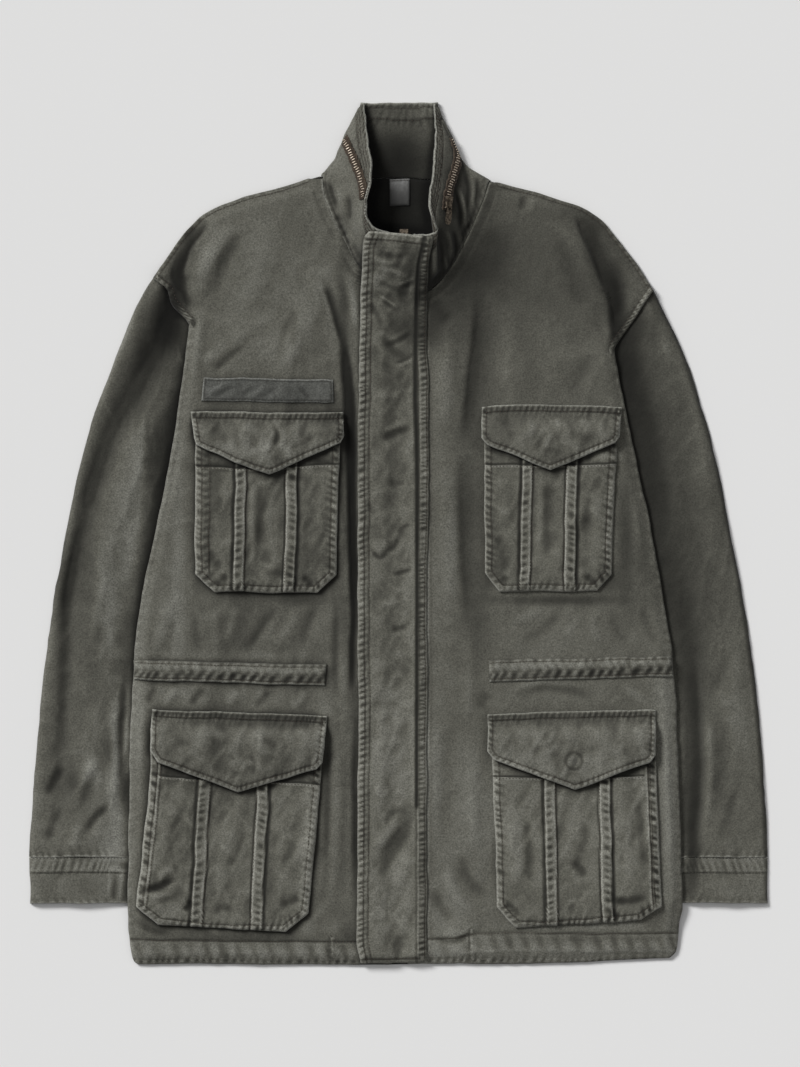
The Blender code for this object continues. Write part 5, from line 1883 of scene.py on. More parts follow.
BODY_FOLDS = (
    # The wearer's right front.
    (213, 217, 187, 250, 172, 290, 8, -6.0, 1.2), (190, 244, 180, 270, 178, 300, 4.5, -3.6, 0.6),
    (181, 262, 182, 286, 190, 316, 5, -3.0, -0.6), (244, 214, 207, 262, 197, 304, 9, 2.6),
    (240, 226, 224, 262, 210, 304, 7, -0.8), (205, 222, 178, 254, 161, 280, 6, 2.0),
    (280, 200, 262, 260, 240, 320, 16, 1.5), (330, 250, 304, 330, 268, 374, 15, 1.9, 0.2),
    (300, 300, 286, 330, 276, 372, 5, -0.8), (290, 318, 296, 340, 292, 362, 5, 0.8),
    (244, 344, 226, 360, 211, 373, 4, -1.2, 0.3), (228, 338, 214, 354, 200, 364, 6, 1.0),
    (200, 306, 196, 340, 190, 380, 7, 1.5), (322, 272, 333, 308, 346, 356, 5, -2.6, -1.0),
    (344, 326, 350, 404, 352, 492, 4.8, -7.6, 0.2), (352, 440, 353, 530, 355, 630, 3.7, -6.8),
    (354, 590, 353, 650, 352, 700, 3.0, -2.4), (342, 262, 352, 300, 357, 336, 5, 1.6),
    (334, 400, 338, 500, 340, 600, 6, 1.8), (184, 380, 167, 476, 150, 576, 7, 2.0),
    (152, 560, 142, 620, 138, 680, 6, 1.4), (279, 602, 262, 628, 243, 655, 5, -1.2, 0.3),
    (302, 606, 286, 632, 272, 652, 6, 1.2), (318, 600, 306, 630, 300, 654, 5, -1.0),
    (196, 608, 196, 632, 200, 654, 5, -0.7), (215, 604, 214, 630, 219, 652, 7, 0.8),
    (176, 590, 164, 622, 156, 654, 8, 1.5), (240, 600, 232, 622, 226, 648, 6, 1.0),
    (337, 586, 336, 640, 336, 706, 4, -0.9), (344, 596, 344, 670, 343, 750, 5, 0.8),
    (356, 700, 355, 800, 355, 912, 3.4, -1.6), (339, 740, 336, 830, 333, 915, 6, 0.9),
    (330, 720, 327, 800, 325, 880, 4, -1.1), (158, 686, 150, 696, 146, 706, 4, -0.9),
    (176, 686, 170, 696, 160, 706, 4, 1.0), (206, 687, 196, 697, 190, 706, 4, -1.1),
    (240, 688, 232, 698, 228, 707, 5, 1.0), (272, 688, 262, 699, 254, 708, 4, -1.0),
    (306, 688, 300, 700, 290, 709, 4, 0.9), (143, 690, 139, 780, 138, 880, 6, 1.1),
    (196, 934, 204, 926, 224, 936, 4, 0.8), (130, 918, 150, 930, 176, 934, 4, -0.9),
    # The wearer's left front.
    (572, 208, 594, 254, 612, 306, 9, -6.5, -1.4), (606, 268, 616, 292, 619, 322, 5, -3.0, -0.8),
    (601, 262, 611, 304, 616, 350, 5, -3.6, -1.3), (588, 224, 620, 262, 642, 292, 7, 2.0),
    (548, 212, 584, 260, 605, 322, 9, 2.6), (552, 226, 572, 268, 583, 316, 8, -1.5),
    (602, 300, 610, 340, 617, 380, 6, 1.6), (524, 193, 523, 202, 522, 213, 3, -1.4),
    (534, 196, 532, 206, 530, 218, 4, 1.0), (500, 216, 492, 262, 478, 300, 20, -3.2, 0.4),
    (480, 282, 474, 370, 463, 452, 9, -4.2, -1.0), (463, 440, 464, 540, 474, 660, 9, -3.0, -0.8),
    (448, 296, 447, 360, 445, 440, 10, 3.0), (446, 430, 447, 530, 450, 640, 9, 2.0),
    (430, 296, 440, 312, 452, 326, 8, -2.6), (500, 300, 510, 350, 506, 398, 12, 1.6),
    (540, 300, 552, 350, 560, 396, 14, 1.2), (592, 350, 580, 376, 570, 398, 6, -0.9),
    (472, 560, 470, 640, 468, 740, 7, 1.4), (630, 470, 638, 540, 646, 620, 7, 1.6),
    (612, 600, 616, 628, 630, 652, 5, -0.8), (596, 604, 594, 628, 602, 650, 6, 1.0),
    (520, 642, 545, 628, 566, 606, 5, -0.8), (508, 626, 530, 614, 548, 604, 5, 0.7),
    (556, 640, 572, 628, 584, 608, 5, 0.7), (640, 600, 650, 628, 660, 650, 5, -1.0),
    (514, 698, 552, 688, 604, 702, 5, -1.6), (508, 690, 540, 684, 580, 688, 4, 1.0),
    (620, 684, 634, 694, 650, 704, 5, 1.0), (490, 690, 484, 700, 480, 712, 5, -1.0),
    (452, 690, 450, 780, 446, 860, 9, -0.9), (438, 700, 436, 790, 436, 870, 7, 0.9),
    (474, 740, 472, 800, 476, 860, 7, 1.3), (460, 850, 468, 878, 490, 902, 6, -1.9, 0.3),
    (446, 862, 452, 888, 470, 914, 6, 1.6), (434, 884, 440, 906, 458, 926, 6, -1.8),
    (428, 937, 456, 942, 475, 929, 3, -1.8, 0.3), (440, 930, 460, 934, 480, 922, 4, 1.2),
    (665, 700, 669, 800, 673, 900, 5, 1.2), (664, 908, 660, 922, 640, 930, 5, -0.9),
)


@dataclass
class Body:
    """The back panel and the two fronts with their turned hems."""

    wall: float = 2.0
    loft: float = 3.4
    top_down: dict = field(default_factory=lambda: {Side.RIGHT: 178.5, Side.LEFT: 182.5})
    back_down: float = 179.0
    back_width: float = 540.0
    hem_down: float = 962.0
    hem_line: dict = field(default_factory=lambda: {
        Side.RIGHT: ((131, 939.5), (200, 940), (300, 941), (356, 941)),
        Side.LEFT: ((418, 938.5), (455, 938.5), (476, 932.5), (560, 933), (640, 933), (681, 932)),
    })
    # Lowest edge of both fronts.
    low_line: tuple = ((690, 962), (400, 964), (125, 964))
    # Upright stitch row that ends each turned hem.
    hem_stop: dict = field(default_factory=lambda: {
        Side.RIGHT: ((334, 940), (334, 962)), Side.LEFT: ((474, 931), (475, 961)),
    })
    centre: dict = field(default_factory=lambda: {Side.RIGHT: 392.0, Side.LEFT: 408.0})
    # Width of each front's inner strip, which lies under the placket and needs no fine columns.
    covered: dict = field(default_factory=lambda: {Side.RIGHT: 34, Side.LEFT: 10})
    grid_width: float = 268.0
    # How far the lower edge hangs below its straight line: places across, and distances.
    hem_sag: tuple = ((130, 150, 530, 600, 680), (1.6, 2.2, 2.2, -1.2, -4.2))

    def build_back(self, room: Workroom) -> None:
        """Builds the back panel, flat on the surface between the sleeves.

        Args:
            room: the shared bench, needle and finishes.
        """
        downs = self.back_down + axis(self.hem_down - self.back_down, ((0, 60, 4),), 6.0)
        width = self.back_width
        shares = axis(width, ((0, 12, 3), (width, 12, 3)), 6.5) / width
        inset_by = np.where((downs > 270) & (downs < 360), 4.5, 0.8)
        start = joined(body_edge(Side.RIGHT), downs) + inset_by
        end = joined(body_edge(Side.LEFT), downs) - inset_by
        top = ease((190 - downs) / 12)
        start, end = start * (1 - top) + 319 * top, end * (1 - top) + 490 * top
        across = start[:, None] * (1 - shares[None]) + end[:, None] * shares[None]
        neck_down = 176.25 + (across - 323) * 5.0 / 166
        rise = ease((192 - downs) / 12)[:, None] * (downs[0] - neck_down)
        plan = drifted(np.stack([across, np.repeat(downs[:, None], len(shares), axis=1) - rise], axis=-1))
        ground = room.bench.drape(plan, 24)
        lift, _ = fold_relief(BACK_FOLDS, plan)
        hem = Seam(((132, 938), (400, 940), (680, 934)), band=1.0, rise=0, ladder=0.25, pitch=9, seed=15,
                   sewn=False)
        plan[..., 1] += np.interp(across, *self.hem_sag) * ease((downs - 890) / 70)[:, None]
        ridge, _ = hem.relief(plan)
        under = ground + np.clip(lift, 0, 1.1) * ease(edge_distance(plan) / 25) - np.clip(ridge, -0.4, 0)
        over = under + self.wall
        # Painted shade on the back panel inside the neck, darkest near its middle.
        neck = ease((64 - np.hypot(plan[..., 0] - 401, plan[..., 1] - 212)) / 24)
        room.bench.lay(plan, over)
        shell = Shell("cloth_back_panel", plan, under, over, -0.2 - 2.6 * neck)
        made = room.place(shell, "back_panel", "olive", INNER_TWILL_PAINTED_SHADE, (), "body")

    def outline(self, side: Side, start: float, end: float, count: int) -> tuple:
        """Points of a front's outer edge between two places down the sheet."""
        downs = np.linspace(start, end, count)
        return tuple(zip(joined(body_edge(side), downs), downs))

    def seams(self, side: Side) -> tuple:
        """The seams of one front: shoulder, armhole, hem and side edge.

        Args:
            side: which front.

        Returns:
            The seams.
        """
        inside = -side.inward
        armhole = ARMHOLE[side]
        shoulder = self.outline(side, self.top_down[side] + 0.5, armhole[0][0], 40)
        below_arm = self.outline(side, armhole[-1][0] + 2, 955, 60)
        arm_line = tuple((across, down) for down, across in armhole)
        neck_line = tuple((across, down) for down, across in NECK[side][:-1])
        hem_line = self.hem_line[side]
        return (
            Seam(shoulder, band=3.4, inside=inside, rise=0.3, ladder=0.4, pitch=8, edge=0.05, groove=0.25,
                 seed=21, tail=3, ink=0.3),
            Seam(arm_line, band=5.5, inside=inside, ladder=1.1, edge=-0.3, seed=22),
            puckers(neck_line, band=1.6, inside=-inside, rise=0.1, ladder=0.25, pitch=9, edge=0.6, seed=23,
                    tail=6),
            Seam(hem_line, band=0.6, rise=0.0, ladder=0.0, edge=-0.35, seed=24, pitch=9, tail=2),
            puckers(hem_line, band=19.0, rise=0.3, ladder=0.45, edge=0.1, seed=25, pitch=17, tail=3,
                    slant=-0.3),
            puckers(self.low_line, band=4.0, rise=0.1, ladder=0.8, pitch=8, edge=0.0, seed=28),
            puckers(below_arm, band=2.4, inside=inside, rise=0.2, ladder=0.3, pitch=11, edge=0.05, seed=26),
            Seam(self.hem_stop[side], band=4.5, rise=0.5, ladder=0.3, edge=-0.4, seed=27,
                 thread=Thread.TONAL),
        )

    def build_front(self, room: Workroom, side: Side) -> None:
        """Builds one front from the shoulder to the turned hem.

        Args:
            room: the shared bench, needle and finishes.
            side: which front.
        """
        start = self.top_down[side]
        neck = NECK[side]
        length = self.hem_down - start
        downs = start + axis(length, ((0, 112, 1.5), (length, 28, 1.25)), 2.25)
        outer = joined(body_edge(side), downs)
        inner = np.where(downs < neck[-1][0], smooth(neck, downs), self.centre[side])
        inner = inner + side.inward * 0.9 * (downs < neck[-1][0])
        width = self.grid_width
        shares = axis(width, ((0, 9, 1.3), (0, width - self.covered[side], 2.15)), 5.0) / width
        across = outer[:, None] * (1 - shares[None]) + inner[:, None] * shares[None]
        sag = np.interp(across, *self.hem_sag) * ease((downs - 890) / 70)[:, None]
        plan = drifted(np.stack([across, downs[:, None] + sag], axis=-1))
        seams = self.seams(side)
        relief, tone = relief_of(plan, seams, BODY_FOLDS)
        base = room.bench.drape(plan, 34)
        gap = edge_distance(plan)
        by_neck = bell(plan[..., 0] - inner[:, None], 24) * ease((322 - plan[..., 1]) / 24)
        beside = bell(plan[..., 0] - inner[:, None], 15) * ease((312 - plan[..., 1]) / 24)
        fade = np.maximum(ease(gap / 13), by_neck)
        loft = np.maximum(self.loft + np.clip(relief, -9, 9) + 1.6 * beside, 0.15)
        small = relief * ease((8 - gap) / 5)
        under = base + loft * fade
        over = under + self.wall + np.clip(small * (1 - fade), -0.9, 1.2)
        under = np.minimum(under, over - 0.8)
        wear = tone + worn_and_shaded_by_form(relief)
        over = rounded(over, under, "tbl")
        room.bench.lay(plan, over)
        shell = Shell("cloth_front_" + side.value, plan, under, over, wear)
        made = room.place(shell, "front_" + side.value, "olive", OLIVE, seams, "body")


# Collar

# Points of each flank's seam and top edge, from the front to the back: across, down, height.
COLLAR_SEAM = {
    Side.RIGHT: (
        (391, 291.5, 8), (362, 270, 8), (347, 244, 8.5), (334, 218, 8), (325, 197, 7.5), (322.2, 184, 7),
        (323, 176, 6),
    ),
    Side.LEFT: (
        (409.6, 299.5, 8), (423.5, 294.2, 8), (432, 288.4, 8), (447, 271.5, 8.5), (461.5, 248.5, 8),
        (475.5, 220, 7.5), (484, 199, 7), (489, 181, 6),
    ),
}
COLLAR_TOP = {
    Side.RIGHT: (
        (390, 233, 32), (376, 228.5, 36), (367, 217, 37), (366, 200, 36), (370.5, 179, 32), (371.5, 160, 26),
        (367, 133, 15), (363, 102.8, 6.2),
    ),
    Side.LEFT: (
        (414, 234, 32), (428, 234.3, 35), (437.5, 229.5, 36.5), (433.8, 218, 37), (430.6, 205, 36),
        (431, 187, 32), (433.5, 166, 26), (436, 140, 16), (438.5, 103, 6.2),
    ),
}
COLLAR_FOLDS = (
    (334, 206, 342, 226, 352, 246, 3.2, -1.5), (329, 178, 333, 196, 339, 212, 3.0, -2.2),
    (336, 186, 344, 204, 350, 226, 4.0, 1.6), (348, 192, 350, 208, 348, 226, 4.0, -2.2, 0.2),
    (356, 196, 358, 216, 360, 240, 4.0, 1.4), (352, 240, 358, 252, 362, 262, 3.0, -1.0),
    (340, 214, 346, 222, 354, 230, 2.6, -0.8), (344, 232, 350, 236, 357, 240, 2.4, 0.8),
    (452, 186, 460, 208, 462, 236, 2.6, -1.9), (457, 184, 464, 206, 465, 230, 2.2, 1.3),
    (464, 168, 468, 190, 468, 216, 2.6, -1.2), (471, 170, 473, 190, 471, 212, 2.2, 1.2),
    (476, 174, 478, 190, 475, 206, 2.4, -1.4), (446, 226, 450, 246, 448, 262, 2.6, 1.4),
    (453, 228, 456, 244, 454, 258, 2.2, -1.4), (438, 236, 441, 254, 440, 270, 2.2, -1.3),
    (432, 240, 434, 260, 434, 280, 2.4, 1.2), (428, 286, 436, 275, 446, 266, 2.4, -1.5),
    (441, 250, 445, 264, 446, 274, 2.2, 1.0), (460, 240, 465, 230, 471, 220, 2.0, -1.2),
    (452, 262, 458, 250, 464, 240, 2.0, 0.9),
)


@dataclass
class Collar:
    """The stand collar, turned over at each side and flat across the back of the neck."""

    wall: float = 2.8
    turn_radius: float = 2.4
    turn_lines: int = 5
    bulge: float = 5.0
    flank_stations: int = 121
    back_stations: int = 37
    rows: int = 40
    stitch_rows: tuple = (5.0, 9.5, 13.5, 17.0)
    seam_row: float = 4.5
    left_hollow: float = 7.0
    # How far each turned end is drawn in: shares of its height, and distances.
    drawn_in: dict = field(default_factory=lambda: {
        Side.RIGHT: ((0, 0.11, 0.22, 0.33, 0.55, 0.78, 1), (0, 3.4, 6.4, 5.0, 3.7, 2.6, 1.8)),
        Side.LEFT: ((0, 0.065, 0.17, 0.27, 0.38, 0.58, 0.79, 1), (0, 6.0, 12.8, 12.2, 9.0, 5.2, 4.8, 4.0)),
    })

    def flank(self, side: Side) -> np.ndarray:
        """Middle surface of one flank, between its seam and its top edge.

        Args:
            side: which flank.

        Returns:
            Points (stations, rows, 3).
        """
        share, along = np.linspace(0, 1, self.rows), np.linspace(0, 1, self.flank_stations)[:, None]
        seam = even_curve(COLLAR_SEAM[side], self.flank_stations)
        top = even_curve(COLLAR_TOP[side], self.flank_stations)
        lines = seam[:, None] * (1 - share[None, :, None]) + top[:, None] * share[None, :, None]
        lines[..., 2] += self.bulge * np.sin(math.pi * share) * np.maximum(np.sin(math.pi * along), 0) ** 0.7
        if side is Side.LEFT:
            lines[..., 0] -= self.left_hollow * (np.sin(math.pi * share)[None] * along**4)
        lines[..., 0] += side.inward * (np.interp(share, *self.drawn_in[side])[None] * along**6)
        return lines

    def turn(self, edge: np.ndarray, outward: int) -> np.ndarray:
        """Lines round the turned end of a flank, from its edge down to the back.

        Args:
            edge: the flank's last station.
            outward: direction across, away from the neck.

        Returns:
            Points (lines, rows, 3).
        """
        lines = []
        for angle in np.linspace(0, math.pi, self.turn_lines + 2)[1:-1]:
            line = edge.copy()
            middle = (edge[:, 2] + self.wall / 2) / 2
            line[:, 2] = middle + (edge[:, 2] - middle) * math.cos(angle)
            line[:, 0] += outward * self.turn_radius * math.sin(angle)
            lines.append(line)
        return np.array(lines)

    def grid(self) -> np.ndarray:
        """Middle surface of the band, from the right front end round to the left one.

        Returns:
            Points (stations, rows, 3).
        """
        right, left = self.flank(Side.RIGHT), self.flank(Side.LEFT)
        back_right, back_left = right[-1].copy(), left[-1].copy()
        back_right[:, 2] = back_left[:, 2] = self.wall / 2
        along = np.linspace(0, 1, self.back_stations)[:, None, None]
        back = back_right[None] * (1 - along) + back_left[None] * along
        turns = self.turn(right[-1], -1), self.turn(left[-1], 1)[::-1]
        return np.concatenate([right, turns[0], back, turns[1], left[::-1]])

    def uneven(self, grid: np.ndarray) -> np.ndarray:
        """The same surface with drifted places and a slightly wavy top edge.

        Args:
            grid: the middle surface.

        Returns:
            The moved surface.
        """
        flat = drifted(grid[..., :2])
        brim = np.linspace(0, 1, self.rows)[None, :, None] ** 8
        wavy = np.stack([lumps(np.arange(len(grid)) / 4.2, seed) - 0.5 for seed in (48, 49)], axis=-1)
        return np.concatenate([flat + brim * wavy[:, None], grid[..., 2:]], axis=-1)

    def normals(self, grid: np.ndarray) -> np.ndarray:
        """Outward directions of the middle surface.

        Args:
            grid: the middle surface.

        Returns:
            Unit vectors (stations, rows, 3).
        """
        normal = np.cross(np.gradient(grid, axis=0), np.gradient(grid, axis=1))
        normal /= np.maximum(np.linalg.norm(normal, axis=-1, keepdims=True), 1e-9)
        middle_row = self.rows // 2
        return -normal if normal[middle_row, middle_row, 2] < 0 else normal

    def relief(self, grid: np.ndarray, height: np.ndarray, on_back: np.ndarray) -> tuple:
        """Height of the folds, stitch rows, puckers and rubbed edges of the band, with paler edges and
        painted shade in the folds and pucker dips.

        Args:
            grid: the middle surface.
            height: distances from the neck seam.
            on_back: which stations lie across the back of the neck.

        Returns:
            The height and the wear at each place.
        """
        from_top = height[:, -1:] - height
        run = run_along(grid[:, -1])[:, None]
        relief, wear = fold_relief(COLLAR_FOLDS, grid[..., :2])
        relief, wear = relief * ~on_back, wear * ~on_back
        for k, distance in enumerate(self.stitch_rows):
            row = bell(from_top - distance, ROW_HALF)
            shown = ~on_back | (k in (0, len(self.stitch_rows) - 1))
            relief -= 0.6 * row * shown
            wear -= 0.75 * row * shown
        by_edge = ease((from_top - 0.4) / 1.2) * ease((6.5 - from_top) / 2.5)
        by_rows = ease((from_top - 5.5) / 2) * ease((21 - from_top) / 4)
        gathered = bell(from_top - 20, 4.5) + 0.6 * bell(from_top - 10, 3.5)
        # Puckers, with painted shade in their dips.
        for wave, where, depth, dark in (
            (ladder_wave(run + 0.3 * from_top, 6.0, 41), by_edge, 0.9, 0.85),
            (ladder_wave(run + 0.2 * from_top, 8.5, 45), by_rows, 0.4, 0.2),
            (ladder_wave(run + 0.15 * from_top, 5.8, 47) * on_back, gathered, 0.6, 0.55),
        ):
            relief -= depth * wave * where
            wear -= dark * wave * where
        # Puckers along the neck seam, with painted shade in their dips.
        seam_wave = ladder_wave(run * 0.9 + 0.6 * height, 7.5, 43)
        near_seam = bell(height, 8.0) * ~on_back
        relief -= 0.8 * seam_wave * near_seam * ease(height / 2)
        wear += (-0.45 * seam_wave + 0.1) * near_seam
        seam_row = bell(height - self.seam_row, ROW_HALF) * ~on_back
        relief -= 0.5 * seam_row
        wear -= 0.4 * seam_row
        wear += 1.2 * bell(from_top, 1.5) + 0.9 * bell(height, 1.0) * ~on_back
        return relief, wear

    def build(self, room: Workroom) -> None:
        """Builds the collar with its stitch rows, puckers and pale rubbed top edge.

        Args:
            room: the shared bench, needle and finishes.
        """
        grid = self.uneven(self.grid())
        normal = self.normals(grid)
        edge_normal = normal.copy()
        edge_normal[:, 0] = (0, 0, 1) * np.sign(normal[:, 0, 2:3])
        steps = np.linalg.norm(np.diff(grid, axis=1), axis=-1)
        height = np.concatenate([np.zeros((len(grid), 1)), np.cumsum(steps, axis=1)], axis=1)
        count = self.flank_stations + self.turn_lines
        on_back = np.zeros((len(grid), 1), bool)
        on_back[count:-count] = True
        relief, wear = self.relief(grid, height, on_back)
        outer = grid + edge_normal * (self.wall / 2 + np.where(on_back, 0.0, relief))[..., None]
        inner = grid - edge_normal * (self.wall / 2)
        inner[..., 2] += np.where(on_back & (normal[..., 2] < 0), np.clip(relief, -0.9, 0.4), 0)
        for face in (outer, inner):
            room.bench.lay(face[..., :2], face[..., 2])
        self.outer, self.normal = outer, normal
        from_top = height[:, -1:] - height
        made = self.mesh(inner, outer, wear, on_back, from_top)
        room.adopt(made, "collar", OLIVE)
        self.sew(room, made, grid, from_top)

    def mesh(
        self, inner: np.ndarray, outer: np.ndarray, wear: np.ndarray, on_back: np.ndarray,
        from_top: np.ndarray,
    ) -> bpy.types.Object:
        """Makes the closed band from its two faces.

        Args:
            inner: points of the inner face.
            outer: points of the outer face.
            wear: wear of the outer face.
            on_back: which stations lie across the back of the neck.
            from_top: distances from the top edge.

        Returns:
            The object.
        """
        stations, rows = outer.shape[:2]
        number = np.arange(stations * rows).reshape(stations, rows)
        faces = [
            grid_faces(stations, rows, 0, True),
            grid_faces(stations, rows, stations * rows, False),
            rim_faces(border(number), border(number + stations * rows), 1),
        ]
        # The inner face: painted shade inside the collar and down into the neck, lighter towards the right,
        # with a pale rubbed top edge.
        inner_wear_and_shade = np.where(on_back, wear - 0.25, -0.75 + 1.55 * bell(from_top, 2.0))
        inner_wear_and_shade = inner_wear_and_shade - on_back * np.clip((from_top - 14) / 40, 0, 1.1)
        across = inner[..., 0]
        middle = 0.75 * bell(across - 396, 18) * ease((from_top - 24) / 26)
        inner_wear_and_shade = inner_wear_and_shade + on_back * (0.5 * ease((across - 408) / 22) - middle)
        points = np.concatenate([outer.reshape(-1, 3), inner.reshape(-1, 3)])
        worn_and_shade = np.concatenate([wear.ravel(), inner_wear_and_shade.ravel()])
        made = make_object("cloth_collar", to_world(points), np.concatenate(faces), worn_and_shade)
        turn_outward(made)
        return made

    def sew(self, room: Workroom, made: bpy.types.Object, grid: np.ndarray, from_top: np.ndarray) -> None:
        """Sews the rows along the top edge of the flanks and of the back.

        Args:
            room: the shared bench, needle and finishes.
            made: the collar.
            grid: the middle surface.
            from_top: distances from the top edge.
        """
        tree = tree_of(made)
        count = self.flank_stations
        across_back = slice(count + self.turn_lines + 1, -count - self.turn_lines - 1)
        for distance in self.stitch_rows:
            column = np.abs(from_top - distance).argmin(axis=1)
            line = grid[np.arange(len(grid)), column, :2]
            parts = [line[:count], line[-count:]]
            if distance in (self.stitch_rows[0], self.stitch_rows[-1]):
                parts.append(line[across_back])
            for part in parts:
                room.needle.sew("collar", tree, part, Thread.BROWN)

    def on_flank(self, places: np.ndarray) -> tuple:
        """Points and normals of the flanks' outer face over places on the sheet.

        Args:
            places: the places (..., 2).

        Returns:
            The nearest points and their normals, each (..., 3).
        """
        count = self.flank_stations
        parts = [slice(0, count), slice(-count, None)]
        points = np.concatenate([self.outer[p].reshape(-1, 3) for p in parts])
        normals = np.concatenate([self.normal[p].reshape(-1, 3) for p in parts])
        flat = np.asarray(places, float).reshape(-1, 2)
        near = [int(np.argmin(((points[:, :2] - spot) ** 2).sum(axis=1))) for spot in flat]
        shape = np.shape(places)[:-1] + (3,)
        return points[near].reshape(shape), normals[near].reshape(shape)


# Small cloth pieces


@dataclass(frozen=True)
class Pleat:
    """A pressed pleat: a strip with a free folded edge on one side and sewn on the other."""

    free: tuple
    sewn: tuple
    lift: float = 1.5
    pitch: float = 7.8
    seed: int = 61

    def relief(self, plan: np.ndarray) -> tuple:
        """Height that the pleat adds at the places of a plan, with paler folded edges, painted shadow beside
        them and painted shade in its pucker dips.

        Args:
            plan: places (..., 2).

        Returns:
            The height and the wear at each place.
        """
        places = plan.reshape(-1, 2)
        height, wear = np.zeros(len(places)), np.zeros(len(places))
        line = drifted(even_line(np.array(self.free, float), 40))
        other = drifted(even_line(np.array(self.sewn, float), 40))
        width = float(np.abs(other[:, 0] - line[:, 0]).mean())
        near, signed, along = measure(line, places, width + 12)
        _, toward, _ = measure(line, other[20:21], 200.0)
        t = signed * (1 if toward[0] > 0 else -1)
        step = ease((t + 0.5) / 1.1)
        body = step * ease((width + 0.6 - t) / 1.2)
        wave = ladder_wave(along + 0.3 * t, self.pitch, self.seed)
        by_fold = bell(t - 0.36 * width, 0.33 * width)
        height[near] = self.lift * body * (1 - 0.3 * np.clip(t / width, 0, 1)) - 1.0 * wave * by_fold
        height[near] -= 0.5 * bell(t + 1.6, 1.8) + 0.6 * bell(t - width, 0.8)
        # Paler edges of the pleat, with painted shadow just beside each, and painted shade in the pucker
        # dips.
        wear[near] = 1.0 * bell(t - 0.7, 0.9) - 1.3 * bell(t + 1.5, 1.6)
        wear[near] += 1.25 * bell(t - width + 1.0, 0.8) - 1.2 * bell(t - width - 0.8, 0.8)
        wear[near] += 0.3 * body - 1.5 * wave * by_fold
        return height.reshape(plan.shape[:-1]), wear.reshape(plan.shape[:-1])

    def row(self) -> np.ndarray:
        """The stitch row beside the sewn edge."""
        return drifted(even_line(np.array(self.sewn, float), 60))


def swell(plan: np.ndarray, places: tuple, radius: float, height: float) -> tuple:
    """Height of round swellings over covered snaps, each with a paler top and a ring of painted shade round
    it, darker on one side.

    Args:
        plan: places (..., 2).
        places: middles of the snaps.
        radius: radius of a swelling.
        height: height of a swelling.

    Returns:
        The height and the wear at each place.
    """
    relief, wear = np.zeros(plan.shape[:-1]), np.zeros(plan.shape[:-1])
    for k, place in enumerate(places):
        away = plan - np.array(place, float)
        r = np.hypot(away[..., 0], away[..., 1])
        turn = np.arctan2(away[..., 1], away[..., 0])
        dome = ease((1.3 - r / radius) / 0.55)
        pull = bell(r - 1.75 * radius, 0.65 * radius) * (0.5 + 0.5 * np.sin(7 * turn + k))
        relief += height * dome - 0.2 * height * pull
        ring = bell(r - 1.15 * radius, 0.22 * radius)
        # Painted light on the top of each swelling and painted shade in a ring round it.
        wear += 0.14 * ease((1.0 - r / radius) / 0.3) - ring * (0.02 + 0.05 * np.cos(turn - 0.9))
    return relief, wear


@dataclass(frozen=True)
class Pattern:
    """A laid cloth piece: where it lies, how thick it is, and its seams, creases and pleats."""

    node: str
    slot: str
    wall: float
    flat: tuple
    held: str = "laid"
    loft: float = 1.0
    fade: float = 10.0
    rounds: int = 5
    crease: float = 1.9
    lift: float = 0.0
    lift_from: float = 0.0
    seams: tuple = ()
    folds: tuple = ()
    pleats: tuple = ()
    snaps: tuple = ()
    snap_radius: float = 7.2
    snap_height: float = 0.55
    tone: float = 0.0
    finish: ClothFinish = OLIVE
    rests_on: tuple = ()

    @property
    def name(self) -> str:
        """The piece's name in the scene."""
        return "cloth_" + self.node

    def lay(self, room: Workroom, plan: np.ndarray, extra: tuple = (0.0, 0.0), owner: str = "body",
            under: np.ndarray | None = None) -> bpy.types.Object:
        """Lays the piece on what is under it, dresses it and sews it.

        Args:
            room: the shared bench, needle and finishes.
            plan: places of its grid.
            extra: more height and wear.
            owner: the sub-assembly's name.
            under: heights of the underside where the bench doesn't give them.

        Returns:
            The object.
        """
        relief, wear = relief_of(plan, self.seams, self.folds, self.crease)
        for pleat in self.pleats:
            rise, tone = pleat.relief(plan)
            relief, wear = relief + rise, wear + tone
        rise, tone = swell(plan, self.snaps, self.snap_radius, self.snap_height)
        relief, wear = relief + rise + extra[0], wear + tone + extra[1] + self.tone
        base = room.bench.drape(plan, self.rounds) if under is None else under
        gap = edge_distance(plan)
        share = ease(gap / self.fade)
        run = np.concatenate([[0], np.cumsum(np.linalg.norm(np.diff(plan, axis=0), axis=-1).mean(axis=1))])
        base = base + self.lift * ease((run - self.lift_from) / 14)[:, None]
        low = base + (self.loft + np.maximum(relief, -self.loft) * 0.8) * share
        over = low + self.wall + relief * (1 - 0.8 * share)
        over = np.maximum(over, low + 0.5)
        wear = wear + worn_and_shaded_by_form(relief)
        over = rounded(over, low)
        room.bench.lay(plan, over)
        shell = Shell(self.name, plan, low, over, wear)
        made = room.place(shell, self.node, self.slot, self.finish, self.seams, owner)
        if self.pleats:
            tree = tree_of(made)
            for pleat in self.pleats:
                room.needle.sew(owner, tree, pleat.row(), Thread.BROWN)
        area = sum(p.area for p in made.data.polygons) / 2
        LOG.info("%s: half surface %.5f, flat %.5f", self.name, area, self.flat[0] * self.flat[1])
        return made


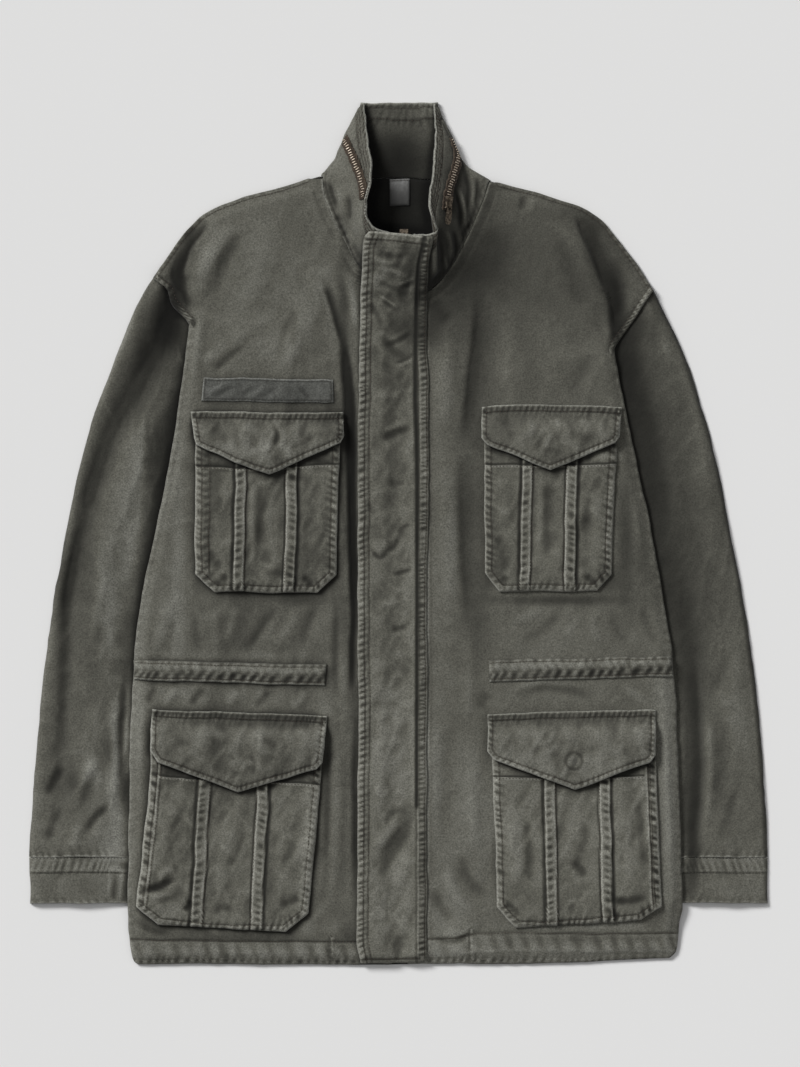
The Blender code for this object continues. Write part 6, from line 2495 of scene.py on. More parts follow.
PLACKET_ROWS = (
    (369, 231.5, 424, 236), (364, 238, 423, 243), (362, 270, 418.5, 270), (360, 300, 418, 300),
    (360, 330, 418, 330), (358, 436, 420, 436), (358, 550, 418.5, 550), (357.5, 629, 418, 629),
    (358.5, 693, 418, 693), (357, 879, 418, 879), (357, 941, 418, 941), (361, 963, 418, 962),
)
PLACKET_SNAPS = ((382, 321), (380, 545), (379, 666), (381.6, 790), (377.5, 913))
PLACKET_FOLDS = (
    (370, 267, 391, 271, 413, 281, 3.6, 1.2), (369, 279, 390, 287, 412, 300, 3.4, -1.0),
    (376, 252, 396, 257, 415, 253, 3.4, -0.9), (371, 257, 382, 262, 394, 263, 3.2, 1.5),
    (368, 300, 378, 316, 382, 334, 4.0, -1.5), (384, 336, 394, 350, 412, 360, 4.0, -1.4),
    (377, 294, 388, 301, 399, 310, 1.4, 0.9), (380, 299, 391, 306, 401, 314, 2.4, -0.7),
    (394, 286, 406, 282, 417, 276, 1.5, 0.8), (396, 290, 407, 286, 417, 281, 1.9, -0.7),
    (382, 347, 398, 341, 415, 331, 2.2, -1.1), (384, 342, 398, 336, 413, 327, 2.4, 0.6),
    (394, 363, 406, 359, 416, 352, 1.6, -1.1), (394, 367, 406, 363, 416, 357, 1.7, 0.9),
    (378, 440, 396, 433, 413, 427, 4.0, -1.4), (380, 432, 396, 426, 411, 421, 3.6, 0.8),
    (415, 525, 403, 528, 398, 540, 2.8, -1.0), (400, 534, 394, 546, 383, 554, 2.6, -0.9),
    (389, 551, 380, 557, 372, 550, 2.2, -1.3), (390, 575, 403, 571, 416, 566, 2.0, -1.2),
    (390, 631, 400, 629, 408, 626, 3.0, -1.2), (368, 500, 370, 510, 376, 516, 3.0, -0.7),
    (386, 480, 396, 484, 408, 482, 4.0, -0.8), (374, 610, 388, 604, 402, 600, 4.0, 0.8),
    (370, 700, 388, 706, 404, 702, 5.0, -0.8), (372, 740, 390, 744, 408, 738, 6.0, 0.8),
    (416, 812, 398, 842, 376, 880, 7.5, -2.6, 0.3), (404, 812, 386, 836, 368, 852, 6.5, 1.6),
    (414, 846, 404, 870, 392, 892, 6.5, 1.7), (392, 262, 394, 276, 390, 290, 5.0, -0.8),
    (404, 250, 406, 262, 404, 276, 4.0, 0.8), (374, 392, 388, 396, 402, 390, 5.0, 0.8),
)


@dataclass
class Placket:
    """The covered front placket, its sewn strip and the front zip under it."""

    wall: float = 3.0
    strip: float = 9.4
    grid_width: float = 66.5
    tuck_end: float = 811.0
    # How far the tuck beside the right seam sways: places down, and distances across.
    tuck_sway: tuple = ((250, 330, 400, 500, 600, 760), (2.2, 0, -2.2, 0, 1.3, 0.8))
    bend_down: float = 320.0
    zip_middle: tuple = ((233, 404), (268, 401.5), (300, 400), (935, 400))
    zip_height: tuple = (
        (233, 27), (250, 22), (270, 13), (290, 7.5), (305, 5.0), (340, 3.8), (420, 3.4), (935, 3.4),
    )
    zip_half: float = 6.6

    def build_zip(self, room: Workroom) -> None:
        """Builds the front zip's tape and the teeth that show at its top.

        Args:
            room: the shared bench, needle and finishes.
        """
        downs = 233 + axis(702, ((0, 80, 1.6),), 7.0)
        offsets = np.linspace(-self.zip_half, self.zip_half, 10)
        middle = smooth(self.zip_middle, downs)
        plan = np.stack([middle[:, None] + offsets, np.repeat(downs[:, None], len(offsets), axis=1)], axis=-1)
        low = np.repeat(smooth(self.zip_height, downs)[:, None], len(offsets), axis=1)
        below = np.maximum(low, np.where(plan[..., 1] > 335, room.bench.ground(plan), 0))
        over = below + 1.0
        room.bench.lay(plan, over + 0.6)
        shell = Shell("cloth_front_zip", plan, below, over, np.full(over.shape, 0.2))
        made = room.place(shell, "front_zip", "zip_tape", ZIP_TAPE, (), "front")
        shown = np.arange(234, 262, 2.0)
        line = np.stack([smooth(self.zip_middle, shown), shown], axis=1)
        heights = smooth(self.zip_height, line[:, 1]) + 1.0
        up = np.tile((0.0, 0.0, 1.0), (len(line), 1))
        ZipTeeth().build(room, "front_zip_teeth", raised(line, heights), up)

    def plan(self) -> np.ndarray:
        """Places of the placket and its strip.

        Returns:
            Drifted places (rows, columns, 2).
        """
        rows = np.array(PLACKET_ROWS, float)
        length = rows[-1, 1] - rows[0, 1]
        downs = rows[0, 1] + axis(length, ((0, 22, 1.3), (length, 22, 1.3)), 1.75)
        left = smooth(rows[:, [1, 0]], downs)
        right = smooth(rows[:, [3, 2]], np.maximum(downs, rows[0, 3])) + self.strip
        tilt = ease((262 - downs) / 30) * 4.5
        width = self.grid_width
        shares = axis(width, ((0, 13, 1.25), (width - self.strip, 4, 0.9), (width, 5, 1.1)), 2.0) / width
        across = left[:, None] * (1 - shares) + right[:, None] * shares
        down = downs[:, None] + tilt[:, None] * shares
        down[-1] = downs[-1]
        return drifted(np.stack([across, down], axis=-1))

    def edge(self, offset: float, start: float, end: float, side: Side) -> tuple:
        """Points beside the placket's left edge or along its right seam.

        Args:
            offset: distance across from the edge.
            start: first place down.
            end: last place down.
            side: which edge.

        Returns:
            The points as (across, down).
        """
        rows = np.array(PLACKET_ROWS, float)
        columns = [1, 0] if side is Side.RIGHT else [3, 2]
        downs = np.linspace(start, end, 60)
        return tuple(zip(smooth(rows[:, columns], downs) + offset, downs))

    def build(self, room: Workroom) -> None:
        """Builds the placket over the zip and the collar's front ends.

        Args:
            room: the shared bench, needle and finishes.
        """
        plan = self.plan()
        base = room.bench.drape(plan, 14)
        level = ease((self.bend_down - plan[..., 1]) / 34)
        most = base.max(axis=1, keepdims=True)
        base = base * (1 - level) + np.maximum(base, most - 0.12 * np.abs(plan[..., 0] - 396)) * level
        base = np.maximum(base, room.bench.ground(plan))
        seams = (
            Seam(self.edge(0, 233, 962, Side.RIGHT), band=6.2, inside=-1, rise=0.4, ladder=1.45, pitch=6.2,
                 edge=0.2, second=5.0, seed=71, ink=0.75),
            Seam(((369, 231.8), (395, 233.8), (424, 236.2)), band=7.5, rise=0.4, ladder=0.5, pitch=6.5,
                 seed=72),
            Seam(self.edge(0.4, 240, 958, Side.LEFT), band=6.4, inside=-1, rise=0.35, ladder=1.2, pitch=5.3,
                 edge=0.3, seed=73, tail=1.5, slant=0.2, ink=0.3),
            Seam(((420, 959), (390, 959.5), (360, 959.5)), band=0.6, rise=0, ladder=0.5, pitch=8, edge=-0.5,
                 seed=74, tail=6),
        )
        pattern = Pattern(
            "placket", "olive", self.wall, (0.064, 0.735), loft=0.9, fade=7.0, seams=seams,
            folds=PLACKET_FOLDS, snaps=PLACKET_SNAPS, finish=OLIVE_POCKET, tone=-0.05,
            rests_on=("front_left", "front_right"),
        )
        beside = plan[..., 0] - smooth(np.array(PLACKET_ROWS, float)[:, [3, 2]], plan[..., 1])
        shallow = 0.45 + 0.55 * ease((self.tuck_end - plan[..., 1]) / 6)
        beside = beside - np.interp(plan[..., 1], *self.tuck_sway)
        groove = bell(beside + 1.8, 2.0) * shallow
        step = -1.3 * ease((beside + 0.6) / 1.2)
        # Painted shade in the groove beside the sewn strip and a little on the cloth beside it.
        tone = -3.0 * groove * shallow - 0.35 * ease(beside)
        pattern.lay(room, plan, (step - 1.5 * groove, tone), "front", base)


@dataclass(frozen=True)
class ZipTeeth:
    """Metal teeth on a zip tape: small blocks, narrower at the top, set left and right by turns."""

    pitch: float = 2.6
    stagger: float = 0.4
    # Half width, half length and height of the foot and of the top of a tooth.
    foot: tuple = (1.9, 0.42, -0.2)
    top: tuple = (1.7, 0.28, 0.9)
    sharp_degrees: float = 35

    def build(self, room: Workroom, name: str, line: np.ndarray, up: np.ndarray) -> bpy.types.Object:
        """Makes the teeth across a line.

        Args:
            room: for its finishes.
            name: name of the piece.
            line: sheet points of the tape's top (n, 3).
            up: outward directions on the sheet (n, 3).

        Returns:
            The object.
        """
        count = int(line_length(line) / self.pitch)
        at = even_line(np.concatenate([line, up], axis=1), count)
        points, faces = [], []
        for k in range(1, count - 1):
            run = at[k + 1, :3] - at[k - 1, :3]
            run = run / np.linalg.norm(run)
            out = at[k, 3:] / np.linalg.norm(at[k, 3:])
            side = np.cross(out, run)
            middle = at[k, :3] + side * (self.stagger if k % 2 else -self.stagger)
            base = len(points)
            for half_width, half_length, height in (self.foot, self.top):
                for u, v in ((1, 1), (-1, 1), (-1, -1), (1, -1)):
                    points.append(middle + side * u * half_width + run * v * half_length + out * height)
            faces += [(base + 4, base + 5, base + 6), (base + 4, base + 6, base + 7)]
            faces += [(base, base + 2, base + 1), (base, base + 3, base + 2)]
            for j in range(4):
                a, b = base + j, base + (j + 1) % 4
                faces += [(a, b, b + 4), (a, b + 4, a + 4)]
        made = make_object(name, to_world(np.array(points)), np.array(faces))
        turn_outward(made)
        made.data.set_sharp_from_angle(angle=math.radians(self.sharp_degrees))
        room.wardrobe.dress(made, TEETH_BRASS)
        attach(made, "jacket")
        return made


COLLAR_ZIPS = {
    Side.RIGHT: ((343.5, 137), (350.5, 152), (358.5, 171), (363.2, 187), (364.6, 199)),
    Side.LEFT: ((453, 137), (457.5, 152), (455.5, 167), (450.5, 184), (447, 198), (446, 210)),
}


@dataclass
class CollarZips:
    """The two stretches of the collar's hood zip that show."""

    width: float = 9.0
    clear: float = 0.7
    wall: float = 1.0
    stations: int = 43

    def build(self, room: Workroom, collar: Collar) -> None:
        """Builds both tapes and their teeth on the collar's flanks.

        Args:
            room: the shared bench, needle and finishes.
            collar: the finished collar.
        """
        for side, path in COLLAR_ZIPS.items():
            line = even_curve(path, self.stations)
            run = np.gradient(line, axis=0)
            aside = np.stack([-run[:, 1], run[:, 0]], axis=1)
            aside /= np.linalg.norm(aside, axis=1, keepdims=True)
            across = np.linspace(-0.5, 0.5, 10) * self.width
            points, normals = collar.on_flank(line[:, None] + aside[:, None] * across[None, :, None])
            wave = ladder_wave(np.arange(self.stations) * 1.6, 6.0, 81)
            ripple = 0.25 * wave[:, None] * np.abs(across[None]) / 4.5
            low = points + normals * self.clear
            over = low + normals * (self.wall - ripple)[..., None]
            room.bench.lay(over[..., :2], over[..., 2])
            name = "collar_zip_" + side.value
            rows, columns = over.shape[:2]
            number = np.arange(rows * columns).reshape(rows, columns)
            faces = np.concatenate([
                grid_faces(rows, columns, 0, False), grid_faces(rows, columns, rows * columns, True),
                rim_faces(border(number), border(number + rows * columns), 1)[:, ::-1],
            ])
            both = np.concatenate([over.reshape(-1, 3), low.reshape(-1, 3)])
            wear = np.where(np.abs(across) > 3.6, 0.4, -0.1)[None].repeat(2 * rows, axis=0).ravel()
            made = make_object("cloth_" + name, to_world(both), faces, wear)
            turn_outward(made)
            room.adopt(made, name, ZIP_TAPE)
            tree = tree_of(made)
            for column in (1, 8):
                room.needle.sew("collar", tree, over[:, column, :2], Thread.BROWN)
            middle = (over[:, 4] + over[:, 5]) / 2
            ZipTeeth().build(room, name + "_teeth", middle, (normals[:, 4] + normals[:, 5]) / 2)


@dataclass
class Trims:
    """The neck label, the waist casings and the name patch."""

    label: tuple = ((389.6, 179.5, 410, 179.5), (389.6, 206, 410, 206))
    casings: dict = field(default_factory=lambda: {
        Side.RIGHT: ((133.5, 660, 230, 662.5, 327, 664.5), (133.5, 680, 230, 682.5, 325, 685.5)),
        Side.LEFT: ((489, 660, 580, 658, 671, 656), (489, 682, 580, 679.5, 674, 677)),
    })
    patch: tuple = ((204, 377.5, 334, 379.5), (202, 401.5, 333, 403))

    def build_label(self, room: Workroom) -> None:
        """Builds the bare neck label on the back panel.

        Args:
            room: the shared bench, needle and finishes.
        """
        plan = station_plan(self.label, (), (), 1.3)
        # Painted light at the top of the label and painted shade lower down, inside the neck.
        label_light_and_shade = 0.25 - 1.3 * ease((plan[..., 1] - 180) / 30)
        top = ((389.6, 179.5), (410, 179.5))
        seams = (Seam(top, band=1.4, rise=0, ladder=0.2, pitch=5, edge=0.3, seed=31),)
        pattern = Pattern(
            "neck_label", "label_cloth", 0.8, (0.021, 0.027), loft=0.3, fade=3, rounds=1, seams=seams,
            finish=LABEL_SATIN, rests_on=("back_panel",),
        )
        pattern.lay(room, plan, (0.0, label_light_and_shade), "collar")

    def build_casings(self, room: Workroom) -> None:
        """Builds the two gathered casings across the waist.

        Args:
            room: the shared bench, needle and finishes.
        """
        for side, (top, low) in self.casings.items():
            rows = ((top[0], top[1], top[4], top[5]), (low[0], low[1], low[4], low[5]))
            plan = station_plan(rows, ((0, 30, 1.1),), (), 1.7)
            top_line, low_line = (top[:2], top[2:4], top[4:]), (low[4:], low[2:4], low[:2])
            seams = (
                Seam(top_line, band=3.0, rise=0.2, ladder=0.5, pitch=9.0, edge=-0.5,
                     seed=51 + len(side.value), tail=5, ink=0.35),
                Seam(low_line, band=2.6, rise=0.3, ladder=0.4, pitch=7.5, edge=0.4, seed=55),
                puckers(low_line, band=9.0, rise=0.0, ladder=1.0, pitch=10.5, slant=0.6, edge=0.0, seed=59,
                        tail=2),
                puckers(top_line, band=17.0, rise=0.15, ladder=0.25, pitch=9.5, slant=-0.5, edge=0.0,
                        seed=57 + len(side.value), tail=3),
            )
            share = np.linspace(0, 1, plan.shape[0])[:, None]
            extra = 0.8 * np.sin(math.pi * share) ** 0.8 + 0.5 * bell(share - 0.35, 0.16)
            # Painted light on the upper part of the puffed casing and painted shade on its lower part.
            tone = 0.2 * bell(share - 0.3, 0.2) - 0.5 * bell(share - 0.7, 0.15)
            length = (rows[0][2] - rows[0][0]) * MM
            pattern = Pattern(
                "waist_casing_" + side.value, "olive_worn", 1.8, (0.026, length * 1.03), loft=0.4, fade=4,
                seams=seams, rests_on=("front_" + side.value,),
            )
            pattern.lay(room, plan, (extra, tone))

    def build_patch(self, room: Workroom) -> None:
        """Builds the bare name patch.

        Args:
            room: the shared bench, needle and finishes.
        """
        plan = station_plan(self.patch, ((0, 4, 1.0), (24, 4, 1.0)), ((0, 4, 1.0), (-1, 4, 1.0)), 1.8)
        around = ((204, 377.5), (334, 379.5), (333, 403), (202, 401.5), (204, 377.5))
        seams = (Seam(around, band=2.0, rise=0.12, ladder=0.25, pitch=9, edge=0.75, groove=0.3, seed=58,
                      thread=Thread.TONAL, tail=5),)
        folds = (
            (206, 397, 214, 390, 226, 383, 2.0, 1.0), (212, 400, 222, 393, 236, 384, 2.2, -0.8),
            (250, 398, 259, 391, 268, 384, 2.2, 0.8), (258, 401, 268, 393, 278, 385, 2.2, -0.7),
            (300, 384, 304, 392, 312, 400, 2.6, -0.5), (238, 400, 246, 392, 256, 386, 2.4, -0.5),
            (280, 382, 282, 392, 276, 400, 4.0, 0.5), (318, 384, 322, 392, 330, 396, 4.0, 0.5),
        )
        pattern = Pattern(
            "name_patch", "olive_patch", 1.0, (0.13, 0.0245), loft=0.25, fade=3, rounds=1, crease=1.3,
            seams=seams, folds=folds, finish=PATCH_TWILL, rests_on=("front_right",),
        )
        pattern.lay(room, plan)


@dataclass(frozen=True)
class Pocket:
    """A pocket bag: its stations, outline, pleats, seams and creases."""

    node: str
    stations: tuple
    outline: tuple
    pleats: tuple
    hem: tuple
    front: str
    folds: tuple = ()
    more: tuple = ()
    size: tuple = (0.19, 0.17)
    band: float = 6.5
    under_flap_shade: float = 0.45
    seed: int = 90

    def build(self, room: Workroom) -> None:
        """Builds the bag.

        Args:
            room: the shared bench, needle and finishes.
        """
        left = self.stations[0][0]
        zones = [(0, 11, 1.25), (-1, 11, 1.25)]
        for pleat in self.pleats:
            for line in (pleat.free, pleat.sewn):
                middle = (line[0][0] + line[1][0]) / 2 - left
                zones.append((middle, 3.4, 1.05))
        length = self.stations[-1][1] - self.stations[0][1]
        hem = np.array(self.hem, float)
        at_hem = float(hem[:, 1].mean()) - self.stations[0][1]
        plan = station_plan(
            self.stations, ((length, 26, 1.3), (length - 12, 8, 1.3), (at_hem, 7, 1.0)), tuple(zones), 1.9
        )
        above = np.interp(plan[..., 0], hem[:, 0], hem[:, 1]) - plan[..., 1]
        # Painted shade on the top of the bag, under its flap.
        shade = -self.under_flap_shade * ease((above + 1.5) / 3.0)
        seams = (
            Seam(self.outline, band=self.band, rise=0.45, ladder=1.0, pitch=7.4, edge=1.1, seed=self.seed,
                 tail=5),
            Seam(self.hem, band=1.9, rise=0.5, ladder=0.1, pitch=12, edge=-1.5, groove=0.0,
                 seed=self.seed + 1, tail=3, ink=-1.7),
        ) + self.more
        pattern = Pattern(
            self.node, "olive", 2.0, self.size, held="folded", loft=1.9, fade=9.0, lift=1.0, seams=seams,
            folds=self.folds, pleats=self.pleats, finish=OLIVE_POCKET, rests_on=(self.front,),
        )
        pattern.lay(room, plan, (0.0, shade), "pockets")


POCKETS = (
    Pocket(
        "chest_pocket_right",
        ((195, 424, 341, 424), (195, 574, 336, 575), (215, 592, 317, 593)),
        ((341, 424), (336, 575), (317, 593), (215, 592), (195, 574), (195, 424)),
        (Pleat(((236, 424), (234, 590)), ((246, 424), (245, 590)), seed=61),
         Pleat(((299, 424), (294, 590)), ((287, 424), (284, 590)), seed=62)),
        ((196, 466), (260, 468), (340, 464)), "front_right",
        folds=(
            (252, 470, 253, 520, 252, 574, 4, 1.2), (266, 480, 261, 520, 256, 566, 5, -0.7),
            (204, 540, 212, 556, 226, 570, 6, -1.4), (228, 572, 224, 580, 216, 588, 4, -1.6),
            (302, 574, 308, 582, 316, 588, 4, -1.6), (270, 560, 266, 574, 262, 584, 6, 1.2),
            (212, 490, 216, 510, 214, 532, 7, 1.0), (316, 500, 310, 526, 300, 548, 6, -0.7),
            (322, 470, 318, 520, 308, 566, 6, 0.8), (276, 476, 272, 500, 262, 530, 6, 0.8),
        ),
        more=(Seam(((202, 426), (202, 570)), band=7, inside=-1, rise=0.1, ladder=0.6, pitch=8, edge=0.1,
                   seed=95, groove=0.45),),
        size=(0.175, 0.17), seed=90,
    ),
    Pocket(
        "chest_pocket_left",
        ((484, 424, 617, 424), (485, 574, 612, 574), (500, 592, 597, 591)),
        ((617, 424), (612, 574), (597, 591), (500, 592), (485, 574), (484, 424)),
        (Pleat(((523, 424), (520, 588)), ((533, 424), (530, 588)), seed=63),
         Pleat(((578, 424), (575, 588)), ((568, 424), (563, 588)), seed=64)),
        ((485, 464), (550, 465), (616, 463)), "front_left",
        folds=(
            (541, 470, 540, 520, 538, 572, 4, 1.0), (550, 476, 548, 520, 548, 566, 6, -1.0),
            (494, 520, 502, 552, 512, 574, 7, -1.2), (508, 574, 504, 582, 500, 588, 4, -1.5),
            (584, 572, 590, 580, 598, 588, 4, -1.6), (598, 480, 600, 520, 596, 560, 7, 1.0),
            (500, 476, 504, 500, 502, 526, 7, 1.0), (586, 470, 588, 500, 586, 540, 5, -0.9),
        ),
        size=(0.16, 0.17), seed=100,
    ),
    Pocket(
        "lower_pocket_right",
        ((151, 728, 325, 731), (151, 770, 321, 770), (136, 907, 309, 913), (158, 925, 286, 932)),
        ((325, 731), (321, 770), (309, 913), (286, 932), (213, 931.6), (158, 925), (136, 907),
         (151, 770), (151, 728)),
        (Pleat(((202, 731), (191, 926)), ((213, 731), (202.5, 926)), seed=65),
         Pleat(((271, 731), (261, 928)), ((260, 731), (250, 928)), seed=66)),
        ((161, 775), (194, 778), (270, 782), (320, 784)), "front_right",
        folds=(
            (136, 893, 158, 887, 178, 878, 3.4, -3.0, -0.6), (146, 897, 164, 894, 180, 888, 4.4, 1.8),
            (156, 880, 164, 872, 176, 868, 4.0, 1.2), (184, 912, 189, 906, 192, 898, 3.0, -2.2),
            (176, 800, 166, 826, 160, 850, 6, 0.9), (188, 800, 176, 830, 166, 862, 5, -0.8),
            (240, 800, 226, 850, 216, 906, 8, 1.0), (246, 826, 238, 850, 222, 872, 5, -0.8),
            (290, 800, 280, 850, 270, 900, 8, 0.8), (300, 830, 292, 850, 276, 870, 5, -0.8),
            (276, 906, 290, 902, 304, 896, 5, -1.6), (214, 918, 224, 908, 238, 914, 4, -1.0),
            (312, 800, 310, 840, 306, 890, 4, 1.0),
        ),
        more=(Seam(((145, 909), (160, 770), (161, 740)), band=1.2, rise=0.5, ladder=0.0, pitch=13, edge=0.9,
                   groove=0.6, seed=97),
              puckers(((136, 907), (151, 770)), band=8.5, rise=0.2, ladder=0.9, pitch=12, edge=0.9, seed=98,
                      tail=1.5)),
        size=(0.20, 0.205), seed=104,
    ),
    Pocket(
        "lower_pocket_left",
        ((491, 731, 656, 728), (492.5, 766, 656, 766), (497, 907, 662, 907), (516, 928.5, 640, 920)),
        ((656, 728), (656, 766), (662, 907), (640, 921), (599, 924), (547, 929.5), (516, 928), (497, 907),
         (492.5, 766), (491, 731)),
        (Pleat(((543.5, 731), (547, 924)), ((554, 731), (558, 924)), seed=67),
         Pleat(((608.5, 731), (613, 918)), ((598, 731), (602, 918)), seed=68)),
        ((492, 777), (570, 778), (644, 775.5)), "front_left",
        folds=(
            (604, 898, 630, 901, 652, 896, 4.5, -2.2), (572, 858, 580, 868, 590, 880, 5, -1.5),
            (510, 800, 512, 850, 516, 900, 8, 1.1), (524, 800, 528, 850, 530, 900, 6, -1.2),
            (584, 806, 572, 840, 566, 870, 8, 0.8), (590, 820, 582, 850, 570, 872, 5, -0.8),
            (624, 800, 628, 850, 632, 890, 7, 1.0), (640, 790, 643, 840, 646, 886, 4, -1.0),
            (500, 900, 510, 906, 524, 918, 4, -1.2), (600, 908, 612, 914, 626, 916, 4, -1.2),
        ),
        more=(Seam(((646, 766), (652, 909)), band=1.2, inside=-1, rise=0.5, ladder=0.0, pitch=13, edge=0.8,
                   groove=0.6, seed=99),
              puckers(((656, 757), (662, 907)), band=8.0, rise=0.2, ladder=0.8, pitch=12, edge=0.8, seed=103,
                      tail=1.5)),
        size=(0.20, 0.20), seed=108,
    ),
)


@dataclass(frozen=True)
class Flap:
    """A pointed pocket flap held by a stitched band along its top edge."""

    node: str
    top: tuple
    low: tuple
    band: float = 6.2
    dark: float = 0.8
    snap: tuple = ()
    folds: tuple = ()
    pocket: str = ""
    size: tuple = (0.152, 0.055)
    seed: int = 120
    samples: int = 200

    def plan(self) -> np.ndarray:
        """Places between the top edge and the pointed lower edge.

        Returns:
            Drifted places (rows, columns, 2).
        """
        top, low = even_line(self.top, self.samples), even_line(self.low, self.samples)
        width = line_length(self.top)
        shares = axis(width, ((0, 8, 1.2), (width, 8, 1.2), (width / 2, 5, 1.4)), 1.7) / width
        middle = self.samples // 2
        length = float(np.linalg.norm(low[middle] - top[middle]))
        downs = axis(length, ((0, 9, 1.1), (length, 9, 1.1)), 1.6) / length
        at = np.linspace(0, 1, self.samples)
        first = np.stack([np.interp(shares, at, top[:, k]) for k in (0, 1)], axis=1)
        reach = np.interp(shares, [0, 1], [low[0, 0], low[-1, 0]])
        last = np.stack([reach, np.interp(reach, low[:, 0], low[:, 1])], axis=1)
        return drifted(first[None] * (1 - downs[:, None, None]) + last[None] * downs[:, None, None])

    def build(self, room: Workroom, cap: tuple | None = None) -> None:
        """Builds the flap.

        Args:
            room: the shared bench, needle and finishes.
            cap: place and underside height of a snap cap that sits on it.
        """
        plan = self.plan()
        around = (self.top[-1],) + self.low[::-1] + (self.top[0],)
        seams = (
            Seam(around, band=4.7, rise=0.45, ladder=0.75, pitch=5.6, seed=self.seed),
            Seam(self.top, band=self.band, rise=0.5, ladder=0.9, pitch=5.6, edge=0.75, seed=self.seed + 1,
                 tail=5),
        )
        top_down = np.interp(plan[..., 0], *np.array(self.top, float).T)
        dark = bell(plan[..., 1] - top_down - self.band * 0.5, 3.0)
        extra = (np.zeros(plan.shape[:-1]), -self.dark * dark)
        pattern = Pattern(
            self.node, "olive", 2.2, self.size, loft=1.2, fade=9.0, rounds=22, lift=1.7, lift_from=9.0,
            seams=seams, folds=self.folds, snaps=self.snap, rests_on=(self.pocket,),
        )
        under = None
        if cap:
            (x, y), height = cap
            under = room.bench.drape(plan, pattern.rounds)
            away = np.hypot(plan[..., 0] - x, plan[..., 1] - y)
            here = under[np.unravel_index(np.argmin(away), away.shape)]
            shift = height - 0.15 - (here + pattern.loft + pattern.wall)
            LOG.info("%s: cap shift %.2f mm", self.node, shift)
            # A ring of painted shade on the flap round the snap cap.
            extra = (shift * ease((26 - away) / 17), extra[1] - 0.8 * bell(away - 8.3, 1.4))
        pattern.lay(room, plan, extra, "pockets", under)


FLAPS = (
    Flap(
        "chest_flap_right", ((191, 411.5), (260, 412.5), (343, 412.5)),
        ((193.5, 438), (196, 445.5), (232, 461), (270, 474.5), (306, 459), (341, 443), (344.5, 436)),
        snap=((265, 445),), pocket="chest_pocket_right", seed=120,
        folds=(
            (272, 421, 277, 434, 275, 447, 2.4, -1.5), (281, 424, 284, 438, 280, 452, 3.2, 1.0),
            (214, 420, 222, 434, 232, 446, 6, -1.0), (204, 424, 208, 434, 214, 442, 5, 0.8),
            (246, 420, 248, 432, 246, 446, 5, 0.9), (300, 422, 306, 434, 314, 444, 6, -0.9),
            (318, 420, 324, 430, 330, 436, 4, 0.9), (238, 422, 236, 436, 240, 450, 4, -0.8),
        ),
    ),
    Flap(
        "chest_flap_left", ((482, 407), (516, 404.8), (550, 404.5), (590, 405.6), (623, 408)),
        ((481.5, 438), (487, 445), (520, 458), (550, 470), (586, 455), (615, 443), (619.5, 436)),
        snap=((550, 442),), pocket="chest_pocket_left", seed=124, size=(0.141, 0.055),
        folds=(
            (500, 416, 508, 428, 516, 440, 5, -1.0), (530, 416, 532, 428, 530, 440, 5, 0.8),
            (566, 418, 572, 430, 576, 444, 4, -1.1), (580, 416, 588, 428, 594, 438, 5, 0.9),
            (604, 416, 606, 426, 610, 434, 4, -0.8), (556, 416, 558, 426, 556, 434, 3, 0.7),
        ),
    ),
    Flap(
        "lower_flap_right", ((152, 709.5), (240, 712.5), (327, 715.5)),
        ((151, 751), (158, 762), (198, 777), (237, 792), (280, 781), (316, 769), (322.5, 762)),
        band=6.5, dark=1.2, snap=((239, 765),), pocket="lower_pocket_right", seed=128, size=(0.175, 0.062),
        folds=(
            (170, 722, 178, 736, 182, 752, 6, -0.9), (196, 722, 204, 738, 206, 754, 7, 0.9),
            (222, 722, 226, 738, 224, 752, 5, -0.8), (256, 722, 260, 740, 262, 760, 6, 0.9),
            (276, 722, 282, 740, 288, 756, 5, -0.9), (300, 724, 304, 738, 306, 752, 5, 0.8),
            (248, 752, 254, 764, 252, 778, 3, -0.9),
        ),
    ),
    Flap(
        "lower_flap_left", ((488, 714), (570, 711.5), (656, 710)),
        ((487, 751), (494, 760), (534, 775), (575, 790), (616, 774), (650, 762), (655.5, 755)),
        pocket="lower_pocket_left", seed=132, size=(0.169, 0.06),
        folds=(
            (506, 722, 514, 736, 520, 750, 6, -0.9), (534, 720, 538, 736, 536, 752, 6, 0.9),
            (556, 722, 560, 736, 562, 748, 5, -0.9), (590, 720, 594, 736, 592, 752, 6, 0.9),
            (612, 722, 618, 736, 626, 748, 5, -0.9), (636, 722, 640, 736, 642, 748, 4, 0.8),
        ),
    ),
)


@dataclass
class Fittings:
    """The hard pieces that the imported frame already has: sliders, pull tab and snap cap."""

    brass: tuple = ("collar_zip_slider", "collar_zip_pull", "front_zip_slider")
    cap: str = "snap_cap"
    cap_place: tuple = (574, 761)

    def cap_height(self) -> float:
        """Height of the snap cap's underside in millimetres."""
        made = frame["nodes"][self.cap]
        return min((made.matrix_world @ Vector(corner)).z for corner in made.bound_box) / MM

    def dress(self, room: Workroom) -> None:
        """Gives the hard pieces their finishes.

        Args:
            room: the shared bench, needle and finishes.
        """
        for name in self.brass:
            room.wardrobe.dress(frame["nodes"][name], OLD_BRASS)
        room.wardrobe.dress(frame["nodes"][self.cap], SNAP_LACQUER)


# Floor, light and camera


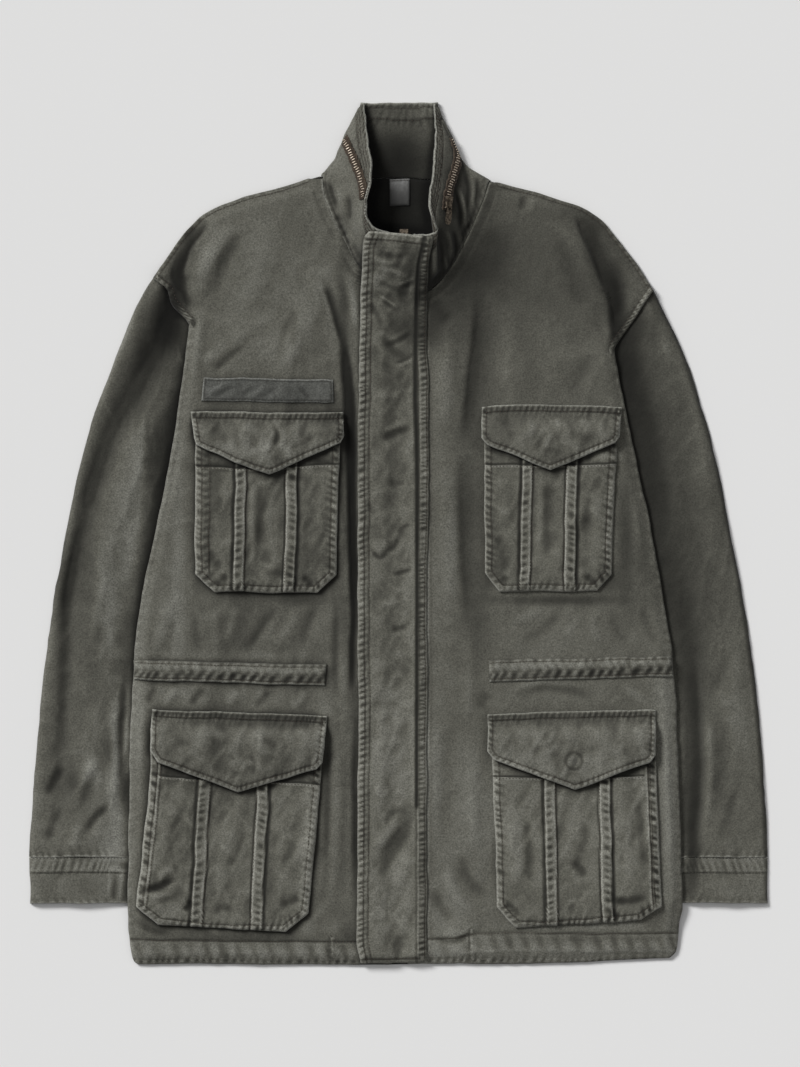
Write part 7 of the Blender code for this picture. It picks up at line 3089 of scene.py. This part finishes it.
@dataclass(frozen=True)
class Lamp:
    """A broad soft light from one direction."""

    name: str
    azimuth: float
    elevation: float
    strength: float
    spread: float
    colour: tuple = (1.0, 1.0, 1.0)

    def build(self) -> None:
        """Makes the light."""
        data = bpy.data.lights.new(self.name, "SUN")
        data.energy = self.strength
        data.angle = math.radians(self.spread)
        data.color = self.colour
        made = bpy.data.objects.new(self.name, data)
        a, e = math.radians(self.azimuth), math.radians(self.elevation)
        way = Vector((math.cos(a) * math.cos(e), math.sin(a) * math.cos(e), math.sin(e)))
        made.rotation_mode = "QUATERNION"
        made.rotation_quaternion = way.to_track_quat("Z", "Y")
        bpy.context.scene.collection.objects.link(made)


@dataclass
class Studio:
    """A pale floor, soft light from the upper left and a camera straight above."""

    floor_grey: float = 0.80
    floor_half: float = 3.0
    lamps: tuple = (
        Lamp("key", 138, 36, 3.05, 20, (1.0, 0.998, 0.99)),
        Lamp("fill", -30, 62, 0.16, 80),
        Lamp("top", 90, 86, 0.22, 60),
    )
    ambient: float = 0.23
    eye: tuple = (0.001, -0.0005)
    span: float = 1.067

    def build(self) -> None:
        """Makes the floor, the light and the camera."""
        half = self.floor_half
        mesh = bpy.data.meshes.new("floor")
        corners = [(-half, -half, 0), (half, -half, 0), (half, half, 0), (-half, half, 0)]
        mesh.from_pydata(corners, [], [(0, 1, 2, 3)])
        floor = bpy.data.objects.new("floor", mesh)
        bpy.context.scene.collection.objects.link(floor)
        finish = bpy.data.materials.new("pale_floor")
        finish.use_nodes = True
        shader = finish.node_tree.nodes["Principled BSDF"]
        shader.inputs["Base Color"].default_value = (self.floor_grey,) * 3 + (1,)
        shader.inputs["Roughness"].default_value = 1.0
        shader.inputs["Specular IOR Level"].default_value = 0.0
        mesh.materials.append(finish)
        for lamp in self.lamps:
            lamp.build()
        world = bpy.data.worlds.new("studio")
        bpy.context.scene.world = world
        world.use_nodes = True
        world.node_tree.nodes["Background"].inputs["Color"].default_value = (1, 1, 1, 1)
        world.node_tree.nodes["Background"].inputs["Strength"].default_value = self.ambient
        data = bpy.data.cameras.new("eye")
        data.type = "ORTHO"
        data.ortho_scale = self.span
        camera = bpy.data.objects.new("eye", data)
        camera.location = (*self.eye, 2.0)
        bpy.context.scene.collection.objects.link(camera)
        bpy.context.scene.camera = camera
        bpy.context.scene.view_settings.view_transform = "Standard"


def main() -> None:
    """Builds the jacket's looks, the floor, the light and the camera."""
    logging.basicConfig(level=logging.INFO, format="%(message)s")
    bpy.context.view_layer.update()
    room = Workroom(Bench(), Needle(), Wardrobe())
    fittings, trims, placket = Fittings(), Trims(), Placket()
    Sleeves().build(room)
    body = Body()
    body.build_back(room)
    trims.build_label(room)
    for side in Side:
        body.build_front(room, side)
    collar = Collar()
    collar.build(room)
    placket.build_zip(room)
    CollarZips().build(room, collar)
    placket.build(room)
    trims.build_casings(room)
    trims.build_patch(room)
    for pocket in POCKETS:
        pocket.build(room)
    for flap in FLAPS:
        with_cap = flap.node == "lower_flap_left"
        flap.build(room, (fittings.cap_place, fittings.cap_height()) if with_cap else None)
    room.paint_hollow_shade([o.name for o in bpy.data.objects if o.name.startswith("cloth_")])
    fittings.dress(room)
    threads = {Thread.BROWN: "thread_brown", Thread.TONAL: "thread_tonal"}
    for made in room.needle.finish({k: room.wardrobe.by_name[v] for k, v in threads.items()}):
        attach(made, "jacket")
        LOG.info("%s: %d faces", made.name, len(made.data.polygons))
    Studio().build()


if __name__ == "__main__":
    main()
